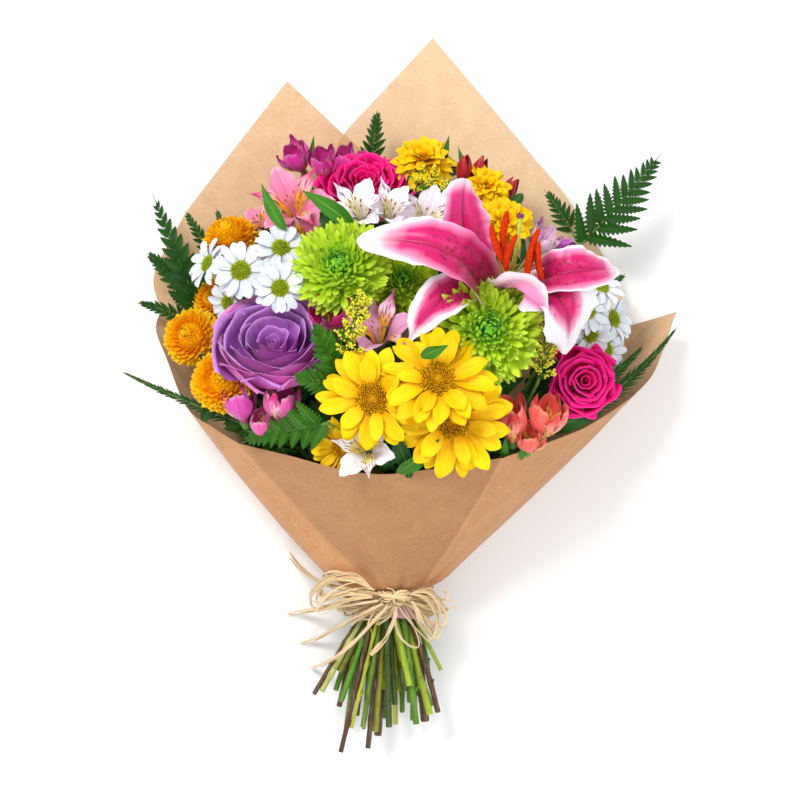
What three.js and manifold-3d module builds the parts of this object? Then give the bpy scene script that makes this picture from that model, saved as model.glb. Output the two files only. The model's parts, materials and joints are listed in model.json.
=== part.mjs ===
// Hand-tied mixed flower bouquet in kraft paper, lying on its back.
// Millimetres. +Z is up, flower heads point along +Y and up, cut stem ends point along -Y.
// Origin: middle of the footprint, at the surface that the bouquet lies on.
import * as THREE from 'three';
import { mergeVertices } from 'three/addons/utils/BufferGeometryUtils.js';
import Module from 'manifold-3d';

const wasm = await Module();
wasm.setup();

// ---------------------------------------------------------------- driving dimensions
const TIE = new THREE.Vector3(-9.536, -146.02, 36);   // centre of the tie
const GAP = 0.42;                 // air left between touching pieces
const STEM_SIDES = 5;
const PAPER = 0.6;                // kraft sheet, with its fibres and creases
const NECK_R = [29, 28];          // front wrap at the tie, half width and half height
const NECK_IN = [27.2, 26.2];     // left back sheet inside it
const NECK_IN2 = [25.6, 24.7];    // right back sheet inside that
const RAFFIA_IN = 30.2, RAFFIA_OUT = 33.8, RAFFIA_LEN = 8.6;
const TAPE_IN = 25.9, TAPE_OUT = 26.7, TAPE_LEN = 14;
const TAIL_R = 1.5, LOOP_R = 3.0;
const PETALS = { daisy: 9, wdaisy: 6 };     // lobes on the plain solids

// ---------------------------------------------------------------- places
// stem: cut end first, flower end last. ped: side stalks. heads: base, facing, radius.
const STEMS = {
  rose_lavender: { kind: 'rose', r: 3, stem: [[-44.9, -204.2, 42.3], [-32.6, -182.2, 41.5], [-23.3, -165, 40.9], [-18.7, -154.9, 41.1], [-20.8, -136.4, 42.8], [-34.8, -102.1, 58.7], [-52.6, -58.5, 79.2], [-75.9, -4.2, 96.7], [-80.6, 19, 117.3], [-81.3, 23.5, 125.1]], ped: [], heads: [{ type: 'rose', base: [-80.6, 19, 117.3], n: [-0.08, 0.501, 0.862], R: 37 }], fronds: [] },
  rose_magenta_top: { kind: 'rose', r: 2.9, stem: [[-17.1, -254.2, 18.1], [-13.7, -209.4, 21], [-11.3, -174.7, 24], [-10.1, -154.9, 26.4], [-10.7, -136.9, 27.4], [-14, -79.8, 33.7], [-18.2, -7.1, 41.7], [-23.9, 84.7, 43.8], [-25.6, 122.6, 56.1], [-25.6, 129.1, 62.4]], ped: [], heads: [{ type: 'rose', base: [-25.6, 122.6, 56.1], n: [0, 0.722, 0.692], R: 30 }], fronds: [] },
  rose_magenta_right: { kind: 'rose', r: 2.9, stem: [[21.3, -231.2, 30.6], [9.3, -197.7, 32.8], [1.7, -171.2, 35.5], [-1.3, -155.6, 39.1], [3.1, -137.9, 42.5], [29.6, -107.6, 52.1], [62, -68.5, 62], [100.5, -12.3, 64.6], [117.5, 3.8, 80.1], [120.7, 3, 88.5]], ped: [], heads: [{ type: 'rose', base: [117.5, 3.8, 80.1], n: [0.351, -0.08, 0.933], R: 26 }], fronds: [] },
  lily_stargazer: { kind: 'lily', r: 3.4, stem: [[17.4, -241, 38.9], [13.7, -201.7, 39.2], [8.9, -171.6, 37.8], [5.7, -154.3, 36.3], [6.8, -136.2, 36], [19.9, -92.1, 49.2], [36.9, -36.4, 67.6], [59.7, 39.4, 80], [67.1, 63, 100.9], [68.3, 64.8, 112.7]], ped: [], heads: [{ type: 'lily', base: [67.1, 63, 100.9], n: [0.1, 0.15, 0.984], R: 60, heart: [71.4, 72, 143], petals: [{ a: [67.2, 76, 145], m: [48.7, 108.6, 172], b: [47.5, 139.1, 168], up: [0.55, -0.5, 0.67], w: 15.5 }, { a: [64.5, 73.3, 145], m: [20.3, 103.1, 192], b: [-28.9, 97.3, 172], up: [0.12, 0.42, 0.9], w: 18.5 }, { a: [62, 69.4, 140], m: [28.8, 61.5, 164], b: [5.9, 32.6, 166], up: [-0.252, 0.151, 0.956], w: 13.5 }, { a: [76.8, 71.2, 145], m: [111.8, 83.7, 186], b: [147.6, 80, 158], up: [0.1, 0.35, 0.931], w: 15.5 }, { a: [77.4, 67.8, 145], m: [106.5, 58.5, 186], b: [111.5, 23.4, 154], up: [0.449, -0.1, 0.888], w: 15.5 }, { a: [70.4, 66.9, 150], m: [76.9, 66.8, 194], b: [94.9, 51.7, 192], up: [-0.252, 0.756, -0.605], w: 9.5 }], anthers: [{ m: [65.8, 84.2, 178], b: [62.4, 97.6, 196] }, { m: [68.5, 91, 176], b: [67.2, 107.1, 192] }, { m: [70.9, 83.9, 182], b: [70.6, 92.6, 202] }, { m: [81.7, 84.1, 180], b: [88.7, 98.9, 196] }, { m: [78.9, 77.3, 182], b: [85.7, 82.7, 202] }, { m: [84.3, 78.8, 180], b: [93.3, 87.1, 196] }, { m: [75.1, 84.2, 178], b: [78.2, 113.4, 196] }] }], fronds: [] },
  spider_mum_left: { kind: 'spider', r: 2.5, stem: [[-19, -248.2, 38.9], [-16.1, -206.2, 39.1], [-13.8, -173.6, 39.5], [-12.8, -154.9, 39.1], [-13.6, -136.9, 41.9], [-19.4, -89.3, 62.9], [-26.9, -28.7, 89.6], [-35.9, 51.1, 114.7], [-40.1, 79.4, 137.2], [-40.9, 82.2, 144.6]], ped: [], heads: [{ type: 'spider', base: [-40.1, 79.4, 137.2], n: [-0.1, 0.35, 0.931], R: 34 }], fronds: [] },
  spider_mum_right: { kind: 'spider', r: 2.5, stem: [[20.8, -234.8, 47.6], [11.6, -199.6, 45.5], [5.4, -172.2, 43.5], [3.4, -156.7, 43], [5.7, -139.2, 48.1], [17.3, -100.7, 71.2], [31.8, -50.9, 99.2], [51.5, 16.1, 125.5], [57.7, 38, 149.1], [58.1, 39.2, 157]], ped: [], heads: [{ type: 'spider', base: [57.7, 38, 149.1], n: [0.06, 0.151, 0.987], R: 36.5 }], fronds: [] },
  spider_mum_back: { kind: 'spider', r: 2.4, stem: [[2.8, -219.2, 38.6], [-1.9, -190.5, 38.4], [-5.6, -168.1, 38.1], [-7.3, -155.4, 38.1], [-6.9, -137.2, 40.5], [-5.3, -91.7, 57], [-3.4, -33.7, 78], [-1.2, 41.2, 95.6], [0.2, 69.9, 115.4], [0.6, 73.5, 122.5]], ped: [], heads: [{ type: 'spider', base: [0.2, 69.9, 115.4], n: [0.05, 0.451, 0.891], R: 29 }], fronds: [] },
  daisy_yellow_left: { kind: 'daisy', r: 2.3, stem: [[-8.7, -242.8, 56.8], [-9.6, -203.4, 55.1], [-10.4, -172.8, 53.9], [-10.9, -155.4, 53.2], [-11, -137.4, 56.9], [-12.4, -108.3, 81.4], [-14.2, -71.2, 112.6], [-14.9, -18, 143.3], [-17.6, -4.9, 168.2], [-18.4, -5.5, 173.1]], ped: [], heads: [{ type: 'daisy', base: [-17.6, -4.9, 168.2], n: [-0.152, -0.121, 0.981], R: 36.5 }], fronds: [] },
  daisy_yellow_centre: { kind: 'daisy', r: 2.3, stem: [[6.1, -212.7, 58.2], [0.5, -186.8, 56.4], [-3.6, -166.7, 54.9], [-5.6, -155.1, 53.8], [-4.7, -137.1, 57.2], [1.6, -106.5, 83.1], [9.6, -67.6, 116.1], [19.9, -19, 150.6], [23.8, 1.8, 175.1], [24, 3.9, 179.7]], ped: [], heads: [{ type: 'daisy', base: [23.8, 1.8, 175.1], n: [0.05, 0.422, 0.905], R: 40 }], fronds: [] },
  daisy_yellow_front: { kind: 'daisy', r: 2.3, stem: [[11, -241.1, 52.6], [6.2, -202.4, 52.3], [2.3, -172.3, 52.5], [-0.2, -155.1, 53], [0.5, -137.1, 55.3], [7.7, -111.2, 78.6], [16.9, -78.1, 108.3], [28.4, -29.2, 137.3], [33.4, -19.1, 161.4], [33.9, -20.2, 166.2]], ped: [], heads: [{ type: 'daisy', base: [33.4, -19.1, 161.4], n: [0.1, -0.22, 0.97], R: 41 }], fronds: [] },
  daisy_yellow_low: { kind: 'daisy', r: 2.2, stem: [[-43.4, -225, 49.7], [-32, -193.5, 48.5], [-23.1, -169, 47.6], [-18.1, -155, 47], [-18.8, -136.9, 49.7], [-23.5, -113.8, 68.2], [-29.5, -84.4, 91.8], [-33.3, -38, 113.8], [-40.2, -31.9, 133.9], [-41.9, -34, 138.1]], ped: [], heads: [{ type: 'daisy', base: [-40.2, -31.9, 133.9], n: [-0.349, -0.419, 0.838], R: 33 }], fronds: [] },
  daisy_yellow_top: { kind: 'daisy', r: 2.2, stem: [[-8, -211.4, 12.6], [-6.6, -186, 17.5], [-5.5, -166.3, 21.4], [-5, -155.1, 23.5], [-4.5, -137.1, 24.5], [0.9, -73.6, 31.6], [7.8, 7.1, 40.6], [16.8, 107.9, 47.5], [20.1, 151.3, 56.8], [20.4, 155.8, 59]], ped: [], heads: [{ type: 'daisy', base: [20.1, 151.3, 56.8], n: [0.05, 0.901, 0.431], R: 31 }], fronds: [] },
  daisy_yellow_back: { kind: 'daisy', r: 2, stem: [[-1.8, -221.1, 18.2], [-1.7, -191.3, 22.4], [-1.6, -168.2, 25.6], [-1.5, -154.9, 27.3], [0.2, -137, 28.4], [12.7, -78.5, 36.5], [28.6, -4, 46.8], [45.6, 90.3, 53.8], [57.1, 128.9, 65.2], [59.1, 132.5, 68.1]], ped: [], heads: [{ type: 'daisy', base: [57.1, 128.9, 65.2], n: [0.402, 0.723, 0.562], R: 24 }], fronds: [] },
  daisy_yellow_side: { kind: 'daisy', r: 2, stem: [[2.8, -213, 24.8], [1.1, -186.8, 28.1], [-0.1, -166.4, 30.6], [-0.6, -154.7, 32], [1.3, -136.6, 33.3], [16.2, -83.1, 43.9], [35.2, -14.9, 57.4], [55, 73.5, 67.1], [69.2, 106.7, 81.6], [71.8, 109.2, 85.1]], ped: [], heads: [{ type: 'daisy', base: [69.2, 106.7, 81.6], n: [0.502, 0.502, 0.704], R: 24 }], fronds: [] },
  button_mum_top: { kind: 'button', r: 2, stem: [[-32.6, -239.5, 18.3], [-28.1, -201.4, 22.4], [-24.5, -171.9, 25.6], [-22.5, -154.9, 27.3], [-25.4, -137, 28.2], [-46, -85.4, 34.5], [-72.2, -19.7, 42.4], [-105.5, 61, 47], [-119.1, 97.6, 56.7], [-120.8, 103.4, 60.2]], ped: [], heads: [{ type: 'button', base: [-119.1, 97.6, 56.7], n: [-0.25, 0.829, 0.5], R: 22 }], fronds: [] },
  button_mum_left: { kind: 'button', r: 2, stem: [[-45.4, -232.2, 23.4], [-37.6, -197.4, 27.9], [-31.3, -170.4, 31.5], [-28.3, -155, 33.4], [-31.6, -137, 33.8], [-56.6, -99.4, 38], [-88.4, -51.5, 43.4], [-127.9, 11.5, 39.5], [-145.3, 34, 52.9], [-147.7, 36, 59.2]], ped: [], heads: [{ type: 'button', base: [-145.3, 34, 52.9], n: [-0.351, 0.281, 0.893], R: 22.5 }], fronds: [] },
  button_mum_low: { kind: 'button', r: 2, stem: [[-47.6, -219, 34.5], [-38.6, -190.1, 36.1], [-31.2, -167.7, 37.6], [-28.6, -155, 38.7], [-31.1, -137.3, 40.8], [-51.2, -106.5, 54.8], [-76.7, -67.4, 72.7], [-110.6, -15.9, 84.9], [-122.2, 2.4, 104.6], [-122.9, 3.9, 111.4]], ped: [], heads: [{ type: 'button', base: [-122.2, 2.4, 104.6], n: [-0.1, 0.22, 0.97], R: 23.5 }], fronds: [] },
  button_mum_back: { kind: 'button', r: 1.8, stem: [[-35.3, -229.2, 12.6], [-30.3, -195.8, 17.5], [-26.2, -169.8, 21.3], [-24.2, -154.9, 23], [-27.5, -136.9, 23.2], [-50.7, -93.1, 26.3], [-80.2, -37.3, 30.2], [-117.2, 35.8, 24], [-132.9, 62.3, 37.2], [-135, 64.7, 43.4]], ped: [], heads: [{ type: 'button', base: [-132.9, 62.3, 37.2], n: [-0.302, 0.352, 0.886], R: 17 }], fronds: [] },
  white_daisy_left_a: { kind: 'wdaisy', r: 2, stem: [[-24.7, -223.3, 23.2], [-22.2, -192.6, 26.7], [-20.3, -168.8, 29.4], [-19.2, -155.1, 30.7], [-21.2, -137.1, 32.1], [-34.7, -100, 42.2], [-51.8, -52.9, 55], [-68.9, -5.7, 67.9], [-82.4, 31.3, 78]], ped: [[[-82.4, 31.3, 78], [-90.7, 46.3, 88.8], [-98.2, 60.5, 94.4], [-108, 79.4, 100.4], [-110.1, 81.1, 114.2], [-110.6, 81.5, 117.6]], [[-82.4, 31.3, 78], [-82.8, 50.3, 89.1], [-83.8, 66.3, 95.2], [-85.2, 87.5, 103.1], [-83.8, 94.6, 115.1], [-83.4, 96.3, 118.1]], [[-82.4, 31.3, 78], [-97.5, 48, 78.3], [-108.1, 62.6, 75.2], [-122.1, 82.1, 71.6], [-132.6, 87, 79.6], [-135.3, 88.3, 81.5]]], heads: [{ type: 'wdaisy', base: [-110.1, 81.1, 114.2], n: [-0.15, 0.12, 0.981], R: 21.5 }, { type: 'wdaisy', base: [-83.8, 94.6, 115.1], n: [0.101, 0.504, 0.858], R: 20 }, { type: 'wdaisy', base: [-132.6, 87, 79.6], n: [-0.755, 0.352, 0.553], R: 19 }], fronds: [] },
  white_daisy_left_b: { kind: 'wdaisy', r: 2, stem: [[-29.8, -215.2, 30.4], [-25.3, -188.1, 32.7], [-21.7, -167.1, 34.5], [-19.8, -154.9, 35.4], [-21.6, -136.8, 37], [-34.1, -104, 47.7], [-50, -62.4, 61.5], [-65.9, -20.7, 75.2], [-78.5, 12.1, 86]], ped: [[[-78.5, 12.1, 86], [-79.8, 29.2, 102.2], [-81.7, 47.2, 112.2], [-84.1, 71, 126.2], [-82.9, 69.3, 140.1], [-82.6, 68.9, 143.6]], [[-78.5, 12.1, 86], [-90.4, 27.1, 86.7], [-99.3, 43.7, 83.6], [-109.9, 66.4, 77.9], [-118.3, 62.1, 88], [-120.4, 61.1, 90.6]]], heads: [{ type: 'wdaisy', base: [-82.9, 69.3, 140.1], n: [0.081, -0.121, 0.989], R: 18.5 }, { type: 'wdaisy', base: [-118.3, 62.1, 88], n: [-0.596, -0.298, 0.745], R: 17 }], fronds: [] },
  white_daisy_right_a: { kind: 'wdaisy', r: 2, stem: [[8.6, -242.1, 25.6], [8.7, -203.4, 26.8], [9.1, -173.3, 29.8], [9.8, -156.2, 31.8], [12.1, -138.3, 33.3], [29.7, -105.1, 42.2], [52.8, -63, 52.8], [76.7, -20.9, 62.5], [95.5, 12.3, 70]], ped: [[[95.5, 12.3, 70], [108.4, 29.6, 73.1], [118.4, 44.1, 72.1], [131.5, 63.2, 70.5], [138.5, 70.2, 80.4], [140.3, 71.9, 82.8]], [[95.5, 12.3, 70], [105.6, 24.8, 76.1], [114.4, 36.8, 77.9], [125.1, 52.5, 77.1], [129.3, 53.9, 90.4], [130.3, 54.2, 93.7]]], heads: [{ type: 'wdaisy', base: [138.5, 70.2, 80.4], n: [0.502, 0.502, 0.704], R: 19 }, { type: 'wdaisy', base: [129.3, 53.9, 90.4], n: [0.3, 0.1, 0.949], R: 17 }], fronds: [] },
  white_daisy_right_b: { kind: 'wdaisy', r: 2, stem: [[13, -224.9, 22.1], [9.9, -192.2, 22.8], [7.8, -166.5, 22.9], [5.6, -151.5, 21.9], [6.8, -132.9, 24.2], [26.2, -104.7, 35.3], [52.4, -69.5, 47.8], [77.8, -34.4, 61.2], [98.9, -7.7, 72]], ped: [[[98.9, -7.7, 72], [113.4, 9.3, 70.4], [123.6, 25.2, 64.9], [137.2, 46.3, 57.4], [147.3, 49.1, 66.7], [149.8, 49.8, 69]], [[98.9, -7.7, 72], [110.5, 4, 73.1], [121.1, 14.3, 70.6], [132.9, 28.1, 64.5], [141.6, 27.7, 75.6], [143.7, 27.7, 78.4]], [[98.9, -7.7, 72], [108.8, 6.3, 75.7], [117.3, 20.7, 75], [127.7, 40.2, 71.1], [131.9, 38.8, 84.4], [132.9, 38.5, 87.7]]], heads: [{ type: 'wdaisy', base: [147.3, 49.1, 66.7], n: [0.722, 0.201, 0.662], R: 19 }, { type: 'wdaisy', base: [141.6, 27.7, 75.6], n: [0.6, 0, 0.8], R: 18 }, { type: 'wdaisy', base: [131.9, 38.8, 84.4], n: [0.3, -0.1, 0.949], R: 17 }], fronds: [] },
  alstroemeria_pink: { kind: 'alstro', r: 2.2, stem: [[-20.4, -234.2, 23.7], [-15.8, -198.4, 27], [-11.9, -170.6, 30.2], [-9.9, -154.6, 33.4], [-11.6, -136.5, 36.8], [-22.1, -92.5, 45.8], [-35.3, -36.5, 55.3], [-48.5, 19.6, 64.8], [-59.2, 63.5, 72]], ped: [[[-59.2, 63.5, 72], [-63.1, 80.2, 69.7], [-66.5, 95.3, 63.2], [-70.8, 114.2, 51.4], [-72.2, 119.2, 64.5], [-73, 122, 71.9]], [[-59.2, 63.5, 72], [-61.9, 75.9, 74.6], [-64.2, 87.5, 73.8], [-67.1, 102.5, 70.2], [-68.2, 104.7, 80.6], [-69, 106.3, 88.4]], [[-59.2, 63.5, 72], [-69.9, 78.4, 64.8], [-77.9, 90.4, 54.2], [-87.7, 105.4, 39], [-94.8, 113.2, 48.2], [-98.8, 117.6, 53.4]]], heads: [{ type: 'alstro', base: [-72.2, 119.2, 64.5], n: [-0.1, 0.35, 0.931], R: 24 }, { type: 'alstro', base: [-68.2, 104.7, 80.6], n: [-0.102, 0.205, 0.973], R: 16 }, { type: 'alstro', base: [-94.8, 113.2, 48.2], n: [-0.506, 0.557, 0.658], R: 14 }], fronds: [] },
  alstroemeria_magenta_top: { kind: 'alstro', r: 2.1, stem: [[-20.7, -208.2, 15.2], [-18.4, -184.2, 19.9], [-16.7, -165.6, 23.6], [-15.9, -155, 25.7], [-16.8, -137, 26.3], [-22.8, -86.3, 30.6], [-30.5, -21.7, 36.1], [-38.2, 42.9, 41.6], [-44.2, 93.6, 46]], ped: [[[-44.2, 93.6, 46], [-49, 108.3, 42.5], [-53.1, 120, 36.1], [-58, 133.2, 25.2], [-60, 142.6, 34.3], [-61.2, 148.3, 39.8]], [[-44.2, 93.6, 46], [-44.2, 107.8, 44.6], [-44.6, 118.9, 41], [-45.4, 131.2, 34.6], [-44.1, 140.9, 41.3], [-43.3, 147.5, 45.8]]], heads: [{ type: 'alstro', base: [-60, 142.6, 34.3], n: [-0.152, 0.709, 0.689], R: 21 }, { type: 'alstro', base: [-44.1, 140.9, 41.3], n: [0.102, 0.82, 0.564], R: 15 }], fronds: [] },
  alstroemeria_white_left: { kind: 'alstro', r: 2.1, stem: [[-13.2, -218.5, 28.7], [-14.5, -190.2, 33.2], [-15.4, -168, 34.4], [-15.3, -155.4, 33.6], [-15.1, -137.4, 32.2], [-15.3, -93.3, 40.5], [-15.8, -37, 53.1], [-16.3, 19.2, 65.8], [-16.4, 63.4, 76]], ped: [[[-16.4, 63.4, 76], [-16.3, 77.6, 76.6], [-15, 90.2, 74], [-12.4, 105.5, 68], [-16, 110.9, 78], [-18.4, 114.5, 84.8]], [[-16.4, 63.4, 76], [-12.6, 77.5, 77.1], [-8.7, 89.4, 75], [-3.6, 103.3, 69.8], [-3.6, 110.7, 79.6], [-3.6, 115.5, 86]]], heads: [{ type: 'alstro', base: [-16, 110.9, 78], n: [-0.3, 0.45, 0.841], R: 19 }, { type: 'alstro', base: [-3.6, 110.7, 79.6], n: [0, 0.6, 0.8], R: 17 }], fronds: [] },
  alstroemeria_white_right: { kind: 'alstro', r: 2, stem: [[-4.3, -245, 25.9], [-4.6, -204.6, 29.3], [-4.9, -173.2, 32], [-5, -155.3, 33.5], [-4.5, -137.2, 35], [-0.5, -82.3, 46.1], [4.6, -12.4, 60.1], [9.2, 80.4, 67.8], [13.7, 112.5, 85.2], [15.3, 115.3, 92.5]], ped: [], heads: [{ type: 'alstro', base: [13.7, 112.5, 85.2], n: [0.199, 0.348, 0.916], R: 21 }], fronds: [] },
  alstroemeria_lilac: { kind: 'alstro', r: 2, stem: [[0.6, -196.7, 44.9], [-3.8, -177.9, 44.1], [-7.2, -163.2, 43.5], [-9.1, -154.7, 43.1], [-9.3, -136.6, 46], [-10.5, -99.8, 68.2], [-12.1, -53, 96.5], [-14.3, 5, 125], [-14.8, 30.6, 147], [-14.8, 35, 153.7]], ped: [], heads: [{ type: 'alstro', base: [-14.8, 30.6, 147], n: [0, 0.552, 0.834], R: 20 }], fronds: [] },
  alstroemeria_magenta_mid: { kind: 'alstro', r: 2, stem: [[-24, -259.6, 45.5], [-19.4, -212.5, 44.9], [-15.8, -175.9, 44.5], [-13.8, -155, 44.2], [-14.5, -137, 47.2], [-20.5, -96.1, 68.1], [-28.2, -44, 94.8], [-37.5, 24, 119.8], [-41.9, 49, 142.3], [-42.7, 51.9, 149.7]], ped: [], heads: [{ type: 'alstro', base: [-41.9, 49, 142.3], n: [-0.101, 0.354, 0.93], R: 17 }], fronds: [] },
  alstroemeria_magenta_low: { kind: 'alstro', r: 2, stem: [[-36, -203.3, 31.8], [-30.5, -181.6, 33.9], [-26.4, -164.7, 35.4], [-24.4, -154.9, 36.4], [-26.6, -136.7, 38.1], [-42.2, -106.8, 50.9], [-62, -68.9, 67.2], [-84.9, -12.7, 78.2], [-97.6, -1.1, 96.4], [-100.5, -3.2, 103.6]], ped: [], heads: [{ type: 'alstro', base: [-97.6, -1.1, 96.4], n: [-0.357, -0.255, 0.898], R: 19 }], fronds: [] },
  alstroemeria_pink_low: { kind: 'alstro', r: 2, stem: [[-57.4, -218.3, 46.8], [-41.7, -189.9, 46.1], [-29.1, -167.9, 45.4], [-23.2, -155.5, 45.3], [-24.8, -137.7, 47], [-33.2, -120, 56.9], [-43.8, -97.4, 69.5], [-54.4, -74.8, 82.2], [-62.7, -56.9, 92]], ped: [[[-62.7, -56.9, 92], [-66.1, -39.2, 99.8], [-68.7, -19.9, 102.7], [-72.3, 6.5, 104.7], [-77.8, 2.5, 116.6], [-79, 0.1, 124.1]], [[-62.7, -56.9, 92], [-70.1, -42.1, 96.2], [-76.3, -24.5, 97], [-83.8, 1, 95.5], [-87.3, -7.4, 106.1], [-89.3, -12.3, 112.2]]], heads: [{ type: 'alstro', base: [-77.8, 2.5, 116.6], n: [-0.152, -0.303, 0.941], R: 18 }, { type: 'alstro', base: [-87.3, -7.4, 106.1], n: [-0.252, -0.605, 0.756], R: 14 }], fronds: [] },
  alstroemeria_white_low: { kind: 'alstro', r: 2, stem: [[-4.4, -227.8, 50.5], [-6.5, -195.1, 49.3], [-8.2, -169.7, 48.4], [-9.1, -155.3, 47.9], [-9.4, -137.3, 50.8], [-11.6, -114.4, 69], [-14.4, -85.3, 92.4], [-17, -39.5, 113.2], [-19.5, -33.2, 134.1], [-20.3, -36.5, 141.4]], ped: [], heads: [{ type: 'alstro', base: [-19.5, -33.2, 134.1], n: [-0.101, -0.404, 0.909], R: 19 }], fronds: [] },
  alstroemeria_coral: { kind: 'alstro', r: 2.1, stem: [[26.8, -234, 42.3], [17.1, -197.4, 46.2], [7.3, -168.9, 48.7], [-0.3, -152.4, 47.9], [0.3, -133.7, 47.1], [14.9, -115.8, 54.9], [33.2, -94.2, 67.4], [50.2, -73, 82.2], [62.4, -56.8, 96]], ped: [[[62.4, -56.8, 96], [66.2, -42.9, 106.4], [69.3, -26, 109.9], [73.6, -2.7, 110.8], [77.7, -6.7, 122.5], [79.7, -9.1, 129.8]], [[62.4, -56.8, 96], [70.3, -44.8, 101.7], [76.7, -30.7, 104.2], [84.1, -10.3, 105], [88.7, -16.8, 115.1], [91.5, -20.9, 121.4]]], heads: [{ type: 'alstro', base: [77.7, -6.7, 122.5], n: [0.255, -0.306, 0.917], R: 20 }, { type: 'alstro', base: [88.7, -16.8, 115.1], n: [0.353, -0.505, 0.788], R: 16 }], fronds: [] },
  alstroemeria_purple_back: { kind: 'alstro', r: 2, stem: [[6.3, -229.9, 18.1], [5.4, -196.3, 23.7], [4.6, -170.3, 28.4], [4, -155.4, 30.5], [5.8, -137, 29.9], [21.4, -95.9, 37.3], [41.2, -43.7, 46.9], [61, 8.5, 56.5], [76.5, 49.6, 64]], ped: [[[76.5, 49.6, 64], [81.5, 63.1, 65.2], [85.2, 74.3, 63.6], [89, 87.4, 59.3], [93.2, 94.7, 67.9], [96.1, 99.6, 73.6]], [[76.5, 49.6, 64], [84.6, 63.3, 63.2], [89.3, 75.4, 60.5], [92.9, 90.3, 55.1], [103.5, 95.2, 61.5], [109.1, 97.8, 64.8]]], heads: [{ type: 'alstro', base: [93.2, 94.7, 67.9], n: [0.355, 0.608, 0.71], R: 17 }, { type: 'bud', base: [103.5, 95.2, 61.5], n: [0.796, 0.371, 0.478], R: 8 }], fronds: [] },
  alstroemeria_red_buds: { kind: 'alstro', r: 2, stem: [[0.9, -238.2, 11.3], [0.4, -200.7, 16.5], [0, -171.6, 20.5], [-0.1, -154.9, 22.7], [1.2, -136.9, 23.1], [11.9, -86.4, 26.8], [25.6, -22.2, 31.5], [39.3, 42.1, 36.2], [50, 92.5, 40]], ped: [[[50, 92.5, 40], [51.5, 105.1, 41], [52.5, 114.5, 41], [53.7, 124.5, 40.2], [54.8, 134.6, 43.4], [55.4, 141.2, 45.5]], [[50, 92.5, 40], [54, 103, 41], [57, 110.8, 41], [60, 119.2, 40.3], [63.4, 127.4, 43.2], [66, 133.6, 45.3]], [[50, 92.5, 40], [56.8, 99.2, 42.4], [62.3, 103.8, 43.9], [68.5, 108.4, 45.1], [72.7, 114.8, 48], [76.3, 120.2, 50.6]]], heads: [{ type: 'bud', base: [54.8, 134.6, 43.4], n: [0.1, 0.949, 0.3], R: 7 }, { type: 'bud', base: [63.4, 127.4, 43.2], n: [0.362, 0.879, 0.31], R: 7.5 }, { type: 'bud', base: [72.7, 114.8, 48], n: [0.517, 0.776, 0.362], R: 6.5 }], fronds: [] },
  solidago_centre: { kind: 'solidago', r: 1.5, stem: [[-27.5, -243.6, 50.8], [-21.2, -203.7, 49.7], [-16.2, -172.7, 48.9], [-13.3, -154.9, 48.5], [-14, -136.8, 51.9], [-19.3, -103.3, 76.9], [-26.1, -60.8, 108.9], [-36.6, -11.4, 146.6], [-38.4, 15.1, 166], [-36.8, 21.6, 170.4]], ped: [], heads: [], fronds: [{ a: [-38.4, 15.1, 166], m: [-32.7, 38.8, 182], b: [-24.6, 60.5, 186], w: 9.1 }] },
  solidago_top: { kind: 'solidago', r: 1.5, stem: [[-6.9, -228.2, 19.8], [-6.3, -195.3, 23.9], [-5.8, -169.7, 27.1], [-5.5, -155, 28.9], [-4.5, -137, 30], [2.6, -79, 37.9], [11.6, -5.2, 48], [25.7, 86.1, 56.1], [27.8, 126.7, 66], [25.6, 132.5, 71.1]], ped: [], heads: [], fronds: [{ a: [27.8, 126.7, 66], m: [21.9, 142.6, 80], b: [9.2, 157.3, 74], w: 9.1 }] },
  solidago_right: { kind: 'solidago', r: 1.5, stem: [[28.9, -203, 46.9], [18.2, -181.8, 45.5], [10.3, -165.4, 44.4], [8.2, -156.2, 44], [10.3, -138.2, 46.6], [27, -107.1, 66], [49.8, -67.3, 88.1], [79.3, -22.8, 113.4], [92.7, 1.9, 128], [94.5, 9.1, 131.1]], ped: [], heads: [], fronds: [{ a: [92.7, 1.9, 128], m: [98.3, 25.1, 138], b: [97.2, 48.5, 134], w: 8.4 }] },
  fern_left_upper: { kind: 'fern', r: 1.4, stem: [[-40.3, -244.5, 19.1], [-34.8, -204.2, 23.5], [-30.6, -172.8, 27.1], [-28.2, -154.9, 29.2], [-31.3, -136.9, 29.6], [-56.8, -94.1, 32.3], [-89.3, -39.7, 35.8], [-129.4, 24.5, 39.2], [-147.3, 57.6, 42], [-150, 65, 43.3]], ped: [[[-147.3, 57.6, 42], [-150.3, 63, 42], [-153.1, 68.1, 42], [-156, 73.5, 42], [-160.4, 77.5, 42.9]]], heads: [], fronds: [{ a: [-147.3, 57.6, 42], m: [-159.8, 92, 48], b: [-180.3, 142.1, 46], w: 13.3 }, { a: [-156, 73.5, 42], m: [-170.2, 86.4, 45], b: [-184.3, 98.9, 42], w: 7 }] },
  fern_left_low: { kind: 'fern', r: 1.3, stem: [[-43, -211.2, 14.4], [-34.3, -185.9, 20.5], [-28.2, -166.2, 24.7], [-26.4, -155, 26.2], [-30.1, -137.1, 26.2], [-53.6, -98, 27.5], [-83.4, -48.3, 29.1], [-115.2, 13.5, 29.9], [-136.5, 40.5, 32], [-143.6, 44, 33.5]], ped: [], heads: [], fronds: [{ a: [-136.5, 40.5, 32], m: [-165.1, 54.8, 38], b: [-191.8, 62.8, 40], w: 5.6 }] },
  fern_left_rim: { kind: 'fern', r: 1.3, stem: [[-63.1, -220.7, 44], [-45.6, -191.1, 42.9], [-31.7, -168.1, 42], [-25.1, -154.9, 41.8], [-27.6, -136.9, 44], [-42.9, -113.1, 59], [-62.2, -82.8, 78], [-80.4, -45.4, 106.1], [-96.7, -28.5, 112], [-103.6, -26, 108.9]], ped: [], heads: [], fronds: [{ a: [-96.7, -28.5, 112], m: [-150.3, -9.1, 88], b: [-199.6, 12.4, 60], w: 4.2 }] },
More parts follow.
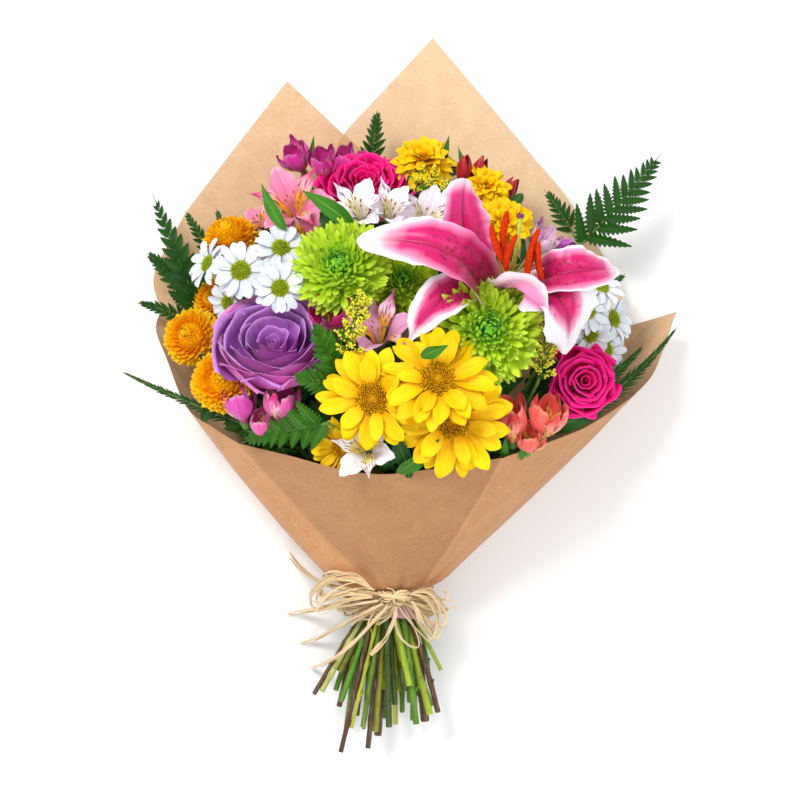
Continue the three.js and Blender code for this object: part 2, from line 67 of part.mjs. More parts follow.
  fern_left_back: { kind: 'fern', r: 1.3, stem: [[-27.6, -250.5, 12.9], [-24.5, -207.5, 17.9], [-22, -174, 21.7], [-20.4, -154.9, 23.8], [-23.7, -136.9, 24.1], [-48.1, -85.7, 26.3], [-79.3, -20.5, 29], [-115.7, 58.9, 30.3], [-134.9, 95.8, 34], [-139.3, 102, 36.4]], ped: [[[-134.9, 95.8, 34], [-132.9, 97.7, 34.7], [-131, 99.6, 35.3], [-128.9, 101.5, 36], [-129.4, 107.3, 37.6]]], heads: [], fronds: [{ a: [-134.9, 95.8, 34], m: [-146.1, 111.4, 40], b: [-156.9, 129.6, 40], w: 6.3 }, { a: [-128.9, 101.5, 36], m: [-130.1, 115.8, 40], b: [-134.6, 131.2, 38], w: 4.2 }] },
  fern_top: { kind: 'fern', r: 1.3, stem: [[-12.5, -242.7, 11.3], [-11.6, -203.1, 15.9], [-10.8, -172.4, 19.2], [-10.4, -154.8, 21.4], [-10.7, -136.9, 21.9], [-13.3, -72.5, 24.5], [-16.7, 9.4, 27.9], [-22.1, 109.5, 29.7], [-22.7, 155.6, 34], [-21.7, 163.1, 36.5]], ped: [], heads: [], fronds: [{ a: [-22.7, 155.6, 34], m: [-19.7, 179.4, 42], b: [-17.5, 202.9, 40], w: 8.4 }] },
  fern_right: { kind: 'fern', r: 1.5, stem: [[11.2, -209.6, 16.1], [5.7, -185.7, 20.4], [3.4, -167.2, 24.2], [4.2, -156.6, 26.2], [9.9, -139.1, 26.5], [37.5, -86.3, 30.7], [70.4, -18.2, 37.6], [108.4, 65.2, 44.9], [129.1, 103.5, 50], [134.5, 109.2, 51.6]], ped: [[[129.1, 103.5, 50], [127.3, 107, 48.6], [125.5, 110.3, 47.4], [123.7, 113.9, 46], [120.5, 118.8, 47.4]]], heads: [], fronds: [{ a: [129.1, 103.5, 50], m: [155.8, 132.4, 58], b: [187.6, 169.9, 50], w: 15.4 }, { a: [123.7, 113.9, 46], m: [114.7, 128, 50], b: [104.2, 144.4, 44], w: 5.6 }] },
  fern_right_mid: { kind: 'fern', r: 1.3, stem: [[16.9, -237.4, 17], [14.8, -200.4, 22.4], [11.4, -171.6, 26.1], [9.2, -155.2, 27.8], [12.3, -137.3, 29.3], [39, -93.6, 34.7], [72.7, -37.9, 41.6], [110.7, 30.5, 49.1], [133.1, 61.4, 54], [139.4, 66.1, 55.8]], ped: [], heads: [], fronds: [{ a: [133.1, 61.4, 54], m: [147.2, 72, 58], b: [161.4, 83.2, 52], w: 4.2 }] },
  fern_right_low: { kind: 'fern', r: 1.4, stem: [[22.1, -218.5, 38.5], [17.6, -189.4, 40.5], [12.3, -166.8, 41.1], [10.1, -154.3, 41], [12.1, -136.4, 42.6], [34.3, -110.6, 54.9], [62.4, -77.7, 70.3], [92.2, -37.9, 92.2], [112.7, -18.9, 98], [119.7, -15.4, 96.4]], ped: [[[112.7, -18.9, 98], [117.2, -14.6, 96], [121.4, -10.6, 94], [125.8, -6.3, 92], [130.7, -2.9, 90.8]]], heads: [], fronds: [{ a: [112.7, -18.9, 98], m: [155.8, 2.9, 88], b: [197.9, 44.7, 60], w: 7 }, { a: [125.8, -6.3, 92], m: [150.3, 10.7, 86], b: [172.9, 30.9, 66], w: 5.6 }] },
  fern_front_left: { kind: 'fern', r: 1.4, stem: [[-43.4, -261, 54.9], [-32.3, -213.4, 53.4], [-23.7, -176.4, 52.2], [-18.8, -155.2, 51.6], [-19.5, -137.3, 54.9], [-25.8, -112.4, 75.8], [-33.9, -80.7, 102.5], [-37.3, -37.9, 140.7], [-48.3, -24, 150], [-55.5, -25.1, 146.8]], ped: [], heads: [], fronds: [{ a: [-48.3, -24, 150], m: [-80.2, -28.9, 136], b: [-111.3, -37.6, 112], w: 11.2 }] },
  fern_centre: { kind: 'fern', r: 1.4, stem: [[-35.8, -243.7, 55.6], [-26.3, -203.9, 53.9], [-19, -172.9, 52.5], [-15.1, -155.2, 51.7], [-15.8, -137.3, 55.3], [-20.8, -106.5, 78.9], [-27.2, -67.2, 108.7], [-32.6, -21.7, 143.9], [-38.5, 3.1, 162], [-41.5, 9.3, 166.1]], ped: [[[-38.5, 3.1, 162], [-39.8, 3.1, 162.7], [-41.1, 3.1, 163.3], [-42.5, 3, 164], [-48.2, 4.1, 165.6]]], heads: [], fronds: [{ a: [-38.5, 3.1, 162], m: [-48.8, 24.3, 176], b: [-59.3, 42.2, 180], w: 9.8 }, { a: [-42.5, 3, 164], m: [-57.1, 5.7, 168], b: [-71.9, 7.1, 166], w: 7.7 }] },
};

// top edge of each sheet, from its hidden end round to the other: x, y, z, and the angle at the tie
const FRONT_EDGE = [
  [-103.4, 44.4, 0.3, 262],
  [-145.5, 50.2, 3.5, 248],
  [-177.7, 57.2, 15, 232],
  [-179.7, 43.6, 24, 216],
  [-170.2, 21.4, 38, 200],
  [-153.6, -12.7, 60, 182],
  [-131.8, -27.5, 82, 142],
  [-112.1, -37.8, 100, 102],
  [-76.5, -46.2, 128, 94],
  [-38.9, -55.3, 146, 87],
  [-11.6, -57.8, 152, 81],
  [15.5, -55.1, 152, 74],
  [46.8, -51.2, 146, 66],
  [69.6, -46.7, 137, 57],
  [94.5, -39.5, 122, 46],
  [123.3, -29.4, 98, 35],
  [140.6, -21.1, 84, 26],
  [160, -9.1, 66, 16],
  [179.2, 8.1, 54, 6],
  [189.7, 29.2, 44, -6],
  [199.9, 56.3, 38, -20],
  [182.7, 51, 22, -36],
  [162.4, 45.5, 12, -50],
  [125.4, 36.8, 3, -68],
  [81, 29.5, 0.3, -85],
];
const LEFT_EDGE = [
  [21.5, 122.4, 0.9, -75],
  [-4.5, 152.1, 0.9, -80],
  [-29.8, 176.7, 0.8, -85],
  [-40.2, 187.1, 0.8, -88],
  [-60.3, 206.4, 0.6, -92],
  [-84.8, 229.5, 0.3, -98],
  [-123.4, 179.5, 2, -110],
  [-159.1, 131.4, 9, -120],
  [-180.9, 86.4, 20, -132],
  [-178.5, 62.8, 22, -136],
];
const RIGHT_EDGE = [
  [-75.1, 140.8, 2.7, -105],
  [-50.6, 176.5, 2.5, -98],
  [-40.2, 192.8, 2.4, -96],
  [-8.2, 227, 2, -92],
  [23.7, 261.3, 1.6, -86],
  [59.3, 218.7, 3, -78],
  [94.7, 176, 7, -70],
  [121.1, 143, 12, -62],
  [146.4, 102.7, 18, -55],
  [159.2, 78.2, 22, -50],
  [162.1, 66.4, 23, -47],
  [163.4, 45.1, 24, -42],
];
// the folds just above the tie: centre, half width, heights and the rows' y
const FOLD = { x: -11, y: -125.6, w: 51, front: 13.8, back: 2.9, up: 38, down: 35.7 };

const RAFFIA = { knot: [-5.1, -147.3, 72.2], tails: { raffia_tail_1: [[-16.4, -145.8, 76.5], [-26.3, -144.3, 78], [-42.1, -141.6, 72], [-60.1, -138, 46], [-74.4, -129.9, 18], [-82.4, -121.2, 4]], raffia_tail_2: [[-16.4, -150.6, 74.5], [-30.7, -153, 72], [-47, -157.1, 50], [-62.4, -160.9, 24], [-74.9, -164, 7], [-84, -166.6, 2.6]], raffia_tail_3: [[-12.9, -152.8, 74.5], [-26.5, -160.2, 71], [-42, -169.6, 48], [-56.7, -179.7, 20], [-67.5, -185.7, 5], [-75.1, -188.2, 2.6]], raffia_tail_4: [[-9.3, -154.1, 76], [-19.3, -165.3, 77], [-32.1, -178.2, 76], [-45.2, -190.4, 62], [-57.9, -200.8, 28], [-66.1, -206.7, 2.6]], raffia_tail_5: [[-2.9, -154.9, 75], [-5.1, -164.1, 75], [-10.8, -175.7, 73], [-21.5, -189.4, 71]] }, loops: { raffia_loop_left: [[-19.3, -142.6, 77], [-31.9, -135.1, 82], [-49.2, -138.6, 74], [-61.1, -149.8, 60], [-56.8, -156.9, 60], [-37.7, -148.4, 76], [-20.7, -147.4, 79]], raffia_loop_right: [[6.3, -145.5, 76], [19.1, -141.6, 72], [30.8, -150.1, 56], [32.4, -160.6, 52], [19.3, -159.6, 62], [7.7, -151.2, 76]] } };

// ---------------------------------------------------------------- solids
const V = (p) => new THREE.Vector3(p[0], p[1], p[2]);

function welded(geo) {
  const g = geo.index ? geo.clone() : geo.clone();
  for (const k of Object.keys(g.attributes)) if (k !== 'position') g.deleteAttribute(k);
  return mergeVertices(g, 1e-4);
}

function grown(geo, skin) {             // the same piece with a skin of air round it
  const g = welded(geo), p = g.attributes.position, ix = g.index.array;
  const s = outward(g) ? skin : -skin;
  const at = Array.from({ length: p.count }, () => []);
  const a = new THREE.Vector3(), b = new THREE.Vector3(), c = new THREE.Vector3();
  for (let i = 0; i < ix.length; i += 3) {
    a.fromBufferAttribute(p, ix[i]); b.fromBufferAttribute(p, ix[i + 1]); c.fromBufferAttribute(p, ix[i + 2]);
    const n = b.clone().sub(a).cross(c.clone().sub(a));
    if (n.length() < 1e-9) continue;
    n.normalize();
    for (let k = 0; k < 3; k++) {
      const l = at[ix[i + k]];
      if (!l.some((m) => m.dot(n) > 0.999)) l.push(n);
    }
  }
  for (let i = 0; i < p.count; i++) {    // move each corner so that all its faces step out by the skin
    const m = new THREE.Matrix3().set(.03, 0, 0, 0, .03, 0, 0, 0, .03), e = m.elements, r = new THREE.Vector3();
    for (const n of at[i]) {
      const v = [n.x, n.y, n.z];
      for (let u = 0; u < 3; u++) for (let w = 0; w < 3; w++) e[u * 3 + w] += v[u] * v[w];
      r.add(n);
    }
    const d = r.applyMatrix3(m.invert()).multiplyScalar(s);
    if (d.length() > 3 * skin) d.setLength(3 * skin);
    p.setXYZ(i, p.getX(i) + d.x, p.getY(i) + d.y, p.getZ(i) + d.z);
  }
  return g;
}

function outward(g) {
  const p = g.attributes.position, ix = g.index.array;
  const a = new THREE.Vector3(), b = new THREE.Vector3(), c = new THREE.Vector3();
  let v = 0;
  for (let i = 0; i < ix.length; i += 3) {
    a.fromBufferAttribute(p, ix[i]); b.fromBufferAttribute(p, ix[i + 1]); c.fromBufferAttribute(p, ix[i + 2]);
    v += a.dot(b.cross(c));
  }
  return v > 0;
}

function solid(geo) {
  const g = welded(geo);
  const ix = g.index.array, out = [];
  const flip = !outward(g);
  for (let i = 0; i < ix.length; i += 3) {
    const [a, b, c] = [ix[i], ix[i + 1], ix[i + 2]];
    if (a === b || b === c || a === c) continue;
    if (flip) out.push(a, c, b); else out.push(a, b, c);
  }
  const mesh = new wasm.Mesh({ numProp: 3, vertProperties: new Float32Array(g.attributes.position.array), triVerts: new Uint32Array(out) });
  mesh.merge();
  return new wasm.Manifold(mesh);
}

function ring(sides, r) {
  const s = new THREE.Shape();
  for (let i = 0; i < sides; i++) {
    const a = (i / sides) * Math.PI * 2;
    if (i) s.lineTo(Math.cos(a) * r, Math.sin(a) * r); else s.moveTo(Math.cos(a) * r, Math.sin(a) * r);
  }
  s.closePath();
  return s;
}

class Route extends THREE.CatmullRomCurve3 {   // stepped by its own places, not by length
  getPointAt(t) { return this.getPoint(t); }
  getTangentAt(t) { return this.getTangent(t); }
  getSpacedPoints(n) { return this.getPoints(n); }
}

function tube(points, r, sides, steps = points.length - 1) {
  const path = new Route(points.map(V), false, 'catmullrom', 0.5);
  return new THREE.ExtrudeGeometry(ring(sides, r), { steps, bevelEnabled: false, extrudePath: path });
}

function placed(geo, base, n) {          // local +Z onto n, local origin onto base
  const q = new THREE.Quaternion().setFromUnitVectors(new THREE.Vector3(0, 0, 1), V(n).normalize());
  return geo.applyMatrix4(new THREE.Matrix4().compose(V(base), q, new THREE.Vector3(1, 1, 1)));
}

function lathe(profile, seg, lobes = 0, depth = 0, from = 0) {
  const g = new THREE.LatheGeometry(profile.map((p) => new THREE.Vector2(p[0], p[1])), seg);
  g.rotateX(Math.PI / 2);
  const m = welded(g);
  if (lobes) {
    const p = m.attributes.position;
    for (let i = 0; i < p.count; i++) {
      const x = p.getX(i), y = p.getY(i), r = Math.hypot(x, y);
      if (r < from) continue;
      const k = 1 - depth * (0.5 - 0.5 * Math.cos(Math.atan2(y, x) * lobes));
      p.setXYZ(i, x * k, y * k, p.getZ(i));
    }
  }
  return m;
}

function slab(nx, ny, at) {              // a thin closed piece: at(s, t, side), s and t in 0..1, side -1 or 1
  const g = new THREE.BoxGeometry(1, 1, 1, nx, ny, 1);
  const under = g.groups[5], ix = g.index.array;   // both sides are split along the same diagonals
  for (let i = under.start; i < under.start + under.count; i += 6) {
    const [a, b, d, c] = [ix[i], ix[i + 1], ix[i + 2], ix[i + 4]];
    ix.set([a, b, c, a, c, d], i);
  }
  const p = g.attributes.position;
  for (let i = 0; i < p.count; i++) {
    const v = at(p.getX(i) + 0.5, p.getY(i) + 0.5, p.getZ(i) > 0 ? 1 : -1);
    p.setXYZ(i, v.x, v.y, v.z);
  }
  return g;
}

// a leaf or petal along a curve: width(s), cup depth(s), thickness
function blade(a, m, b, up, width, cup, thick, nx, ny = 1, zig = null) {
  const curve = new THREE.QuadraticBezierCurve3(V(a), V(m).multiplyScalar(2).sub(V(a).add(V(b)).multiplyScalar(0.5)), V(b));
  const U = V(up).normalize();
  return slab(nx, ny, (s, t, side) => {
    const c = curve.getPoint(s), d = curve.getTangent(Math.min(0.999, Math.max(0.001, s)));
    const across = new THREE.Vector3().crossVectors(d, U).normalize();
    const n = new THREE.Vector3().crossVectors(across, d).normalize();
    const w = width(s) * (zig ? zig(s) : 1), k = 2 * t - 1;
    return c.addScaledVector(across, k * w).addScaledVector(n, cup(s) * k * k + side * thick / 2);
  });
}

const HEAD = {
  rose(h) {
    const R = h.R;
    return [placed(lathe([[0, 0], [R * .6, R * .26], [R * .9, R * .66], [R, R * .98], [R * .6, R * 1.2], [0, R * 1.12]], 11), h.base, h.n)];
  },
  spider(h) {
    const R = h.R;
    return [placed(lathe([[0, 0], [R * .5, R * .08], [R, R * .4], [R * .66, R * .9], [0, R]], 11), h.base, h.n)];
  },
  button(h) {
    const R = h.R;
    return [placed(lathe([[0, 0], [R * .6, R * .14], [R, R * .62], [R * .62, R * 1.1], [0, R * 1.2]], 9), h.base, h.n)];
  },
  daisy(h) {
    const R = h.R, d = R * .3;
    return [placed(lathe([[0, 0], [7, 7.5], [R, 8], [R * .62, 12.6], [0, 16]], PETALS.daisy * 2, PETALS.daisy, .2, R * .9), h.base, h.n)];
  },
  wdaisy(h) {
    const R = h.R, d = R * .36;
    return [placed(lathe([[0, 0], [4, 4], [R, 5.2], [0, 10]], PETALS.wdaisy * 2, PETALS.wdaisy, .2, R * .9), h.base, h.n)];
  },
  alstro(h) {
    const R = h.R;
    return [placed(lathe([[0, 0], [R * .3, R * .6], [R, R * 1.4], [R * .4, R * 1.3], [0, R * 1.05]], 10, 5, .22, R * .8), h.base, h.n)];
  },
  bud(h) {
    const R = h.R;
    return [placed(lathe([[0, 0], [R, 10], [R * .7, 19], [0, 26]], 6), h.base, h.n)];
  },
  lily(h) {
    const parts = [placed(lathe([[0, 0], [4.6, 12], [9.5, 42], [7, 50], [0, 50]], 8), h.base, h.n)];
    for (const q of h.petals) parts.push(blade(q.a, q.m, q.b, q.up, (s) => q.w * (0.16 + 0.84 * Math.pow(Math.sin(Math.PI * Math.min(1, .06 + s * .97)), .72)), () => 2.4, 1.6, 5, 1));
    for (const q of h.anthers) parts.push(blade(h.heart, q.m, q.b, [0, 0, 1], (s) => (s > .7 ? 2.0 : 1.0), () => 0, s_thick, 3));
    return parts;
  },
};
const s_thick = 1.6;

function frondParts(f, kind) {
  if (kind === 'solidago') {
    return [blade(f.a, f.m, f.b, [0, 0, 1], (s) => f.w * (.35 + .65 * Math.sin(Math.PI * (.12 + .8 * s))), () => -2, 7, 4, 1)];
  }
  const L = V(f.a).distanceTo(V(f.b)), n = Math.max(4, 2 * Math.round(L / 20));
  return [blade(f.a, f.m, f.b, [0, 0, 1], (s) => f.w * (1 - .93 * Math.pow(s, 1.4)) * (.55 + .45 * Math.min(1, s * 4)) + .5, () => 0, 1.2, n, 1,
    (s) => (Math.round(s * n) % 2 ? 1 : .62))];
}

// ---------------------------------------------------------------- paper
const along = (edge, n) => {             // smooth run of n + 1 places along an edge list
  const c = new THREE.CatmullRomCurve3(edge.map(V), false, 'catmullrom', 0.5);
  const a = edge.map((e) => e[3]);
  return (s) => {
    const t = Math.min(0.99999, Math.max(0, s)) * (edge.length - 1), i = Math.floor(t);
    return { p: c.getPoint(t / (edge.length - 1)), a: a[i] + (a[Math.min(i + 1, a.length - 1)] - a[i]) * (t - i) };
  };
};

function sheet(edge, neck, fold, perGap, rise) {
  const nx = (edge.length - 1) * perGap, f = along(edge);
  const rows = [[0, 0], [1, 0], [2, 0], [3, .5], [3, 1]];
  const mid = (s, j) => {
    const { p, a } = f(s), r = a * Math.PI / 180, cs = Math.cos(r), sn = Math.sin(r);
    const W = new THREE.Vector3(TIE.x + neck[0] * cs, TIE.y + 1.4, TIE.z + neck[1] * sn);
    const K = new THREE.Vector3(fold.x + fold.w * cs, sn > 0 ? fold.y - fold.front * sn : fold.y - fold.back * sn, TIE.z + (sn > 0 ? fold.up : fold.down) * sn);
    if (j[0] === 0) return W.setY(TIE.y - 5.6);
    if (j[0] === 1) return W;
    if (j[0] === 2) return K;
    const b = rise * 4 * j[1] * (1 - j[1]);
    return K.lerp(p, j[1]).add(new THREE.Vector3(b * cs, 0, sn > -.5 ? b * Math.max(0, sn) : 0));
  };
  return slab(nx, rows.length - 1, (s, t, side) => {
    const k = Math.round(t * (rows.length - 1)), j = rows[k], e = .25 / nx;
    const c = mid(s, j);
    const du = mid(Math.min(1, s + e), j).sub(mid(Math.max(0, s - e), j));
    const lo = mid(s, rows[Math.max(0, k - 1)]), hi = mid(s, rows[Math.min(rows.length - 1, k + 1)]);
    const n = new THREE.Vector3().crossVectors(du, hi.sub(lo)).normalize();
    return c.addScaledVector(n, side * PAPER / 2);
  });
}

// ---------------------------------------------------------------- colours
const C = {
  kraft: 0xc9986c, raffia: 0xe6cb9c, tape: 0xb98a9c, stem: 0x5c8f2c, fern: 0x24602a,
  rose_lavender: 0xa768c8, rose_magenta_top: 0xd8006c, rose_magenta_right: 0xd80078, lily_stargazer: 0xe04a96,
  spider: 0x96cc32, daisy: 0xffd000, button: 0xffa014, wdaisy: 0xf2f5fa, solidago: 0xb4c020,
  alstroemeria_pink: 0xf08cb4, alstroemeria_magenta_top: 0xb02a8c, alstroemeria_white_left: 0xf4f0f4, alstroemeria_white_right: 0xf6f2f6,
  alstroemeria_lilac: 0xd490c8, alstroemeria_magenta_mid: 0xc8207c, alstroemeria_magenta_low: 0xbe48a4, alstroemeria_pink_low: 0xd864a8,
  alstroemeria_white_low: 0xf6f2f2, alstroemeria_coral: 0xe8645a, alstroemeria_purple_back: 0xb868b8, alstroemeria_red_buds: 0xa01420,
};
const bouquet = new THREE.Group();
bouquet.name = 'bouquet';

function add(name, manifold, color, roughness = 0.6) {
  const m = manifold.getMesh();
  const g = new THREE.BufferGeometry();
  g.setAttribute('position', new THREE.BufferAttribute(new Float32Array(m.vertProperties), 3));
  g.setIndex(new THREE.BufferAttribute(new Uint32Array(m.triVerts), 1));
  const mesh = new THREE.Mesh(g, new THREE.MeshStandardMaterial({ color, roughness, metalness: 0 }));
  mesh.name = name;
  bouquet.add(mesh);
}

// ---------------------------------------------------------------- build
const boxOf = (m) => { const b = m.boundingBox(); return { lo: b.min, hi: b.max }; };
const meet = (a, b) => [0, 1, 2].every((k) => a.lo[k] <= b.hi[k] && b.lo[k] <= a.hi[k]);
const claimed = [];                      // what later pieces keep clear of: { name, m, box }
function claim(name, geos) {
  for (const g of geos) { const m = solid(grown(g, GAP)); claimed.push({ name, m, box: boxOf(m) }); }
}
function trimmed(name, m) {
  const box = boxOf(m);
  const cut = claimed.filter((c) => c.name !== name && meet(box, c.box)).map((c) => c.m);
  return cut.length ? m.subtract(wasm.Manifold.union(cut)) : m;
}
function biggest(m, at) {                // the piece that still holds on to the stem
  const parts = m.decompose();
  if (parts.length < 2) return m;
  return parts.reduce((a, b) => (b.volume() > a.volume() ? b : a));
}

// paper, tape and raffia keep their full shape
const paper = {
  paper_front_wrap: sheet(FRONT_EDGE, NECK_R, { ...FOLD, w: FOLD.w }, 1, 3),
  paper_back_left: sheet(LEFT_EDGE, NECK_IN, { ...FOLD, w: FOLD.w - 3.2, up: FOLD.up - 4, down: FOLD.down - 2.0, y: FOLD.y + 2 }, 1, 0),
  paper_back_right: sheet(RIGHT_EDGE, NECK_IN2, { ...FOLD, w: FOLD.w - 6.2, up: FOLD.up - 6, down: FOLD.down - 4.2, y: FOLD.y + 3 }, 1, 0),
};
for (const [name, g] of Object.entries(paper)) {
  claim(name, [g]);
  add(name, solid(g), C.kraft, 0.85);
}
function band(rin, rout, y0, len, round) {
  const e = round ? (rout - rin) * .35 : 0;
  const prof = round
    ? [[rin, 0], [rout - e, 0], [rout, e], [rout, len - e], [rout - e, len], [rin, len], [rin, 0]]
    : [[rin, 0], [rout, 0], [rout, len], [rin, len], [rin, 0]];
  const g = new THREE.LatheGeometry(prof.map((p) => new THREE.Vector2(p[0], p[1])), 20);
  return g.translate(TIE.x, y0 - len, TIE.z);
}
const tape = band(TAPE_IN, TAPE_OUT, TIE.y - 7.2, TAPE_LEN, false);
claim('stem_tape', [tape]);
add('stem_tape', solid(tape), C.tape, 0.4);
const wrap = band(RAFFIA_IN, RAFFIA_OUT, TIE.y + .9, RAFFIA_LEN, true);
const knot = new THREE.SphereGeometry(1, 10, 6).scale(7.5, 5.2, 3.6).translate(RAFFIA.knot[0], RAFFIA.knot[1], RAFFIA.knot[2]);
claim('raffia_wrap', [wrap, knot]);
add('raffia_wrap', solid(wrap).add(solid(knot)), C.raffia, 0.55);
for (const [name, pts] of Object.entries(RAFFIA.tails)) {
  const g = tube(pts, TAIL_R, 8, 10);
  claim(name, [g]);
  add(name, solid(g), C.raffia, 0.55);
}
for (const [name, pts] of Object.entries(RAFFIA.loops)) {
  const m = biggest(trimmed(name, solid(tube(pts, LOOP_R, 6, 16))));
  claimed.push({ name, m: solid(grown(tube(pts, LOOP_R, 6, 16), GAP)), box: null });
  claimed[claimed.length - 1].box = boxOf(claimed[claimed.length - 1].m);
  add(name, m, C.raffia, 0.55);
}

// every stem first, so that no head cuts through a neighbour's stem
const stemGeos = {};
for (const [name, d] of Object.entries(STEMS)) {
  const runs = [[d.stem, d.r], ...d.ped.map((p) => [p, d.heads.length ? 1.3 : .9])];
  stemGeos[name] = runs.map(([p, r]) => tube(p, r, STEM_SIDES));
  for (const [p, r] of runs) {
    const m = solid(tube(p, r + GAP * 1.24, STEM_SIDES));
    claimed.push({ name, m, box: boxOf(m) });
  }
}
// heads from the top of the dome down, each trimmed to what stands before it
const order = Object.entries(STEMS).sort((a, b) => top(b[1]) - top(a[1]));
function top(d) {
  const z = [...d.heads.map((h) => h.base[2] + h.n[2] * (h.type === 'lily' ? 90 : 20)), ...d.fronds.map((f) => f.m[2])];
  return Math.max(...z);
}
for (const [name, d] of order) {
  const heads = [];
  for (const h of d.heads) heads.push(...HEAD[h.type](h));
  for (const f of d.fronds) heads.push(...frondParts(f, d.kind));
  let body = wasm.Manifold.union(stemGeos[name].map(solid));
  let head = wasm.Manifold.union(heads.map(solid));
  const all = biggest(body.add(trimmed(name, head)));
  claim(name, heads);
  const color = C[name] ?? C[d.kind] ?? C.stem;
  add(name, biggest(all.simplify(0.1)), color, 0.55);
}

export default bouquet;
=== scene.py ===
# Looks of the hand-tied mixed bouquet in kraft paper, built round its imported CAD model.
# Tables are in millimetres in the CAD frame: +Z up, cut stem ends along -Y, flower heads along +Y.
import bpy
import json
import math
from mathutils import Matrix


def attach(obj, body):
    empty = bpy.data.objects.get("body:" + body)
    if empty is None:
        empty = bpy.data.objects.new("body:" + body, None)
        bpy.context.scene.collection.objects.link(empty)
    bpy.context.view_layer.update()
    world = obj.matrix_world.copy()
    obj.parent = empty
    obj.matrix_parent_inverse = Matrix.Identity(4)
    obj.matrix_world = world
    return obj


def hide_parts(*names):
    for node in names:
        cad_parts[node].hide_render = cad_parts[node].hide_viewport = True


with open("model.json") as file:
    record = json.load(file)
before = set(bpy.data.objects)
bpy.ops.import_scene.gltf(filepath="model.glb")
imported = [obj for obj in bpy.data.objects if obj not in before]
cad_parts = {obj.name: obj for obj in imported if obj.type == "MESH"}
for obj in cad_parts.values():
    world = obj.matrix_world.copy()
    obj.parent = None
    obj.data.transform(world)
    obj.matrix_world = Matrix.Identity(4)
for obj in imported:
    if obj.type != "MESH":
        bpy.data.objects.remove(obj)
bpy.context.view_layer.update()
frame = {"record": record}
import zlib
import numpy as np
from mathutils import Vector

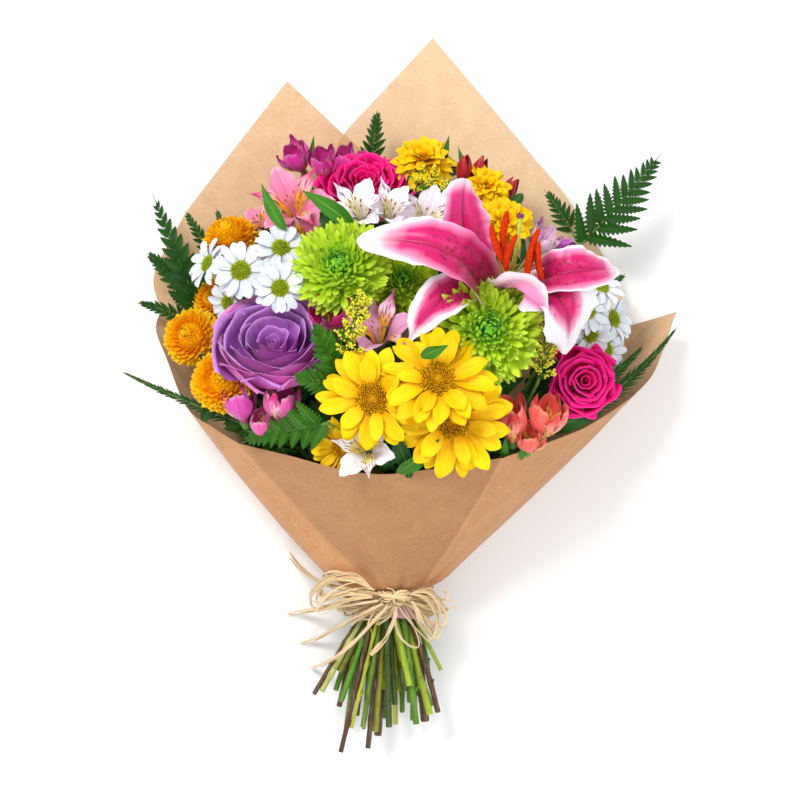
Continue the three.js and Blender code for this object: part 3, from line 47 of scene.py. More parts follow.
MM = 0.001
D = json.loads(r'''{"S":{
"rose_lavender":{"kind":"rose","r":3.0,"stem":[[-44.9,-204.2,42.3],[-32.6,-182.2,41.5],[-23.3,-165.0,40.9],[-18.7,-154.9,41.1],[-20.8,-136.4,42.8],[-34.8,-102.1,58.7],[-52.6,-58.5,79.2],[-75.9,-4.2,96.7],[-85.56,12.45,112.0],[-85.86,15.85,115.65]],"ped":[],"heads":[{"type":"rose","base":[-85.56,12.45,112.0],"n":[-0.06,0.68,0.73],"R":38}],"fronds":[]},
"rose_magenta_top":{"kind":"rose","r":2.9,"stem":[[-17.1,-254.2,18.1],[-13.7,-209.4,21.0],[-11.3,-174.7,24.0],[-10.1,-154.9,26.4],[-10.7,-136.9,27.4],[-14.0,-79.8,33.7],[-18.2,-7.1,41.7],[-25.97,135.43,56.0],[-25.97,138.43,60.0]],"ped":[],"heads":[{"type":"rose","base":[-25.97,135.43,56.0],"n":[0.0,0.6,0.8],"R":29}],"fronds":[]},
"rose_magenta_right":{"kind":"rose","r":2.9,"stem":[[21.3,-231.2,30.6],[9.3,-197.7,32.8],[1.7,-171.2,35.5],[-1.3,-155.6,39.1],[3.1,-137.9,42.5],[29.6,-107.6,52.1],[62.0,-68.5,62.0],[125.99,4.98,90.0],[126.7,5.28,94.94]],"ped":[],"heads":[{"type":"rose","base":[125.99,4.98,90.0],"n":[0.141,0.06,0.988],"R":22}],"fronds":[]},
"lily_stargazer":{"kind":"lily","r":3.4,"stem":[[17.4,-241.0,38.9],[13.7,-201.7,39.2],[8.9,-171.6,37.8],[5.7,-154.3,36.3],[6.8,-136.2,36.0],[19.9,-92.1,49.2],[36.9,-36.4,67.6],[59.7,39.4,80.0],[67.1,63.0,100.9],[68.3,64.8,112.7]],"ped":[],"heads":[{"type":"lily","base":[67.1,63.0,100.9],"n":[0.1,0.15,0.984],"R":60,"heart":[71.4,72.0,143.0],"petals":[{"a":[56.5,70.1,140.0],"m":[43.7,105.5,160.0],"b":[44.2,140.8,164.0],"up":[0.55,-0.5,0.67],"w":17.0},{"a":[55.0,59.7,145.0],"m":[30.3,91.5,188.0],"b":[-29.5,99.3,172.0],"up":[0.12,0.42,0.9],"w":17.0},{"a":[62.0,69.4,140.0],"m":[28.8,61.5,164.0],"b":[5.9,32.6,166.0],"up":[-0.252,0.151,0.956],"w":13.5},{"a":[76.8,69.2,145.0],"m":[111.8,77.7,186.0],"b":[146.9,80.0,158.0],"up":[0.1,0.35,0.931],"w":15.5},{"a":[77.4,67.8,145.0],"m":[106.5,58.5,186.0],"b":[111.5,23.4,154.0],"up":[0.449,-0.1,0.888],"w":15.5},{"a":[70.4,66.9,150.0],"m":[76.9,66.8,194.0],"b":[94.9,51.7,192.0],"up":[-0.252,0.756,-0.605],"w":9.5}],"anthers":[{"m":[65.8,84.2,178.0],"b":[62.4,97.6,196.0]},{"m":[68.5,91.0,176.0],"b":[67.2,107.1,192.0]},{"m":[70.9,83.9,182.0],"b":[70.6,92.6,202.0]},{"m":[81.7,84.1,180.0],"b":[88.7,98.9,196.0]},{"m":[78.9,77.3,182.0],"b":[85.7,82.7,202.0]},{"m":[84.3,78.8,180.0],"b":[93.3,87.1,196.0]},{"m":[75.1,84.2,178.0],"b":[78.2,113.4,196.0]}]}],"fronds":[]},
"spider_mum_left":{"kind":"spider","r":2.5,"stem":[[-19.0,-248.2,38.9],[-16.1,-206.2,39.1],[-13.8,-173.6,39.5],[-12.8,-154.9,39.1],[-13.6,-136.9,41.9],[-19.4,-89.3,62.9],[-26.9,-28.7,89.6],[-35.9,51.1,114.7],[-40.1,79.4,137.2],[-40.9,82.2,144.6]],"ped":[],"heads":[{"type":"spider","base":[-40.1,79.4,137.2],"n":[-0.1,0.35,0.931],"R":34}],"fronds":[]},
"spider_mum_right":{"kind":"spider","r":2.5,"stem":[[20.8,-234.8,47.6],[11.6,-199.6,45.5],[5.4,-172.2,43.5],[3.4,-156.7,43.0],[5.7,-139.2,48.1],[17.3,-100.7,71.2],[31.8,-50.9,99.2],[51.5,16.1,125.5],[57.7,38.0,149.1],[58.1,39.2,157.0]],"ped":[],"heads":[{"type":"spider","base":[57.7,38.0,149.1],"n":[0.06,0.151,0.987],"R":36.5}],"fronds":[]},
"spider_mum_back":{"kind":"spider","r":2.4,"stem":[[2.8,-219.2,38.6],[-1.9,-190.5,38.4],[-5.6,-168.1,38.1],[-7.3,-155.4,38.1],[-6.9,-137.2,40.5],[-5.3,-91.7,57.0],[-3.4,-33.7,78.0],[-1.2,41.2,95.6],[0.2,69.9,115.4],[0.6,73.5,122.5]],"ped":[],"heads":[{"type":"spider","base":[0.2,69.9,115.4],"n":[0.05,0.451,0.891],"R":29}],"fronds":[]},
"daisy_yellow_left":{"kind":"daisy","r":2.3,"stem":[[-8.7,-242.8,56.8],[-9.6,-203.4,55.1],[-10.4,-172.8,53.9],[-10.9,-155.4,53.2],[-11.0,-137.4,56.9],[-12.4,-108.3,81.4],[-14.2,-71.2,112.6],[-14.9,-18.0,143.3],[-17.6,-4.9,168.2],[-18.4,-5.5,173.1]],"ped":[],"heads":[{"type":"daisy","base":[-17.6,-4.9,168.2],"n":[-0.152,-0.121,0.981],"R":36.5}],"fronds":[]},
"daisy_yellow_centre":{"kind":"daisy","r":2.3,"stem":[[6.1,-212.7,58.2],[0.5,-186.8,56.4],[-3.6,-166.7,54.9],[-5.6,-155.1,53.8],[-4.7,-137.1,57.2],[1.6,-106.5,83.1],[9.6,-67.6,116.1],[19.9,-19.0,150.6],[23.8,1.8,175.1],[24.0,3.9,179.7]],"ped":[],"heads":[{"type":"daisy","base":[23.8,1.8,175.1],"n":[0.05,0.422,0.905],"R":40}],"fronds":[]},
"daisy_yellow_front":{"kind":"daisy","r":2.3,"stem":[[11.0,-241.1,52.6],[6.2,-202.4,52.3],[2.3,-172.3,52.5],[-0.2,-155.1,53.0],[0.5,-137.1,55.3],[7.7,-111.2,78.6],[16.9,-78.1,108.3],[28.4,-29.2,137.3],[33.4,-19.1,161.4],[33.9,-20.2,166.2]],"ped":[],"heads":[{"type":"daisy","base":[33.4,-19.1,161.4],"n":[0.1,-0.22,0.97],"R":41}],"fronds":[]},
"daisy_yellow_low":{"kind":"daisy","r":2.2,"stem":[[-43.4,-225.0,49.7],[-32.0,-193.5,48.5],[-23.1,-169.0,47.6],[-18.1,-155.0,47.0],[-18.8,-136.9,49.7],[-23.5,-113.8,68.2],[-29.5,-84.4,91.8],[-33.3,-38.0,113.8],[-37.91,-37.94,129.0],[-38.66,-39.44,133.71]],"ped":[],"heads":[{"type":"daisy","base":[-37.91,-37.94,129.0],"n":[-0.15,-0.301,0.942],"R":25}],"fronds":[]},
"daisy_yellow_top":{"kind":"daisy","r":2.2,"stem":[[-8.0,-211.4,12.6],[-6.6,-186.0,17.5],[-5.5,-166.3,21.4],[-5.0,-155.1,23.5],[-4.5,-137.1,24.5],[0.9,-73.6,31.6],[7.8,7.1,40.6],[16.42,157.33,60.0],[16.62,160.44,63.91]],"ped":[],"heads":[{"type":"daisy","base":[16.42,157.33,60.0],"n":[0.04,0.622,0.782],"R":24}],"fronds":[]},
"daisy_yellow_back":{"kind":"daisy","r":2.0,"stem":[[-1.8,-221.1,18.2],[-1.7,-191.3,22.4],[-1.6,-168.2,25.6],[-1.5,-154.9,27.3],[0.2,-137.0,28.4],[12.7,-78.5,36.5],[28.6,-4.0,46.8],[58.46,138.67,68.0],[59.26,140.96,72.37]],"ped":[],"heads":[{"type":"daisy","base":[58.46,138.67,68.0],"n":[0.159,0.457,0.875],"R":19}],"fronds":[]},
"daisy_yellow_side":{"kind":"daisy","r":2.0,"stem":[[2.8,-213.0,24.8],[1.1,-186.8,28.1],[-0.1,-166.4,30.6],[-0.6,-154.7,32.0],[1.3,-136.6,33.3],[16.2,-83.1,43.9],[35.2,-14.9,57.4],[71.31,113.9,84.0],[72.41,115.31,88.67]],"ped":[],"heads":[{"type":"daisy","base":[71.31,113.9,84.0],"n":[0.221,0.281,0.934],"R":21.5}],"fronds":[]},
"button_mum_top":{"kind":"button","r":2.0,"stem":[[-32.6,-239.5,18.3],[-28.1,-201.4,22.4],[-24.5,-171.9,25.6],[-22.5,-154.9,27.3],[-25.4,-137.0,28.2],[-46.0,-85.4,34.5],[-72.2,-19.7,42.4],[-105.5,61.0,47.0],[-119.1,97.6,56.7],[-120.8,103.4,60.2]],"ped":[],"heads":[{"type":"button","base":[-119.1,97.6,56.7],"n":[-0.25,0.829,0.5],"R":22}],"fronds":[]},
"button_mum_left":{"kind":"button","r":2.0,"stem":[[-45.4,-232.2,23.4],[-37.6,-197.4,27.9],[-31.3,-170.4,31.5],[-28.3,-155.0,33.4],[-31.6,-137.0,33.8],[-56.6,-99.4,38.0],[-88.4,-51.5,43.4],[-127.9,11.5,39.5],[-145.3,34.0,52.9],[-147.7,36.0,59.2]],"ped":[],"heads":[{"type":"button","base":[-145.3,34.0,52.9],"n":[-0.351,0.281,0.893],"R":22.5}],"fronds":[]},
"button_mum_low":{"kind":"button","r":2.0,"stem":[[-47.6,-219.0,34.5],[-38.6,-190.1,36.1],[-31.2,-167.7,37.6],[-28.6,-155.0,38.7],[-31.1,-137.3,40.8],[-51.2,-106.5,54.8],[-76.7,-67.4,72.7],[-110.6,-15.9,84.9],[-122.2,2.4,104.6],[-122.9,3.9,111.4]],"ped":[],"heads":[{"type":"button","base":[-122.2,2.4,104.6],"n":[-0.1,0.22,0.97],"R":23.5}],"fronds":[]},
"button_mum_back":{"kind":"button","r":1.8,"stem":[[-35.3,-229.2,12.6],[-30.3,-195.8,17.5],[-26.2,-169.8,21.3],[-24.2,-154.9,23.0],[-27.5,-136.9,23.2],[-50.7,-93.1,26.3],[-80.2,-37.3,30.2],[-117.2,35.8,24.0],[-132.9,62.3,37.2],[-135.0,64.7,43.4]],"ped":[],"heads":[{"type":"button","base":[-132.9,62.3,37.2],"n":[-0.302,0.352,0.886],"R":17}],"fronds":[]},
"white_daisy_left_a":{"kind":"wdaisy","r":2.0,"stem":[[-24.7,-223.3,23.2],[-22.2,-192.6,26.7],[-20.3,-168.8,29.4],[-19.2,-155.1,30.7],[-21.2,-137.1,32.1],[-34.7,-100.0,42.2],[-51.8,-52.9,55.0],[-68.9,-5.7,67.9],[-82.4,31.3,78.0]],"ped":[[[-82.4,31.3,78.0],[-90.7,46.3,88.8],[-98.2,60.5,94.4],[-108.0,79.4,100.4],[-110.1,81.1,114.2],[-110.6,81.5,117.6]],[[-82.4,31.3,78.0],[-82.8,50.3,89.1],[-83.8,66.3,95.2],[-85.2,87.5,103.1],[-83.8,94.6,115.1],[-83.4,96.3,118.1]],[[-82.4,31.3,78.0],[-97.5,48.0,78.3],[-108.1,62.6,75.2],[-122.1,82.1,71.6],[-132.6,87.0,79.6],[-135.3,88.3,81.5]]],"heads":[{"type":"wdaisy","base":[-110.1,81.1,114.2],"n":[-0.15,0.12,0.981],"R":21.5},{"type":"wdaisy","base":[-83.8,94.6,115.1],"n":[0.101,0.504,0.858],"R":20},{"type":"wdaisy","base":[-132.6,87.0,79.6],"n":[-0.755,0.352,0.553],"R":19}],"fronds":[]},
"white_daisy_left_b":{"kind":"wdaisy","r":2.0,"stem":[[-29.8,-215.2,30.4],[-25.3,-188.1,32.7],[-21.7,-167.1,34.5],[-19.8,-154.9,35.4],[-21.6,-136.8,37.0],[-34.1,-104.0,47.7],[-50.0,-62.4,61.5],[-65.9,-20.7,75.2],[-78.5,12.1,86.0]],"ped":[[[-78.5,12.1,86.0],[-79.8,29.2,102.2],[-81.7,47.2,112.2],[-84.1,71.0,126.2],[-82.9,69.3,140.1],[-82.6,68.9,143.6]],[[-78.5,12.1,86.0],[-90.4,27.1,86.7],[-99.3,43.7,83.6],[-109.9,66.4,77.9],[-118.3,62.1,88.0],[-120.4,61.1,90.6]]],"heads":[{"type":"wdaisy","base":[-82.9,69.3,140.1],"n":[0.081,-0.121,0.989],"R":18.5},{"type":"wdaisy","base":[-118.3,62.1,88.0],"n":[-0.596,-0.298,0.745],"R":17}],"fronds":[]},
"white_daisy_right_a":{"kind":"wdaisy","r":2.0,"stem":[[8.6,-242.1,25.6],[8.7,-203.4,26.8],[9.1,-173.3,29.8],[9.8,-156.2,31.8],[12.1,-138.3,33.3],[29.7,-105.1,42.2],[52.8,-63.0,52.8],[76.7,-20.9,62.5],[95.5,12.3,70.0]],"ped":[[[95.5,12.3,70.0],[108.4,29.6,73.1],[118.4,44.1,72.1],[131.5,63.2,70.5],[138.5,70.2,80.4],[140.3,71.9,82.8]],[[95.5,12.3,70.0],[105.6,24.8,76.1],[114.4,36.8,77.9],[125.1,52.5,77.1],[129.3,53.9,90.4],[130.3,54.2,93.7]]],"heads":[{"type":"wdaisy","base":[138.5,70.2,80.4],"n":[0.502,0.502,0.704],"R":19},{"type":"wdaisy","base":[129.3,53.9,90.4],"n":[0.3,0.1,0.949],"R":17}],"fronds":[]},
"white_daisy_right_b":{"kind":"wdaisy","r":2.0,"stem":[[13.0,-224.9,22.1],[9.9,-192.2,22.8],[7.8,-166.5,22.9],[5.6,-151.5,21.9],[6.8,-132.9,24.2],[26.2,-104.7,35.3],[52.4,-69.5,47.8],[77.8,-34.4,61.2],[98.9,-7.7,72.0]],"ped":[[[98.9,-7.7,72.0],[113.4,9.3,70.4],[123.6,25.2,64.9],[137.2,46.3,57.4],[147.3,49.1,66.7],[149.8,49.8,69.0]],[[98.9,-7.7,72.0],[110.5,4.0,73.1],[121.1,14.3,70.6],[132.9,28.1,64.5],[141.6,27.7,75.6],[143.7,27.7,78.4]],[[98.9,-7.7,72.0],[108.8,6.3,75.7],[117.3,20.7,75.0],[127.7,40.2,71.1],[131.9,38.8,84.4],[132.9,38.5,87.7]]],"heads":[{"type":"wdaisy","base":[147.3,49.1,66.7],"n":[0.722,0.201,0.662],"R":19},{"type":"wdaisy","base":[141.6,27.7,75.6],"n":[0.6,0.0,0.8],"R":18},{"type":"wdaisy","base":[131.9,38.8,84.4],"n":[0.3,-0.1,0.949],"R":17}],"fronds":[]},
"alstroemeria_pink":{"kind":"alstro","r":2.2,"stem":[[-20.4,-234.2,23.7],[-15.8,-198.4,27.0],[-11.9,-170.6,30.2],[-9.9,-154.6,33.4],[-11.6,-136.5,36.8],[-22.1,-92.5,45.8],[-35.3,-36.5,55.3],[-48.5,19.6,64.8],[-59.2,63.5,72.0]],"ped":[[[-59.2,63.5,72.0],[-63.1,80.2,69.7],[-66.5,95.3,63.2],[-70.8,114.2,51.4],[-74.97,119.24,70.0],[-75.22,121.75,74.32]],[[-59.2,63.5,72.0],[-61.9,75.9,74.6],[-64.2,87.5,73.8],[-67.1,102.5,70.2],[-68.2,104.7,80.6],[-69.0,106.3,88.4]],[[-59.2,63.5,72.0],[-69.9,78.4,64.8],[-77.9,90.4,54.2],[-87.7,105.4,39.0],[-94.8,113.2,48.2],[-98.8,117.6,53.4]]],"heads":[{"type":"alstro","base":[-74.97,119.24,70.0],"n":[-0.05,0.502,0.863],"R":25},{"type":"alstro","base":[-68.2,104.7,80.6],"n":[-0.102,0.205,0.973],"R":16},{"type":"alstro","base":[-94.8,113.2,48.2],"n":[-0.506,0.557,0.658],"R":14}],"fronds":[]},
"alstroemeria_magenta_top":{"kind":"alstro","r":2.1,"stem":[[-20.7,-208.2,15.2],[-18.4,-184.2,19.9],[-16.7,-165.6,23.6],[-15.9,-155.0,25.7],[-16.8,-137.0,26.3],[-22.8,-86.3,30.6],[-30.5,-21.7,36.1],[-38.2,42.9,41.6],[-44.2,93.6,46.0]],"ped":[[[-44.2,93.6,46.0],[-49.0,108.3,42.5],[-53.1,120.0,36.1],[-58.0,133.2,25.2],[-69.15,155.18,38.0],[-70.87,158.14,41.65]],[[-44.2,93.6,46.0],[-44.2,107.8,44.6],[-44.6,118.9,41.0],[-45.4,131.2,34.6],[-42.82,152.41,44.0],[-42.07,155.4,47.94]],[[-44.2,93.6,46.0],[-44.2,107.8,44.6],[-44.6,118.9,41.0],[-45.4,131.2,34.6],[-55.17,150.34,43.0],[-55.42,153.1,47.16]]],"heads":[{"type":"alstro","base":[-69.15,155.18,38.0],"n":[-0.345,0.591,0.729],"R":19},{"type":"alstro","base":[-42.82,152.41,44.0],"n":[0.15,0.598,0.787],"R":18},{"type":"alstro","base":[-55.17,150.34,43.0],"n":[-0.05,0.552,0.833],"R":19}],"fronds":[]},
"alstroemeria_white_left":{"kind":"alstro","r":2.1,"stem":[[-13.2,-218.5,28.7],[-14.5,-190.2,33.2],[-15.4,-168.0,34.4],[-15.3,-155.4,33.6],[-15.1,-137.4,32.2],[-15.3,-93.3,40.5],[-15.8,-37.0,53.1],[-16.3,19.2,65.8],[-16.4,63.4,76.0]],"ped":[[[-16.4,63.4,76.0],[-16.3,77.6,76.6],[-15.0,90.2,74.0],[-12.4,105.5,68.0],[-26.0,115.5,100.0],[-27.25,118.24,103.99]],[[-16.4,63.4,76.0],[-12.6,77.5,77.1],[-8.7,89.4,75.0],[-3.6,103.3,69.8],[-9.18,115.19,104.0],[-8.93,118.19,108.0]]],"heads":[{"type":"alstro","base":[-26.0,115.5,100.0],"n":[-0.249,0.549,0.798],"R":20},{"type":"alstro","base":[-9.18,115.19,104.0],"n":[0.05,0.599,0.799],"R":18}],"fronds":[]},
"alstroemeria_white_right":{"kind":"alstro","r":2.0,"stem":[[-4.3,-245.0,25.9],[-4.6,-204.6,29.3],[-4.9,-173.2,32.0],[-5.0,-155.3,33.5],[-4.5,-137.2,35.0],[-0.5,-82.3,46.1],[4.6,-12.4,60.1],[9.2,80.4,67.8],[13.7,112.5,85.2],[15.3,115.3,92.5]],"ped":[],"heads":[{"type":"alstro","base":[13.7,112.5,85.2],"n":[0.199,0.348,0.916],"R":21}],"fronds":[]},
"alstroemeria_lilac":{"kind":"alstro","r":2.0,"stem":[[0.6,-196.7,44.9],[-3.8,-177.9,44.1],[-7.2,-163.2,43.5],[-9.1,-154.7,43.1],[-9.3,-136.6,46.0],[-10.5,-99.8,68.2],[-12.1,-53.0,96.5],[-14.3,5.0,125.0],[-14.5,26.56,134.0],[-14.6,29.67,137.91]],"ped":[],"heads":[{"type":"alstro","base":[-14.5,26.56,134.0],"n":[-0.02,0.622,0.783],"R":24}],"fronds":[]},
"alstroemeria_magenta_mid":{"kind":"alstro","r":2.0,"stem":[[-24.0,-259.6,45.5],[-19.4,-212.5,44.9],[-15.8,-175.9,44.5],[-13.8,-155.0,44.2],[-14.5,-137.0,47.2],[-20.5,-96.1,68.1],[-28.2,-44.0,94.8],[-46.02,37.52,134.0],[-46.27,40.52,138.0]],"ped":[],"heads":[{"type":"alstro","base":[-46.02,37.52,134.0],"n":[-0.05,0.599,0.799],"R":21}],"fronds":[]},
"alstroemeria_magenta_low":{"kind":"alstro","r":2.0,"stem":[[-36.0,-203.3,31.8],[-30.5,-181.6,33.9],[-26.4,-164.7,35.4],[-24.4,-154.9,36.4],[-26.6,-136.7,38.1],[-42.2,-106.8,50.9],[-62.0,-68.9,67.2],[-107.36,-27.2,108.0],[-108.46,-22.9,110.3]],"ped":[],"heads":[{"type":"alstro","base":[-107.36,-27.2,108.0],"n":[-0.22,0.86,0.46],"R":21}],"fronds":[]},
"alstroemeria_pink_low":{"kind":"alstro","r":2.0,"stem":[[-57.4,-218.3,46.8],[-41.7,-189.9,46.1],[-29.1,-167.9,45.4],[-23.2,-155.5,45.3],[-24.8,-137.7,47.0],[-33.2,-120.0,56.9],[-43.8,-97.4,69.5],[-54.4,-74.8,82.2],[-62.7,-56.9,92.0]],"ped":[[[-62.7,-56.9,92.0],[-66.1,-39.2,99.8],[-83.64,-27.03,122.0],[-83.34,-22.83,124.7]],[[-62.7,-56.9,92.0],[-70.1,-42.1,96.2],[-94.01,-35.53,110.0],[-94.51,-32.01,113.52]]],"heads":[{"type":"alstro","base":[-83.64,-27.03,122.0],"n":[0.06,0.84,0.54],"R":20},{"type":"alstro","base":[-94.01,-35.53,110.0],"n":[-0.101,0.704,0.704],"R":16}],"fronds":[]},
"alstroemeria_white_low":{"kind":"alstro","r":2.0,"stem":[[-4.4,-227.8,50.5],[-6.5,-195.1,49.3],[-8.2,-169.7,48.4],[-9.1,-155.3,47.9],[-9.4,-137.3,50.8],[-11.6,-114.4,69.0],[-14.4,-85.3,92.4],[-21.92,-43.12,143.0],[-22.42,-42.62,147.95]],"ped":[],"heads":[{"type":"alstro","base":[-21.92,-43.12,143.0],"n":[-0.1,0.1,0.99],"R":20}],"fronds":[]},
"alstroemeria_coral":{"kind":"alstro","r":2.1,"stem":[[26.8,-234.0,42.3],[17.1,-197.4,46.2],[7.3,-168.9,48.7],[-0.3,-152.4,47.9],[0.3,-133.7,47.1],[14.9,-115.8,54.9],[33.2,-94.2,67.4],[50.2,-73.0,82.2],[62.4,-56.8,96.0]],"ped":[[[62.4,-56.8,96.0],[66.2,-42.9,106.4],[76.97,-40.73,127.0],[76.37,-36.73,129.95]],[[62.4,-56.8,96.0],[70.3,-44.8,101.7],[95.91,-36.71,121.0],[96.72,-32.89,124.12]],[[62.4,-56.8,96.0],[66.2,-42.9,106.4],[86.77,-45.62,124.0],[86.87,-42.51,127.91]]],"heads":[{"type":"alstro","base":[76.97,-40.73,127.0],"n":[-0.12,0.799,0.589],"R":23},{"type":"alstro","base":[95.91,-36.71,121.0],"n":[0.161,0.765,0.624],"R":23},{"type":"alstro","base":[86.77,-45.62,124.0],"n":[0.02,0.622,0.783],"R":17}],"fronds":[]},
"alstroemeria_purple_back":{"kind":"alstro","r":2.0,"stem":[[6.3,-229.9,18.1],[5.4,-196.3,23.7],[4.6,-170.3,28.4],[4.0,-155.4,30.5],[5.8,-137.0,29.9],[21.4,-95.9,37.3],[41.2,-43.7,46.9],[61.0,8.5,56.5],[76.5,49.6,64.0]],"ped":[[[76.5,49.6,64.0],[81.5,63.1,65.2],[85.2,74.3,63.6],[89.0,87.4,59.3],[93.2,94.7,67.9],[96.1,99.6,73.6]],[[76.5,49.6,64.0],[84.6,63.3,63.2],[89.3,75.4,60.5],[92.9,90.3,55.1],[103.5,95.2,61.5],[109.1,97.8,64.8]]],"heads":[{"type":"alstro","base":[93.2,94.7,67.9],"n":[0.355,0.608,0.71],"R":17},{"type":"bud","base":[103.5,95.2,61.5],"n":[0.796,0.371,0.478],"R":8}],"fronds":[]},
"alstroemeria_red_buds":{"kind":"alstro","r":2.0,"stem":[[0.9,-238.2,11.3],[0.4,-200.7,16.5],[0.0,-171.6,20.5],[-0.1,-154.9,22.7],[1.2,-136.9,23.1],[11.9,-86.4,26.8],[25.6,-22.2,31.5],[39.3,42.1,36.2],[50.0,92.5,40.0]],"ped":[[[50.0,92.5,40.0],[51.5,105.1,41.0],[52.5,114.5,41.0],[42.81,143.85,66.0],[43.62,148.3,68.13]],[[50.0,92.5,40.0],[54.0,103.0,41.0],[57.0,110.8,41.0],[50.8,144.22,62.0],[52.52,148.46,64.02]],[[50.0,92.5,40.0],[56.8,99.2,42.4],[62.3,103.8,43.9],[69.69,131.83,56.0],[72.23,135.63,58.03]]],"heads":[{"type":"bud","base":[42.81,143.85,66.0],"n":[0.162,0.891,0.425],"R":7},{"type":"bud","base":[50.8,144.22,62.0],"n":[0.343,0.848,0.404],"R":7.5},{"type":"bud","base":[69.69,131.83,56.0],"n":[0.507,0.761,0.406],"R":6.5}],"fronds":[]},
"solidago_centre":{"kind":"solidago","r":1.5,"stem":[[-27.5,-243.6,50.8],[-21.2,-203.7,49.7],[-16.2,-172.7,48.9],[-13.3,-154.9,48.5],[-14.0,-136.8,51.9],[-19.3,-103.3,76.9],[-26.1,-60.8,108.9],[-36.6,-11.4,146.6],[-38.4,15.1,166.0],[-36.8,21.6,170.4]],"ped":[],"heads":[],"fronds":[{"a":[-38.4,15.1,166.0],"m":[-32.7,38.8,182.0],"b":[-24.6,60.5,186.0],"w":9.1}]},
"solidago_top":{"kind":"solidago","r":1.5,"stem":[[-6.9,-228.2,19.8],[-6.3,-195.3,23.9],[-5.8,-169.7,27.1],[-5.5,-155.0,28.9],[-4.5,-137.0,30.0],[2.6,-79.0,37.9],[11.6,-5.2,48.0],[25.7,86.1,56.1],[27.8,126.7,66.0],[25.6,132.5,71.1]],"ped":[],"heads":[],"fronds":[{"a":[27.8,126.7,66.0],"m":[21.9,142.6,80.0],"b":[9.2,157.3,74.0],"w":9.1}]},
"solidago_right":{"kind":"solidago","r":1.5,"stem":[[28.9,-203.0,46.9],[18.2,-181.8,45.5],[10.3,-165.4,44.4],[8.2,-156.2,44.0],[10.3,-138.2,46.6],[27.0,-107.1,66.0],[49.8,-67.3,88.1],[79.3,-22.8,113.4],[92.7,1.9,128.0],[94.5,9.1,131.1]],"ped":[],"heads":[],"fronds":[{"a":[92.7,1.9,128.0],"m":[98.3,25.1,138.0],"b":[97.2,48.5,134.0],"w":8.4}]},
"fern_left_upper":{"kind":"fern","r":1.4,"stem":[[-40.3,-244.5,19.1],[-34.8,-204.2,23.5],[-30.6,-172.8,27.1],[-28.2,-154.9,29.2],[-31.3,-136.9,29.6],[-56.8,-94.1,32.3],[-89.3,-39.7,35.8],[-129.4,24.5,39.2],[-147.3,57.6,42.0],[-150.0,65.0,43.3]],"ped":[[[-147.3,57.6,42.0],[-150.3,63.0,42.0],[-153.1,68.1,42.0],[-156.0,73.5,42.0],[-160.4,77.5,42.9]]],"heads":[],"fronds":[{"a":[-147.3,57.6,42.0],"m":[-159.8,92.0,48.0],"b":[-180.3,142.1,46.0],"w":13.3},{"a":[-156.0,73.5,42.0],"m":[-170.2,86.4,45.0],"b":[-184.3,98.9,42.0],"w":7.0}]},
"fern_left_low":{"kind":"fern","r":1.3,"stem":[[-43.0,-211.2,14.4],[-34.3,-185.9,20.5],[-28.2,-166.2,24.7],[-26.4,-155.0,26.2],[-30.1,-137.1,26.2],[-53.6,-98.0,27.5],[-83.4,-48.3,29.1],[-115.2,13.5,29.9],[-136.5,40.5,32.0],[-143.6,44.0,33.5]],"ped":[],"heads":[],"fronds":[{"a":[-136.5,40.5,32.0],"m":[-165.1,54.8,38.0],"b":[-191.8,62.8,40.0],"w":5.6}]},
"fern_left_rim":{"kind":"fern","r":1.3,"stem":[[-63.1,-220.7,44.0],[-45.6,-191.1,42.9],[-31.7,-168.1,42.0],[-25.1,-154.9,41.8],[-27.6,-136.9,44.0],[-42.9,-113.1,59.0],[-62.2,-82.8,78.0],[-80.4,-45.4,106.1],[-96.7,-28.5,112.0],[-103.6,-26.0,108.9]],"ped":[],"heads":[],"fronds":[{"a":[-96.7,-28.5,112.0],"m":[-150.3,-9.1,88.0],"b":[-199.6,12.4,60.0],"w":4.2}]},
"fern_left_back":{"kind":"fern","r":1.3,"stem":[[-27.6,-250.5,12.9],[-24.5,-207.5,17.9],[-22.0,-174.0,21.7],[-20.4,-154.9,23.8],[-23.7,-136.9,24.1],[-48.1,-85.7,26.3],[-79.3,-20.5,29.0],[-115.7,58.9,30.3],[-134.9,95.8,34.0],[-139.3,102.0,36.4]],"ped":[[[-134.9,95.8,34.0],[-132.9,97.7,34.7],[-131.0,99.6,35.3],[-128.9,101.5,36.0],[-129.4,107.3,37.6]]],"heads":[],"fronds":[{"a":[-134.9,95.8,34.0],"m":[-146.1,111.4,40.0],"b":[-156.9,129.6,40.0],"w":6.3},{"a":[-128.9,101.5,36.0],"m":[-130.1,115.8,40.0],"b":[-134.6,131.2,38.0],"w":4.2}]},
"fern_top":{"kind":"fern","r":1.3,"stem":[[-12.5,-242.7,11.3],[-11.6,-203.1,15.9],[-10.8,-172.4,19.2],[-10.4,-154.8,21.4],[-10.7,-136.9,21.9],[-13.3,-72.5,24.5],[-16.7,9.4,27.9],[-22.1,109.5,29.7],[-22.7,155.6,34.0],[-21.7,163.1,36.5]],"ped":[],"heads":[],"fronds":[{"a":[-22.7,155.6,34.0],"m":[-19.7,179.4,42.0],"b":[-17.5,202.9,40.0],"w":8.4}]},
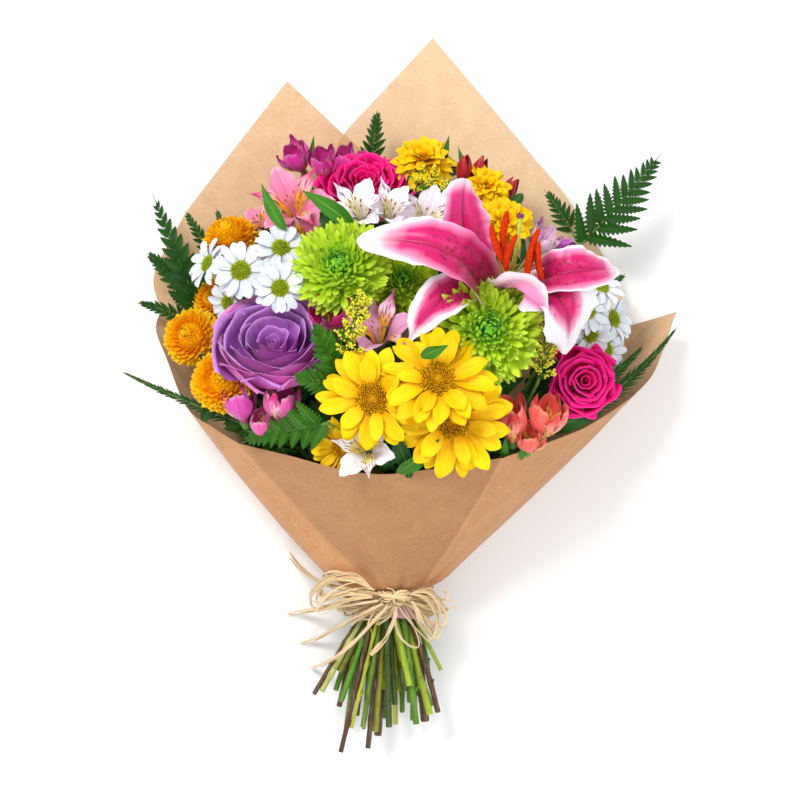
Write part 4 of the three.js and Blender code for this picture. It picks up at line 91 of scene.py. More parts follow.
"fern_right":{"kind":"fern","r":1.5,"stem":[[11.2,-209.6,16.1],[5.7,-185.7,20.4],[3.4,-167.2,24.2],[4.2,-156.6,26.2],[9.9,-139.1,26.5],[37.5,-86.3,30.7],[70.4,-18.2,37.6],[108.4,65.2,44.9],[129.1,103.5,50.0],[134.5,109.2,51.6]],"ped":[[[129.1,103.5,50.0],[127.3,107.0,48.6],[125.5,110.3,47.4],[123.7,113.9,46.0],[120.5,118.8,47.4]]],"heads":[],"fronds":[{"a":[129.1,103.5,50.0],"m":[155.8,132.4,58.0],"b":[187.6,169.9,50.0],"w":15.4},{"a":[123.7,113.9,46.0],"m":[114.7,128.0,50.0],"b":[104.2,144.4,44.0],"w":5.6}]},
"fern_right_mid":{"kind":"fern","r":1.3,"stem":[[16.9,-237.4,17.0],[14.8,-200.4,22.4],[11.4,-171.6,26.1],[9.2,-155.2,27.8],[12.3,-137.3,29.3],[39.0,-93.6,34.7],[72.7,-37.9,41.6],[110.7,30.5,49.1],[133.1,61.4,54.0],[139.4,66.1,55.8]],"ped":[],"heads":[],"fronds":[{"a":[133.1,61.4,54.0],"m":[147.2,72.0,58.0],"b":[161.4,83.2,52.0],"w":4.2}]},
"fern_right_low":{"kind":"fern","r":1.4,"stem":[[22.1,-218.5,38.5],[17.6,-189.4,40.5],[12.3,-166.8,41.1],[10.1,-154.3,41.0],[12.1,-136.4,42.6],[34.3,-110.6,54.9],[62.4,-77.7,70.3],[92.2,-37.9,92.2],[112.7,-18.9,98.0],[119.7,-15.4,96.4]],"ped":[[[112.7,-18.9,98.0],[117.2,-14.6,96.0],[121.4,-10.6,94.0],[125.8,-6.3,92.0],[130.7,-2.9,90.8]]],"heads":[],"fronds":[{"a":[112.7,-18.9,98.0],"m":[155.8,2.9,88.0],"b":[197.9,44.7,60.0],"w":7.0},{"a":[125.8,-6.3,92.0],"m":[150.3,10.7,86.0],"b":[172.9,30.9,66.0],"w":5.6}]},
"fern_front_left":{"kind":"fern","r":1.4,"stem":[[-43.4,-261.0,54.9],[-32.3,-213.4,53.4],[-23.7,-176.4,52.2],[-18.8,-155.2,51.6],[-19.5,-137.3,54.9],[-25.8,-112.4,75.8],[-33.9,-80.7,102.5],[-37.3,-37.9,140.7],[-48.3,-24.0,150.0],[-55.5,-25.1,146.8]],"ped":[],"heads":[],"fronds":[{"a":[-48.3,-24.0,150.0],"m":[-80.2,-28.9,136.0],"b":[-111.3,-37.6,112.0],"w":11.2}]},
"fern_centre":{"kind":"fern","r":1.4,"stem":[[-35.8,-243.7,55.6],[-26.3,-203.9,53.9],[-19.0,-172.9,52.5],[-15.1,-155.2,51.7],[-15.8,-137.3,55.3],[-20.8,-106.5,78.9],[-27.2,-67.2,108.7],[-32.6,-21.7,143.9],[-38.5,3.1,162.0],[-41.5,9.3,166.1]],"ped":[[[-38.5,3.1,162.0],[-39.8,3.1,162.7],[-41.1,3.1,163.3],[-42.5,3.0,164.0],[-48.2,4.1,165.6]]],"heads":[],"fronds":[{"a":[-38.5,3.1,162.0],"m":[-48.8,24.3,176.0],"b":[-59.3,42.2,180.0],"w":9.8},{"a":[-42.5,3.0,164.0],"m":[-57.1,5.7,168.0],"b":[-71.9,7.1,166.0],"w":7.7}]}},
"front":[[-103.4,44.4,0.3,262],[-145.5,50.2,3.5,248],[-177.7,57.2,15.0,232],[-179.7,43.6,24.0,216],[-170.2,21.4,38.0,200],[-153.6,-12.7,60.0,182],[-131.8,-27.5,82.0,142],[-112.1,-37.8,100.0,102],[-76.5,-46.2,128.0,94],[-38.9,-55.3,146.0,87],[-11.6,-57.8,152.0,81],[15.5,-55.1,152.0,74],[46.8,-51.2,146.0,66],[69.6,-46.7,137.0,57],[94.5,-39.5,122.0,46],[123.3,-29.4,98.0,35],[140.6,-21.1,84.0,26],[160.0,-9.1,66.0,16],[179.2,8.1,54.0,6],[189.7,29.2,44.0,-6],[199.9,56.3,38.0,-20],[182.7,51.0,22.0,-36],[162.4,45.5,12.0,-50],[125.4,36.8,3.0,-68],[81.0,29.5,0.3,-85]],"left":[[21.5,122.4,0.9,-75],[-4.5,152.1,0.9,-80],[-29.8,176.7,0.8,-85],[-40.2,187.1,0.8,-88],[-60.3,206.4,0.6,-92],[-84.8,229.5,0.3,-98],[-123.4,179.5,2.0,-110],[-159.1,131.4,9.0,-120],[-180.9,86.4,20.0,-132],[-178.5,62.8,22.0,-136]],"right":[[-75.1,140.8,2.7,-105],[-50.6,176.5,2.5,-98],[-40.2,192.8,2.4,-96],[-8.2,227.0,2.0,-92],[23.7,261.3,1.6,-86],[59.3,218.7,3.0,-78],[94.7,176.0,7.0,-70],[121.1,143.0,12.0,-62],[146.4,102.7,18.0,-55],[159.2,78.2,22.0,-50],[162.1,66.4,23.0,-47],[163.4,45.1,24.0,-42]],"fold":{"x":-11.0,"y":-125.6,"w":51.0,"front":13.8,"back":2.9,"up":38,"down":35.7},
"raf":{"knot":[-5.1,-147.3,72.2],"tails":{"raffia_tail_1":[[-16.4,-145.8,76.5],[-26.3,-144.3,78.0],[-42.1,-141.6,72.0],[-60.1,-138.0,46.0],[-74.4,-129.9,18.0],[-82.4,-121.2,4.0]],"raffia_tail_2":[[-16.4,-150.6,74.5],[-30.7,-153.0,72.0],[-47.0,-157.1,50.0],[-62.4,-160.9,24.0],[-74.9,-164.0,7.0],[-84.0,-166.6,2.6]],"raffia_tail_3":[[-12.9,-152.8,74.5],[-26.5,-160.2,71.0],[-42.0,-169.6,48.0],[-56.7,-179.7,20.0],[-67.5,-185.7,5.0],[-75.1,-188.2,2.6]],"raffia_tail_4":[[-9.3,-154.1,76.0],[-19.3,-165.3,77.0],[-32.1,-178.2,76.0],[-45.2,-190.4,62.0],[-57.9,-200.8,28.0],[-66.1,-206.7,2.6]],"raffia_tail_5":[[-2.9,-154.9,75.0],[-5.1,-164.1,75.0],[-10.8,-175.7,73.0],[-21.5,-189.4,71.0]]},
"loops":{"raffia_loop_left":[[-19.3,-142.6,77.0],[-31.9,-135.1,82.0],[-49.2,-138.6,74.0],[-61.1,-149.8,60.0],[-56.8,-156.9,60.0],[-37.7,-148.4,76.0],[-20.7,-147.4,79.0]],"raffia_loop_right":[[6.3,-145.5,76.0],[19.1,-141.6,72.0],[30.8,-150.1,56.0],[32.4,-160.6,52.0],[19.3,-159.6,62.0],[7.7,-151.2,76.0]]}},
"WC":[-9.536000000000001,-146.01999999999998,36.0],"tone":{"daisy_yellow_left":"dark","daisy_yellow_front":"thick","fern_centre":"yellow","daisy_yellow_centre":"lime","fern_front_left":"redbrown","alstroemeria_white_low":"dark","solidago_centre":"green","daisy_yellow_low":"thick","solidago_right":"lime","alstroemeria_lilac":"lime","spider_mum_right":"lime","fern_left_rim":"brown","alstroemeria_magenta_mid":"redbrown","alstroemeria_pink_low":"pale","rose_lavender":"olive","alstroemeria_coral":"redbrown","spider_mum_back":"dark","spider_mum_left":"yellow","lily_stargazer":"brown","rose_magenta_top":"brown","rose_magenta_right":"green","daisy_yellow_top":"lime","daisy_yellow_back":"lime","daisy_yellow_side":"lime","button_mum_top":"brown","button_mum_left":"brown","button_mum_low":"thick","button_mum_back":"green","white_daisy_left_a":"green","white_daisy_left_b":"dark","white_daisy_right_a":"green","white_daisy_right_b":"thick","alstroemeria_pink":"green","alstroemeria_magenta_top":"dark","alstroemeria_white_left":"lime","alstroemeria_white_right":"yellow","alstroemeria_magenta_low":"yellow","alstroemeria_purple_back":"green","alstroemeria_red_buds":"green","solidago_top":"green","fern_left_upper":"green","fern_left_low":"olive","fern_left_back":"thick","fern_top":"green","fern_right":"green","fern_right_mid":"yellow","fern_right_low":"thick"},
"leaves":{"alstroemeria_pink":[{"a":[-79.7,110.0,118.0],"b":[-101.0,136.3,110.0],"w":4.6,"form":"lance","bright":true,"up":[0,-0.1,1]}],"rose_magenta_top":[{"a":[-33.0,111.7,132.0],"b":[-62.9,138.4,140.0],"w":6.2,"form":"lance","bright":true,"up":[0,-0.1,1]}],"daisy_yellow_centre":[{"a":[13.1,20.7,190.0],"b":[29.5,29.8,196.0],"w":4.6,"form":"lance","bright":true,"up":[0,-0.3,0.9]}],"daisy_yellow_front":[{"a":[5.3,-60.6,150.0],"b":[1.9,-27.8,170.0],"w":6.5,"form":"rose","bright":false,"up":[-0.2,-0.3,0.9]},{"a":[-2.8,-57.8,152.0],"b":[21.9,-30.4,172.0],"w":6.0,"form":"lance","bright":true,"up":[0.3,-0.3,0.9]},{"a":[-11.7,-55.3,146.0],"b":[-6.2,-32.0,160.0],"w":5.0,"form":"rose","bright":false,"up":[0.1,-0.3,0.9]}],"alstroemeria_coral":[{"a":[70.0,-51.7,128.0],"b":[72.9,-30.9,140.0],"w":2.7,"form":"lance","bright":true,"up":[0,-0.4,0.9]},{"a":[82.5,-49.0,126.0],"b":[83.9,-33.7,138.0],"w":2.3,"form":"lance","bright":true,"up":[0,-0.4,0.9]},{"a":[107.3,-27.1,116.0],"b":[102.6,-3.6,124.0],"w":3.2,"form":"rose","bright":false,"up":[0,-0.3,0.9]},{"a":[69.4,-44.2,96.0],"b":[60.5,2.1,108.0],"w":8,"form":"rose","bright":false,"up":[0,-0.1,1]}],"alstroemeria_pink_low":[{"a":[-97.4,-2.1,100.0],"b":[-101.6,21.1,132.0],"w":2.4,"form":"lance","bright":false,"up":[0,-0.3,0.9]},{"a":[-66.1,-6.3,112.0],"b":[-95.7,10.2,128.0],"w":5.0,"form":"rose","bright":false,"up":[0,-0.3,0.9]}],"button_mum_low":[{"a":[-115.7,-10.5,98.0],"b":[-133.5,27.2,104.0],"w":7.5,"form":"rose","bright":false,"up":[0,-0.1,1]}],"button_mum_left":[{"a":[-116.5,-4.9,88.0],"b":[-116.0,30.2,94.0],"w":7,"form":"rose","bright":false,"up":[0,-0.1,1]}],"rose_magenta_right":[{"a":[97.7,-40.1,92.0],"b":[83.2,-2.1,100.0],"w":8,"form":"rose","bright":false,"up":[0,-0.1,1]},{"a":[98.8,-30.9,96.0],"b":[136.7,-11.9,96.0],"w":6.5,"form":"rose","bright":false,"up":[0,-0.1,1]},{"a":[90.7,-28.8,92.0],"b":[113.2,-4.9,92.0],"w":6.5,"form":"rose","bright":false,"up":[0,-0.1,1]},{"a":[106.3,-24.6,90.0],"b":[148.3,5.0,92.0],"w":5.0,"form":"rose","bright":false,"up":[0,-0.1,1]}],"daisy_yellow_left":[{"a":[-49.5,-35.5,110.0],"b":[-57.6,-6.3,118.0],"w":7,"form":"rose","bright":false,"up":[0,-0.1,1]}],"alstroemeria_magenta_top":[{"a":[-65.8,165.6,50.0],"b":[-62.2,182.2,50.0],"w":1.7,"form":"lance","bright":false,"up":[0,-0.3,0.9]},{"a":[-57.1,164.1,50.0],"b":[-49.2,177.1,50.0],"w":1.6,"form":"lance","bright":false,"up":[0,-0.3,0.9]},{"a":[-35.5,159.8,50.0],"b":[-41.9,174.9,50.0],"w":1.5,"form":"lance","bright":false,"up":[0,-0.3,0.9]}],"alstroemeria_red_buds":[{"a":[30.7,161.0,66.0],"b":[32.8,180.5,64.0],"w":2.2,"form":"lance","bright":false,"up":[0,-0.3,0.9]},{"a":[43.5,155.3,66.0],"b":[43.6,172.9,62.0],"w":1.8,"form":"lance","bright":false,"up":[0,-0.3,0.9]},{"a":[53.7,148.5,62.0],"b":[58.1,167.6,58.0],"w":2.0,"form":"lance","bright":false,"up":[0,-0.3,0.9]},{"a":[62.4,141.7,58.0],"b":[68.2,158.4,56.0],"w":2.0,"form":"lance","bright":false,"up":[0,-0.3,0.9]},{"a":[79.6,120.0,60.0],"b":[81.8,131.7,58.0],"w":1.8,"form":"lance","bright":false,"up":[0,-0.3,0.9]}]}}''')
S, RAF, FOLD, TIE = D["S"], D["raf"], D["fold"], np.array([D["WC"][0], D["WC"][1], 36.0])
GOLD = 2.399963229728653

# ------------------------------------------------------------------ camera and light
CAM_X, CAM_Y, CAM_Z = -0.80, -7.70, 1700.0
cam = bpy.data.objects.new("camera", bpy.data.cameras.new("camera"))
cam.data.sensor_width = 36.0
cam.data.lens = 36.0 / (2 * 280 / 1600)
cam.location = (CAM_X * MM, CAM_Y * MM, CAM_Z * MM)
cam.data.clip_end = 20
bpy.context.scene.collection.objects.link(cam)
bpy.context.scene.camera = cam
bpy.context.scene.view_settings.view_transform = "Standard"


def lamp(name, at, aim, size, power, color=(1, 1, 1)):
    d = bpy.data.lights.new(name, "AREA")
    d.shape = "DISK"
    d.size = size
    d.energy = power
    d.color = color
    o = bpy.data.objects.new(name, d)
    o.location = at
    o.rotation_euler = (Vector(aim) - Vector(at)).to_track_quat("-Z", "Y").to_euler()
    bpy.context.scene.collection.objects.link(o)
    return o


lamp("key", (-0.60, 0.75, 1.55), (0, 0, 0.08), 0.6, 20, (1, 0.985, 0.96))
lamp("fill", (1.0, 0.1, 1.4), (0, 0, 0.08), 1.4, 9, (0.98, 0.99, 1))
lamp("front", (-0.1, -1.2, 1.1), (0, 0, 0.08), 1.4, 6.5, (1, 1, 1))
world = bpy.data.worlds.new("studio")
bpy.context.scene.world = world
world.use_nodes = True
world.node_tree.nodes["Background"].inputs[0].default_value = (0.97, 0.985, 1, 1)
world.node_tree.nodes["Background"].inputs[1].default_value = 0.60


# ------------------------------------------------------------------ node materials
class Mat:
    def __init__(s, name, rough=0.5, spec=0.35, sheen=0.0, sss=0.0, coat=0.0):
        s.m = bpy.data.materials.new(name)
        s.m.use_nodes = True
        s.nt = s.m.node_tree
        s.nt.nodes.clear()
        s.o = s.nt.nodes.new("ShaderNodeOutputMaterial")
        s.b = s.nt.nodes.new("ShaderNodeBsdfPrincipled")
        s.nt.links.new(s.b.outputs[0], s.o.inputs[0])
        s.set("Roughness", rough)
        s.set("Specular IOR Level", spec)
        if sheen:
            s.set("Sheen Weight", sheen)
            s.set("Sheen Roughness", 0.5)
        if sss:
            s.set("Subsurface Weight", sss)
            s.set("Subsurface Scale", 0.004)
            s.set("Subsurface Radius", (1.0, 0.7, 0.4))
        if coat:
            s.set("Coat Weight", coat)
            s.set("Coat Roughness", 0.25)
        s._pt = s._co = None

    def set(s, key, v):
        s.b.inputs[key].default_value = v

    def n(s, kind, **kw):
        x = s.nt.nodes.new("ShaderNode" + kind)
        for k, v in kw.items():
            setattr(x, k, v)
        return x

    def put(s, sock, v):
        if isinstance(v, bpy.types.NodeSocket):
            s.nt.links.new(v, sock)
        elif hasattr(v, "__len__") and len(v) == 3 and sock.type == "RGBA":
            sock.default_value = (*v, 1)
        else:
            sock.default_value = v

    def link(s, out, key):
        s.nt.links.new(out, s.b.inputs[key])
        return s

    def attr(s, name):
        a = s.n("Attribute", attribute_name=name)
        return a

    def pt(s, k):                       # 0 across (-1..1), 1 along (0..1), 2 a random number for the petal
        if s._pt is None:
            sep = s.n("SeparateXYZ")
            s.put(sep.inputs[0], s.attr("pt").outputs["Vector"])
            s._pt = sep
        return s._pt.outputs[k]

    def obj(s):
        if s._co is None:
            s._co = s.n("TexCoord").outputs["Object"]
        return s._co

    def noise(s, scale, detail=3, rough=0.5, vec=None, stretch=None, dist=0.0):
        x = s.n("TexNoise")
        v = vec or s.obj()
        if stretch:
            m = s.n("Mapping")
            m.inputs["Scale"].default_value = stretch
            s.put(m.inputs["Vector"], v)
            v = m.outputs[0]
        s.put(x.inputs["Vector"], v)
        x.inputs["Scale"].default_value = scale
        x.inputs["Detail"].default_value = detail
        x.inputs["Roughness"].default_value = rough
        x.inputs["Distortion"].default_value = dist
        return x.outputs[0]

    def ramp(s, fac, stops, mode="LINEAR"):
        r = s.n("ValToRGB")
        r.color_ramp.interpolation = mode
        e = r.color_ramp.elements
        while len(e) > 1:
            e.remove(e[-1])
        for i, (p, c) in enumerate(stops):
            k = e[0] if i == 0 else e.new(p)
            k.position = p
            k.color = (*c, 1) if hasattr(c, "__len__") else (c, c, c, 1)
        s.put(r.inputs[0], fac)
        return r.outputs[0]

    def mix(s, fac, a, b, mode="MIX"):
        x = s.n("Mix", data_type="RGBA", blend_type=mode)
        s.put(x.inputs[0], fac)
        s.put(x.inputs[6], a)
        s.put(x.inputs[7], b)
        return x.outputs[2]

    def math(s, op, a, b=0.0, c=None, clamp=False):
        x = s.n("Math", operation=op, use_clamp=clamp)
        s.put(x.inputs[0], a)
        s.put(x.inputs[1], b)
        if c is not None:
            s.put(x.inputs[2], c)
        return x.outputs[0]

    def rng(s, v, a, b, c=0.0, d=1.0):   # v from a..b onto c..d, clamped
        x = s.n("MapRange")
        x.inputs[1].default_value, x.inputs[2].default_value = a, b
        x.inputs[3].default_value, x.inputs[4].default_value = c, d
        s.put(x.inputs[0], v)
        return x.outputs[0]

    def vec(s, x=0.0, y=0.0, z=0.0):
        c = s.n("CombineXYZ")
        for i, v in enumerate((x, y, z)):
            s.put(c.inputs[i], v)
        return c.outputs[0]

    def bump(s, height, strength=0.3, dist=0.0005):
        b = s.n("Bump")
        b.inputs["Strength"].default_value = strength
        b.inputs["Distance"].default_value = dist
        s.put(b.inputs["Height"], height)
        s.link(b.outputs[0], "Normal")
        return s

    def base(s, c):
        s.link(c, "Base Color")
        return s


def lin(r, g, b):                        # sRGB 0..255 to linear
    return tuple(((c / 255) / 12.92 if c <= 10 else (((c / 255) + 0.055) / 1.055) ** 2.4) for c in (r, g, b))


def veins(m, along=26.0, fine=7.0, k=1.0):  # fine lines that run along a petal
    v = m.vec(m.math("MULTIPLY", m.pt(0), along * 0.5), m.math("MULTIPLY", m.pt(1), 1.4), m.math("MULTIPLY", m.pt(2), 37.0))
    return m.noise(1.0 * k, 4, 0.6, vec=v)


def petal_mat(name, stops, edge=None, edge_at=(0.75, 1.0), var=0.12, rough=0.5, spec=0.3, sheen=0.15, vein=0.25, deep=None, bump=0.35, back=None, glow=0.0):
    """stops: colour along the petal; edge: colour at its sides; deep: a darker vein colour; back: its underside."""
    m = Mat(name, rough, spec, sheen, sss=glow)
    c = m.ramp(m.pt(1), stops)
    if edge is not None:
        ax = m.math("ABSOLUTE", m.pt(0))
        c = m.mix(m.rng(ax, *edge_at), c, edge)
    v = veins(m)
    if deep is not None:
        c = m.mix(m.math("MULTIPLY", m.rng(v, 0.42, 0.72), vein), c, deep)
    blot = m.noise(90, 3)
    c = m.mix(var, c, m.ramp(blot, [(0.3, (0.55, 0.55, 0.55)), (0.7, (1.0, 1.0, 1.0))]), "MULTIPLY")
    one = m.math("MULTIPLY_ADD", m.pt(2), var * 1.6, 1 - var * 0.8)
    hsv = m.n("HueSaturation")
    m.put(hsv.inputs["Value"], one)
    m.put(hsv.inputs["Color"], c)
    c = hsv.outputs[0]
    if back is not None:
        g = m.n("NewGeometry")
        c = m.mix(g.outputs["Backfacing"], c, m.mix(0.6, c, back))
    m.base(c)
    m.link(m.math("MULTIPLY_ADD", v, 0.25, rough - 0.12), "Roughness")
    m.bump(v, bump, 0.0004)
    return m.m


Y1, Y2, Y3 = lin(255, 222, 0), lin(253, 206, 0), lin(228, 150, 0)
M_YELLOW = petal_mat("petal_yellow", [(0, lin(214, 132, 0)), (0.16, lin(246, 180, 0)), (0.40, Y2), (1, Y1)], deep=Y3, vein=0.65, var=0.12, bump=0.8, back=lin(240, 184, 0), spec=0.18, sheen=0.0)
# white daisy: the bluish grey vein colour and the bluish underside are painted shade in the grooves and under the
# petals; the greenish base is the petal's own colour
M_WHITE = petal_mat("petal_white_daisy", [(0, lin(196, 214, 168)), (0.2, lin(228, 234, 240)), (1, lin(242, 245, 250))], deep=lin(180, 194, 220), vein=0.5, var=0.06, bump=0.9, back=lin(216, 224, 236))
M_GREEN = petal_mat("petal_green_mum", [(0, lin(104, 172, 0)), (0.3, lin(168, 216, 10)), (0.65, lin(204, 234, 30)), (1, lin(226, 248, 84))], deep=lin(160, 206, 16), vein=0.3, var=0.10, bump=0.3, back=lin(190, 226, 24), glow=0.25, spec=0.2)
M_GHEART = petal_mat("petal_green_heart", [(0, lin(50, 144, 24)), (0.5, lin(96, 190, 34)), (1, lin(150, 224, 60))], var=0.10, bump=0.3, back=lin(106, 200, 40), glow=0.25, spec=0.2)
M_GMID = petal_mat("petal_green_inner", [(0, lin(80, 162, 6)), (0.4, lin(140, 210, 14)), (1, lin(196, 238, 56))], var=0.10, bump=0.3, back=lin(156, 218, 24), glow=0.25, spec=0.2)
M_ORANGE = petal_mat("petal_orange", [(0, lin(255, 140, 0)), (0.3, lin(255, 172, 0)), (0.7, lin(255, 200, 0)), (1, lin(255, 224, 60))], deep=lin(255, 172, 0), vein=0.2, var=0.03, bump=0.2, back=lin(255, 194, 0), spec=0.15, sheen=0.0, glow=0.3)
# rose petals: the ramps darken towards the petal base, painted shade deep inside the flower, and lighten in a thin band
# at the very rim, a painted highlight
M_LAV = petal_mat("petal_lavender", [(0, lin(150, 40, 146)), (0.3, lin(176, 84, 190)), (0.6, lin(196, 116, 212)), (0.93, lin(208, 138, 224)), (0.985, lin(216, 154, 232)), (1, lin(228, 186, 240))], deep=lin(172, 88, 196), vein=0.4, var=0.10, sheen=0.1, rough=0.45, back=lin(220, 92, 178), glow=0.2)
M_LAVOUT = petal_mat("petal_lavender_outer", [(0, lin(170, 40, 120)), (0.4, lin(206, 76, 166)), (0.85, lin(222, 110, 192)), (0.985, lin(228, 146, 212)), (1, lin(236, 188, 234))], deep=lin(196, 66, 166), vein=0.4, var=0.08, sheen=0.1, rough=0.45, back=lin(218, 92, 176), glow=0.2)
M_MAG = petal_mat("petal_magenta", [(0, lin(170, 0, 80)), (0.35, lin(222, 0, 108)), (0.8, lin(240, 0, 122)), (0.97, lin(246, 8, 136)), (1, lin(250, 60, 156))], deep=lin(214, 0, 104), vein=0.4, var=0.08, sheen=0.05, rough=0.5, spec=0.2, back=lin(232, 0, 136), glow=0.25)
M_MAGDEEP = petal_mat("petal_magenta_deep", [(0, lin(80, 0, 40)), (0.5, lin(150, 0, 80)), (1, lin(196, 10, 110))], deep=lin(110, 0, 56), vein=0.5, var=0.12, sheen=0.3)


def lily_mat():
    m = Mat("petal_lily", 0.38, 0.4, 0.1)
    ax = m.math("ABSOLUTE", m.pt(0))
    y = m.pt(1)
    n1 = m.noise(60, 4)
    sepx = m.n("SeparateColor")
    m.put(sepx.inputs[0], m.attr("tint").outputs["Color"])
    more = m.math("MULTIPLY", sepx.outputs[0], m.math("ADD", 0.10, m.math("MULTIPLY", m.math("MULTIPLY", y, m.math("MULTIPLY", y, y)), 2.2)))
    a = m.math("ADD", m.math("ADD", m.math("MULTIPLY", ax, sepx.outputs[1]), more), m.math("MULTIPLY_ADD", n1, 0.22, -0.11))
    pink = m.ramp(y, [(0, lin(206, 180, 120)), (0.07, lin(176, 40, 92)), (0.2, lin(176, 0, 82)), (0.6, lin(204, 0, 102)), (0.85, lin(214, 28, 124)), (1, lin(244, 170, 206))])
    soft = m.ramp(y, [(0, lin(230, 190, 180)), (0.3, lin(232, 110, 170)), (1, lin(250, 200, 224))])
    white = lin(242, 240, 244)
    c = m.mix(m.rng(a, 0.56, 0.84), pink, soft)
    c = m.mix(m.rng(a, 0.82, 0.94), c, white)
    c = m.mix(m.rng(m.math("SUBTRACT", m.math("ADD", y, m.math("MULTIPLY", n1, 0.10)), sepx.outputs[2]), 0.0, 0.17), c, white)
    v = veins(m, 30)
    c = m.mix(m.math("MULTIPLY", m.rng(v, 0.5, 0.75), m.rng(ax, 0.75, 0.3, 0.0, 0.55)), c, lin(196, 12, 100))
    rib = m.math("MULTIPLY", m.rng(ax, 0.13, 0.02), m.rng(y, 0.98, 0.75))
    c = m.mix(m.math("MULTIPLY", rib, 0.7), c, lin(168, 0, 70))
    # dark raised spots over the inner two thirds
    w = m.n("TexVoronoi", feature="F1")
    w.inputs["Scale"].default_value = 1.0
    m.put(w.inputs["Vector"], m.vec(m.math("MULTIPLY", m.pt(0), 5.2), m.math("MULTIPLY", y, 21.0), m.math("MULTIPLY", m.pt(2), 9.0)))
    spot = m.rng(w.outputs["Distance"], 0.36, 0.27)
    gate = m.math("MULTIPLY", m.rng(ax, 0.72, 0.5), m.math("MULTIPLY", m.rng(y, 0.72, 0.5), m.rng(y, 0.04, 0.12)))
    spot = m.math("MULTIPLY", spot, gate)
    c = m.mix(spot, c, lin(138, 0, 58))
    g = m.n("NewGeometry")
    back = m.mix(m.math("MULTIPLY", m.rng(v, 0.45, 0.7), 0.6), m.mix(m.rng(ax, 0.3, 0.9), lin(236, 140, 186), lin(250, 234, 242)), lin(214, 80, 146))
    c = m.mix(g.outputs["Backfacing"], c, back)
    m.base(c)
    h = m.math("ADD", m.math("MULTIPLY", v, 0.5), m.math("MULTIPLY", spot, 0.9))
    m.bump(h, 0.45, 0.0006)
    return m.m


def alstro_mat(name, outer, mid, edge, throat, dark, white=False):
    """pt z below 0: an inner, streaked petal."""
    m = Mat(name, 0.42, 0.35, 0.15)
    y, ax = m.pt(1), m.math("ABSOLUTE", m.pt(0))
    inner = m.math("LESS_THAN", m.pt(2), 0.0)
    c = m.ramp(y, [(0, mid), (0.45, outer), (0.9, outer), (1, edge)])
    ci = m.ramp(y, [(0, throat), (0.44, throat), (0.64, edge), (0.88, mid), (1, mid)])
    c = m.mix(inner, c, ci)
    c = m.mix(m.math("MULTIPLY", m.rng(ax, 0.12, 0.0), 0.5), c, mid)
    v = veins(m, 26)
    c = m.mix(m.math("MULTIPLY", m.rng(v, 0.5, 0.7), 0.35), c, mid)
    # short dark dashes along the inner petals
    w = m.n("TexVoronoi", feature="F1")
    w.inputs["Scale"].default_value = 1.0
    m.put(w.inputs["Vector"], m.vec(m.math("MULTIPLY", m.pt(0), 5.6), m.math("MULTIPLY", y, 5.0), m.math("MULTIPLY", m.pt(2), 11.0)))
    dash = m.math("MULTIPLY", m.rng(w.outputs["Distance"], 0.41, 0.31), m.math("MULTIPLY", m.math("MULTIPLY_ADD", inner, 0.85, 0.15), m.math("MULTIPLY", m.rng(y, 0.20, 0.30), m.rng(y, 0.93, 0.80))))
    c = m.mix(m.math("MULTIPLY", dash, 0.9), c, dark)
    tip = m.math("MULTIPLY", m.rng(y, 0.93, 1.0), m.rng(ax, 0.3, 0.1))
    c = m.mix(m.math("MULTIPLY", tip, 0.55), c, lin(90, 140, 40))
    blot = m.noise(80, 3)
    c = m.mix(0.12, c, m.ramp(blot, [(0.3, (0.6, 0.6, 0.6)), (0.7, (1, 1, 1))]), "MULTIPLY")
    m.base(c)
    m.bump(v, 0.4, 0.0004)
    return m.m


ALS = {
    "alstroemeria_pink": (lin(248, 142, 184), lin(228, 50, 118), lin(254, 196, 214), lin(252, 178, 34), lin(104, 0, 36)),
    "alstroemeria_magenta_top": (lin(232, 62, 172), lin(196, 24, 140), lin(244, 124, 202), lin(230, 140, 130), lin(96, 0, 60)),
    "alstroemeria_white_left": (lin(250, 244, 250), lin(226, 196, 222), lin(253, 251, 254), lin(244, 236, 190), lin(112, 20, 90)),
    "alstroemeria_white_right": (lin(248, 240, 248), lin(216, 180, 214), lin(253, 250, 254), lin(244, 236, 180), lin(112, 20, 90)),
    "alstroemeria_lilac": (lin(240, 176, 216), lin(214, 84, 160), lin(248, 216, 236), lin(250, 180, 30), lin(104, 6, 56)),
    "alstroemeria_magenta_mid": (lin(206, 20, 120), lin(150, 0, 84), lin(230, 70, 150), lin(230, 160, 80), lin(80, 0, 40)),
    "alstroemeria_magenta_low": (lin(218, 82, 178), lin(192, 32, 136), lin(240, 146, 206), lin(240, 180, 140), lin(80, 0, 60)),
    "alstroemeria_pink_low": (lin(236, 96, 176), lin(212, 34, 128), lin(248, 172, 212), lin(244, 180, 150), lin(110, 0, 50)),
    "alstroemeria_white_low": (lin(252, 248, 250), lin(228, 214, 210), lin(254, 253, 254), lin(250, 226, 110), lin(130, 30, 50)),
    "alstroemeria_coral": (lin(250, 104, 92), lin(226, 60, 64), lin(255, 156, 136), lin(252, 190, 90), lin(120, 10, 10)),
    "alstroemeria_purple_back": (lin(240, 204, 230), lin(206, 128, 196), lin(250, 230, 244), lin(236, 200, 120), lin(90, 0, 60)),
    "alstroemeria_purple_bud": (lin(188, 84, 184), lin(132, 34, 140), lin(214, 130, 208), lin(236, 200, 120), lin(80, 0, 60)),
    "alstroemeria_red_buds": (lin(170, 10, 22), lin(110, 2, 14), lin(200, 30, 40), lin(200, 140, 60), lin(60, 0, 0)),
}


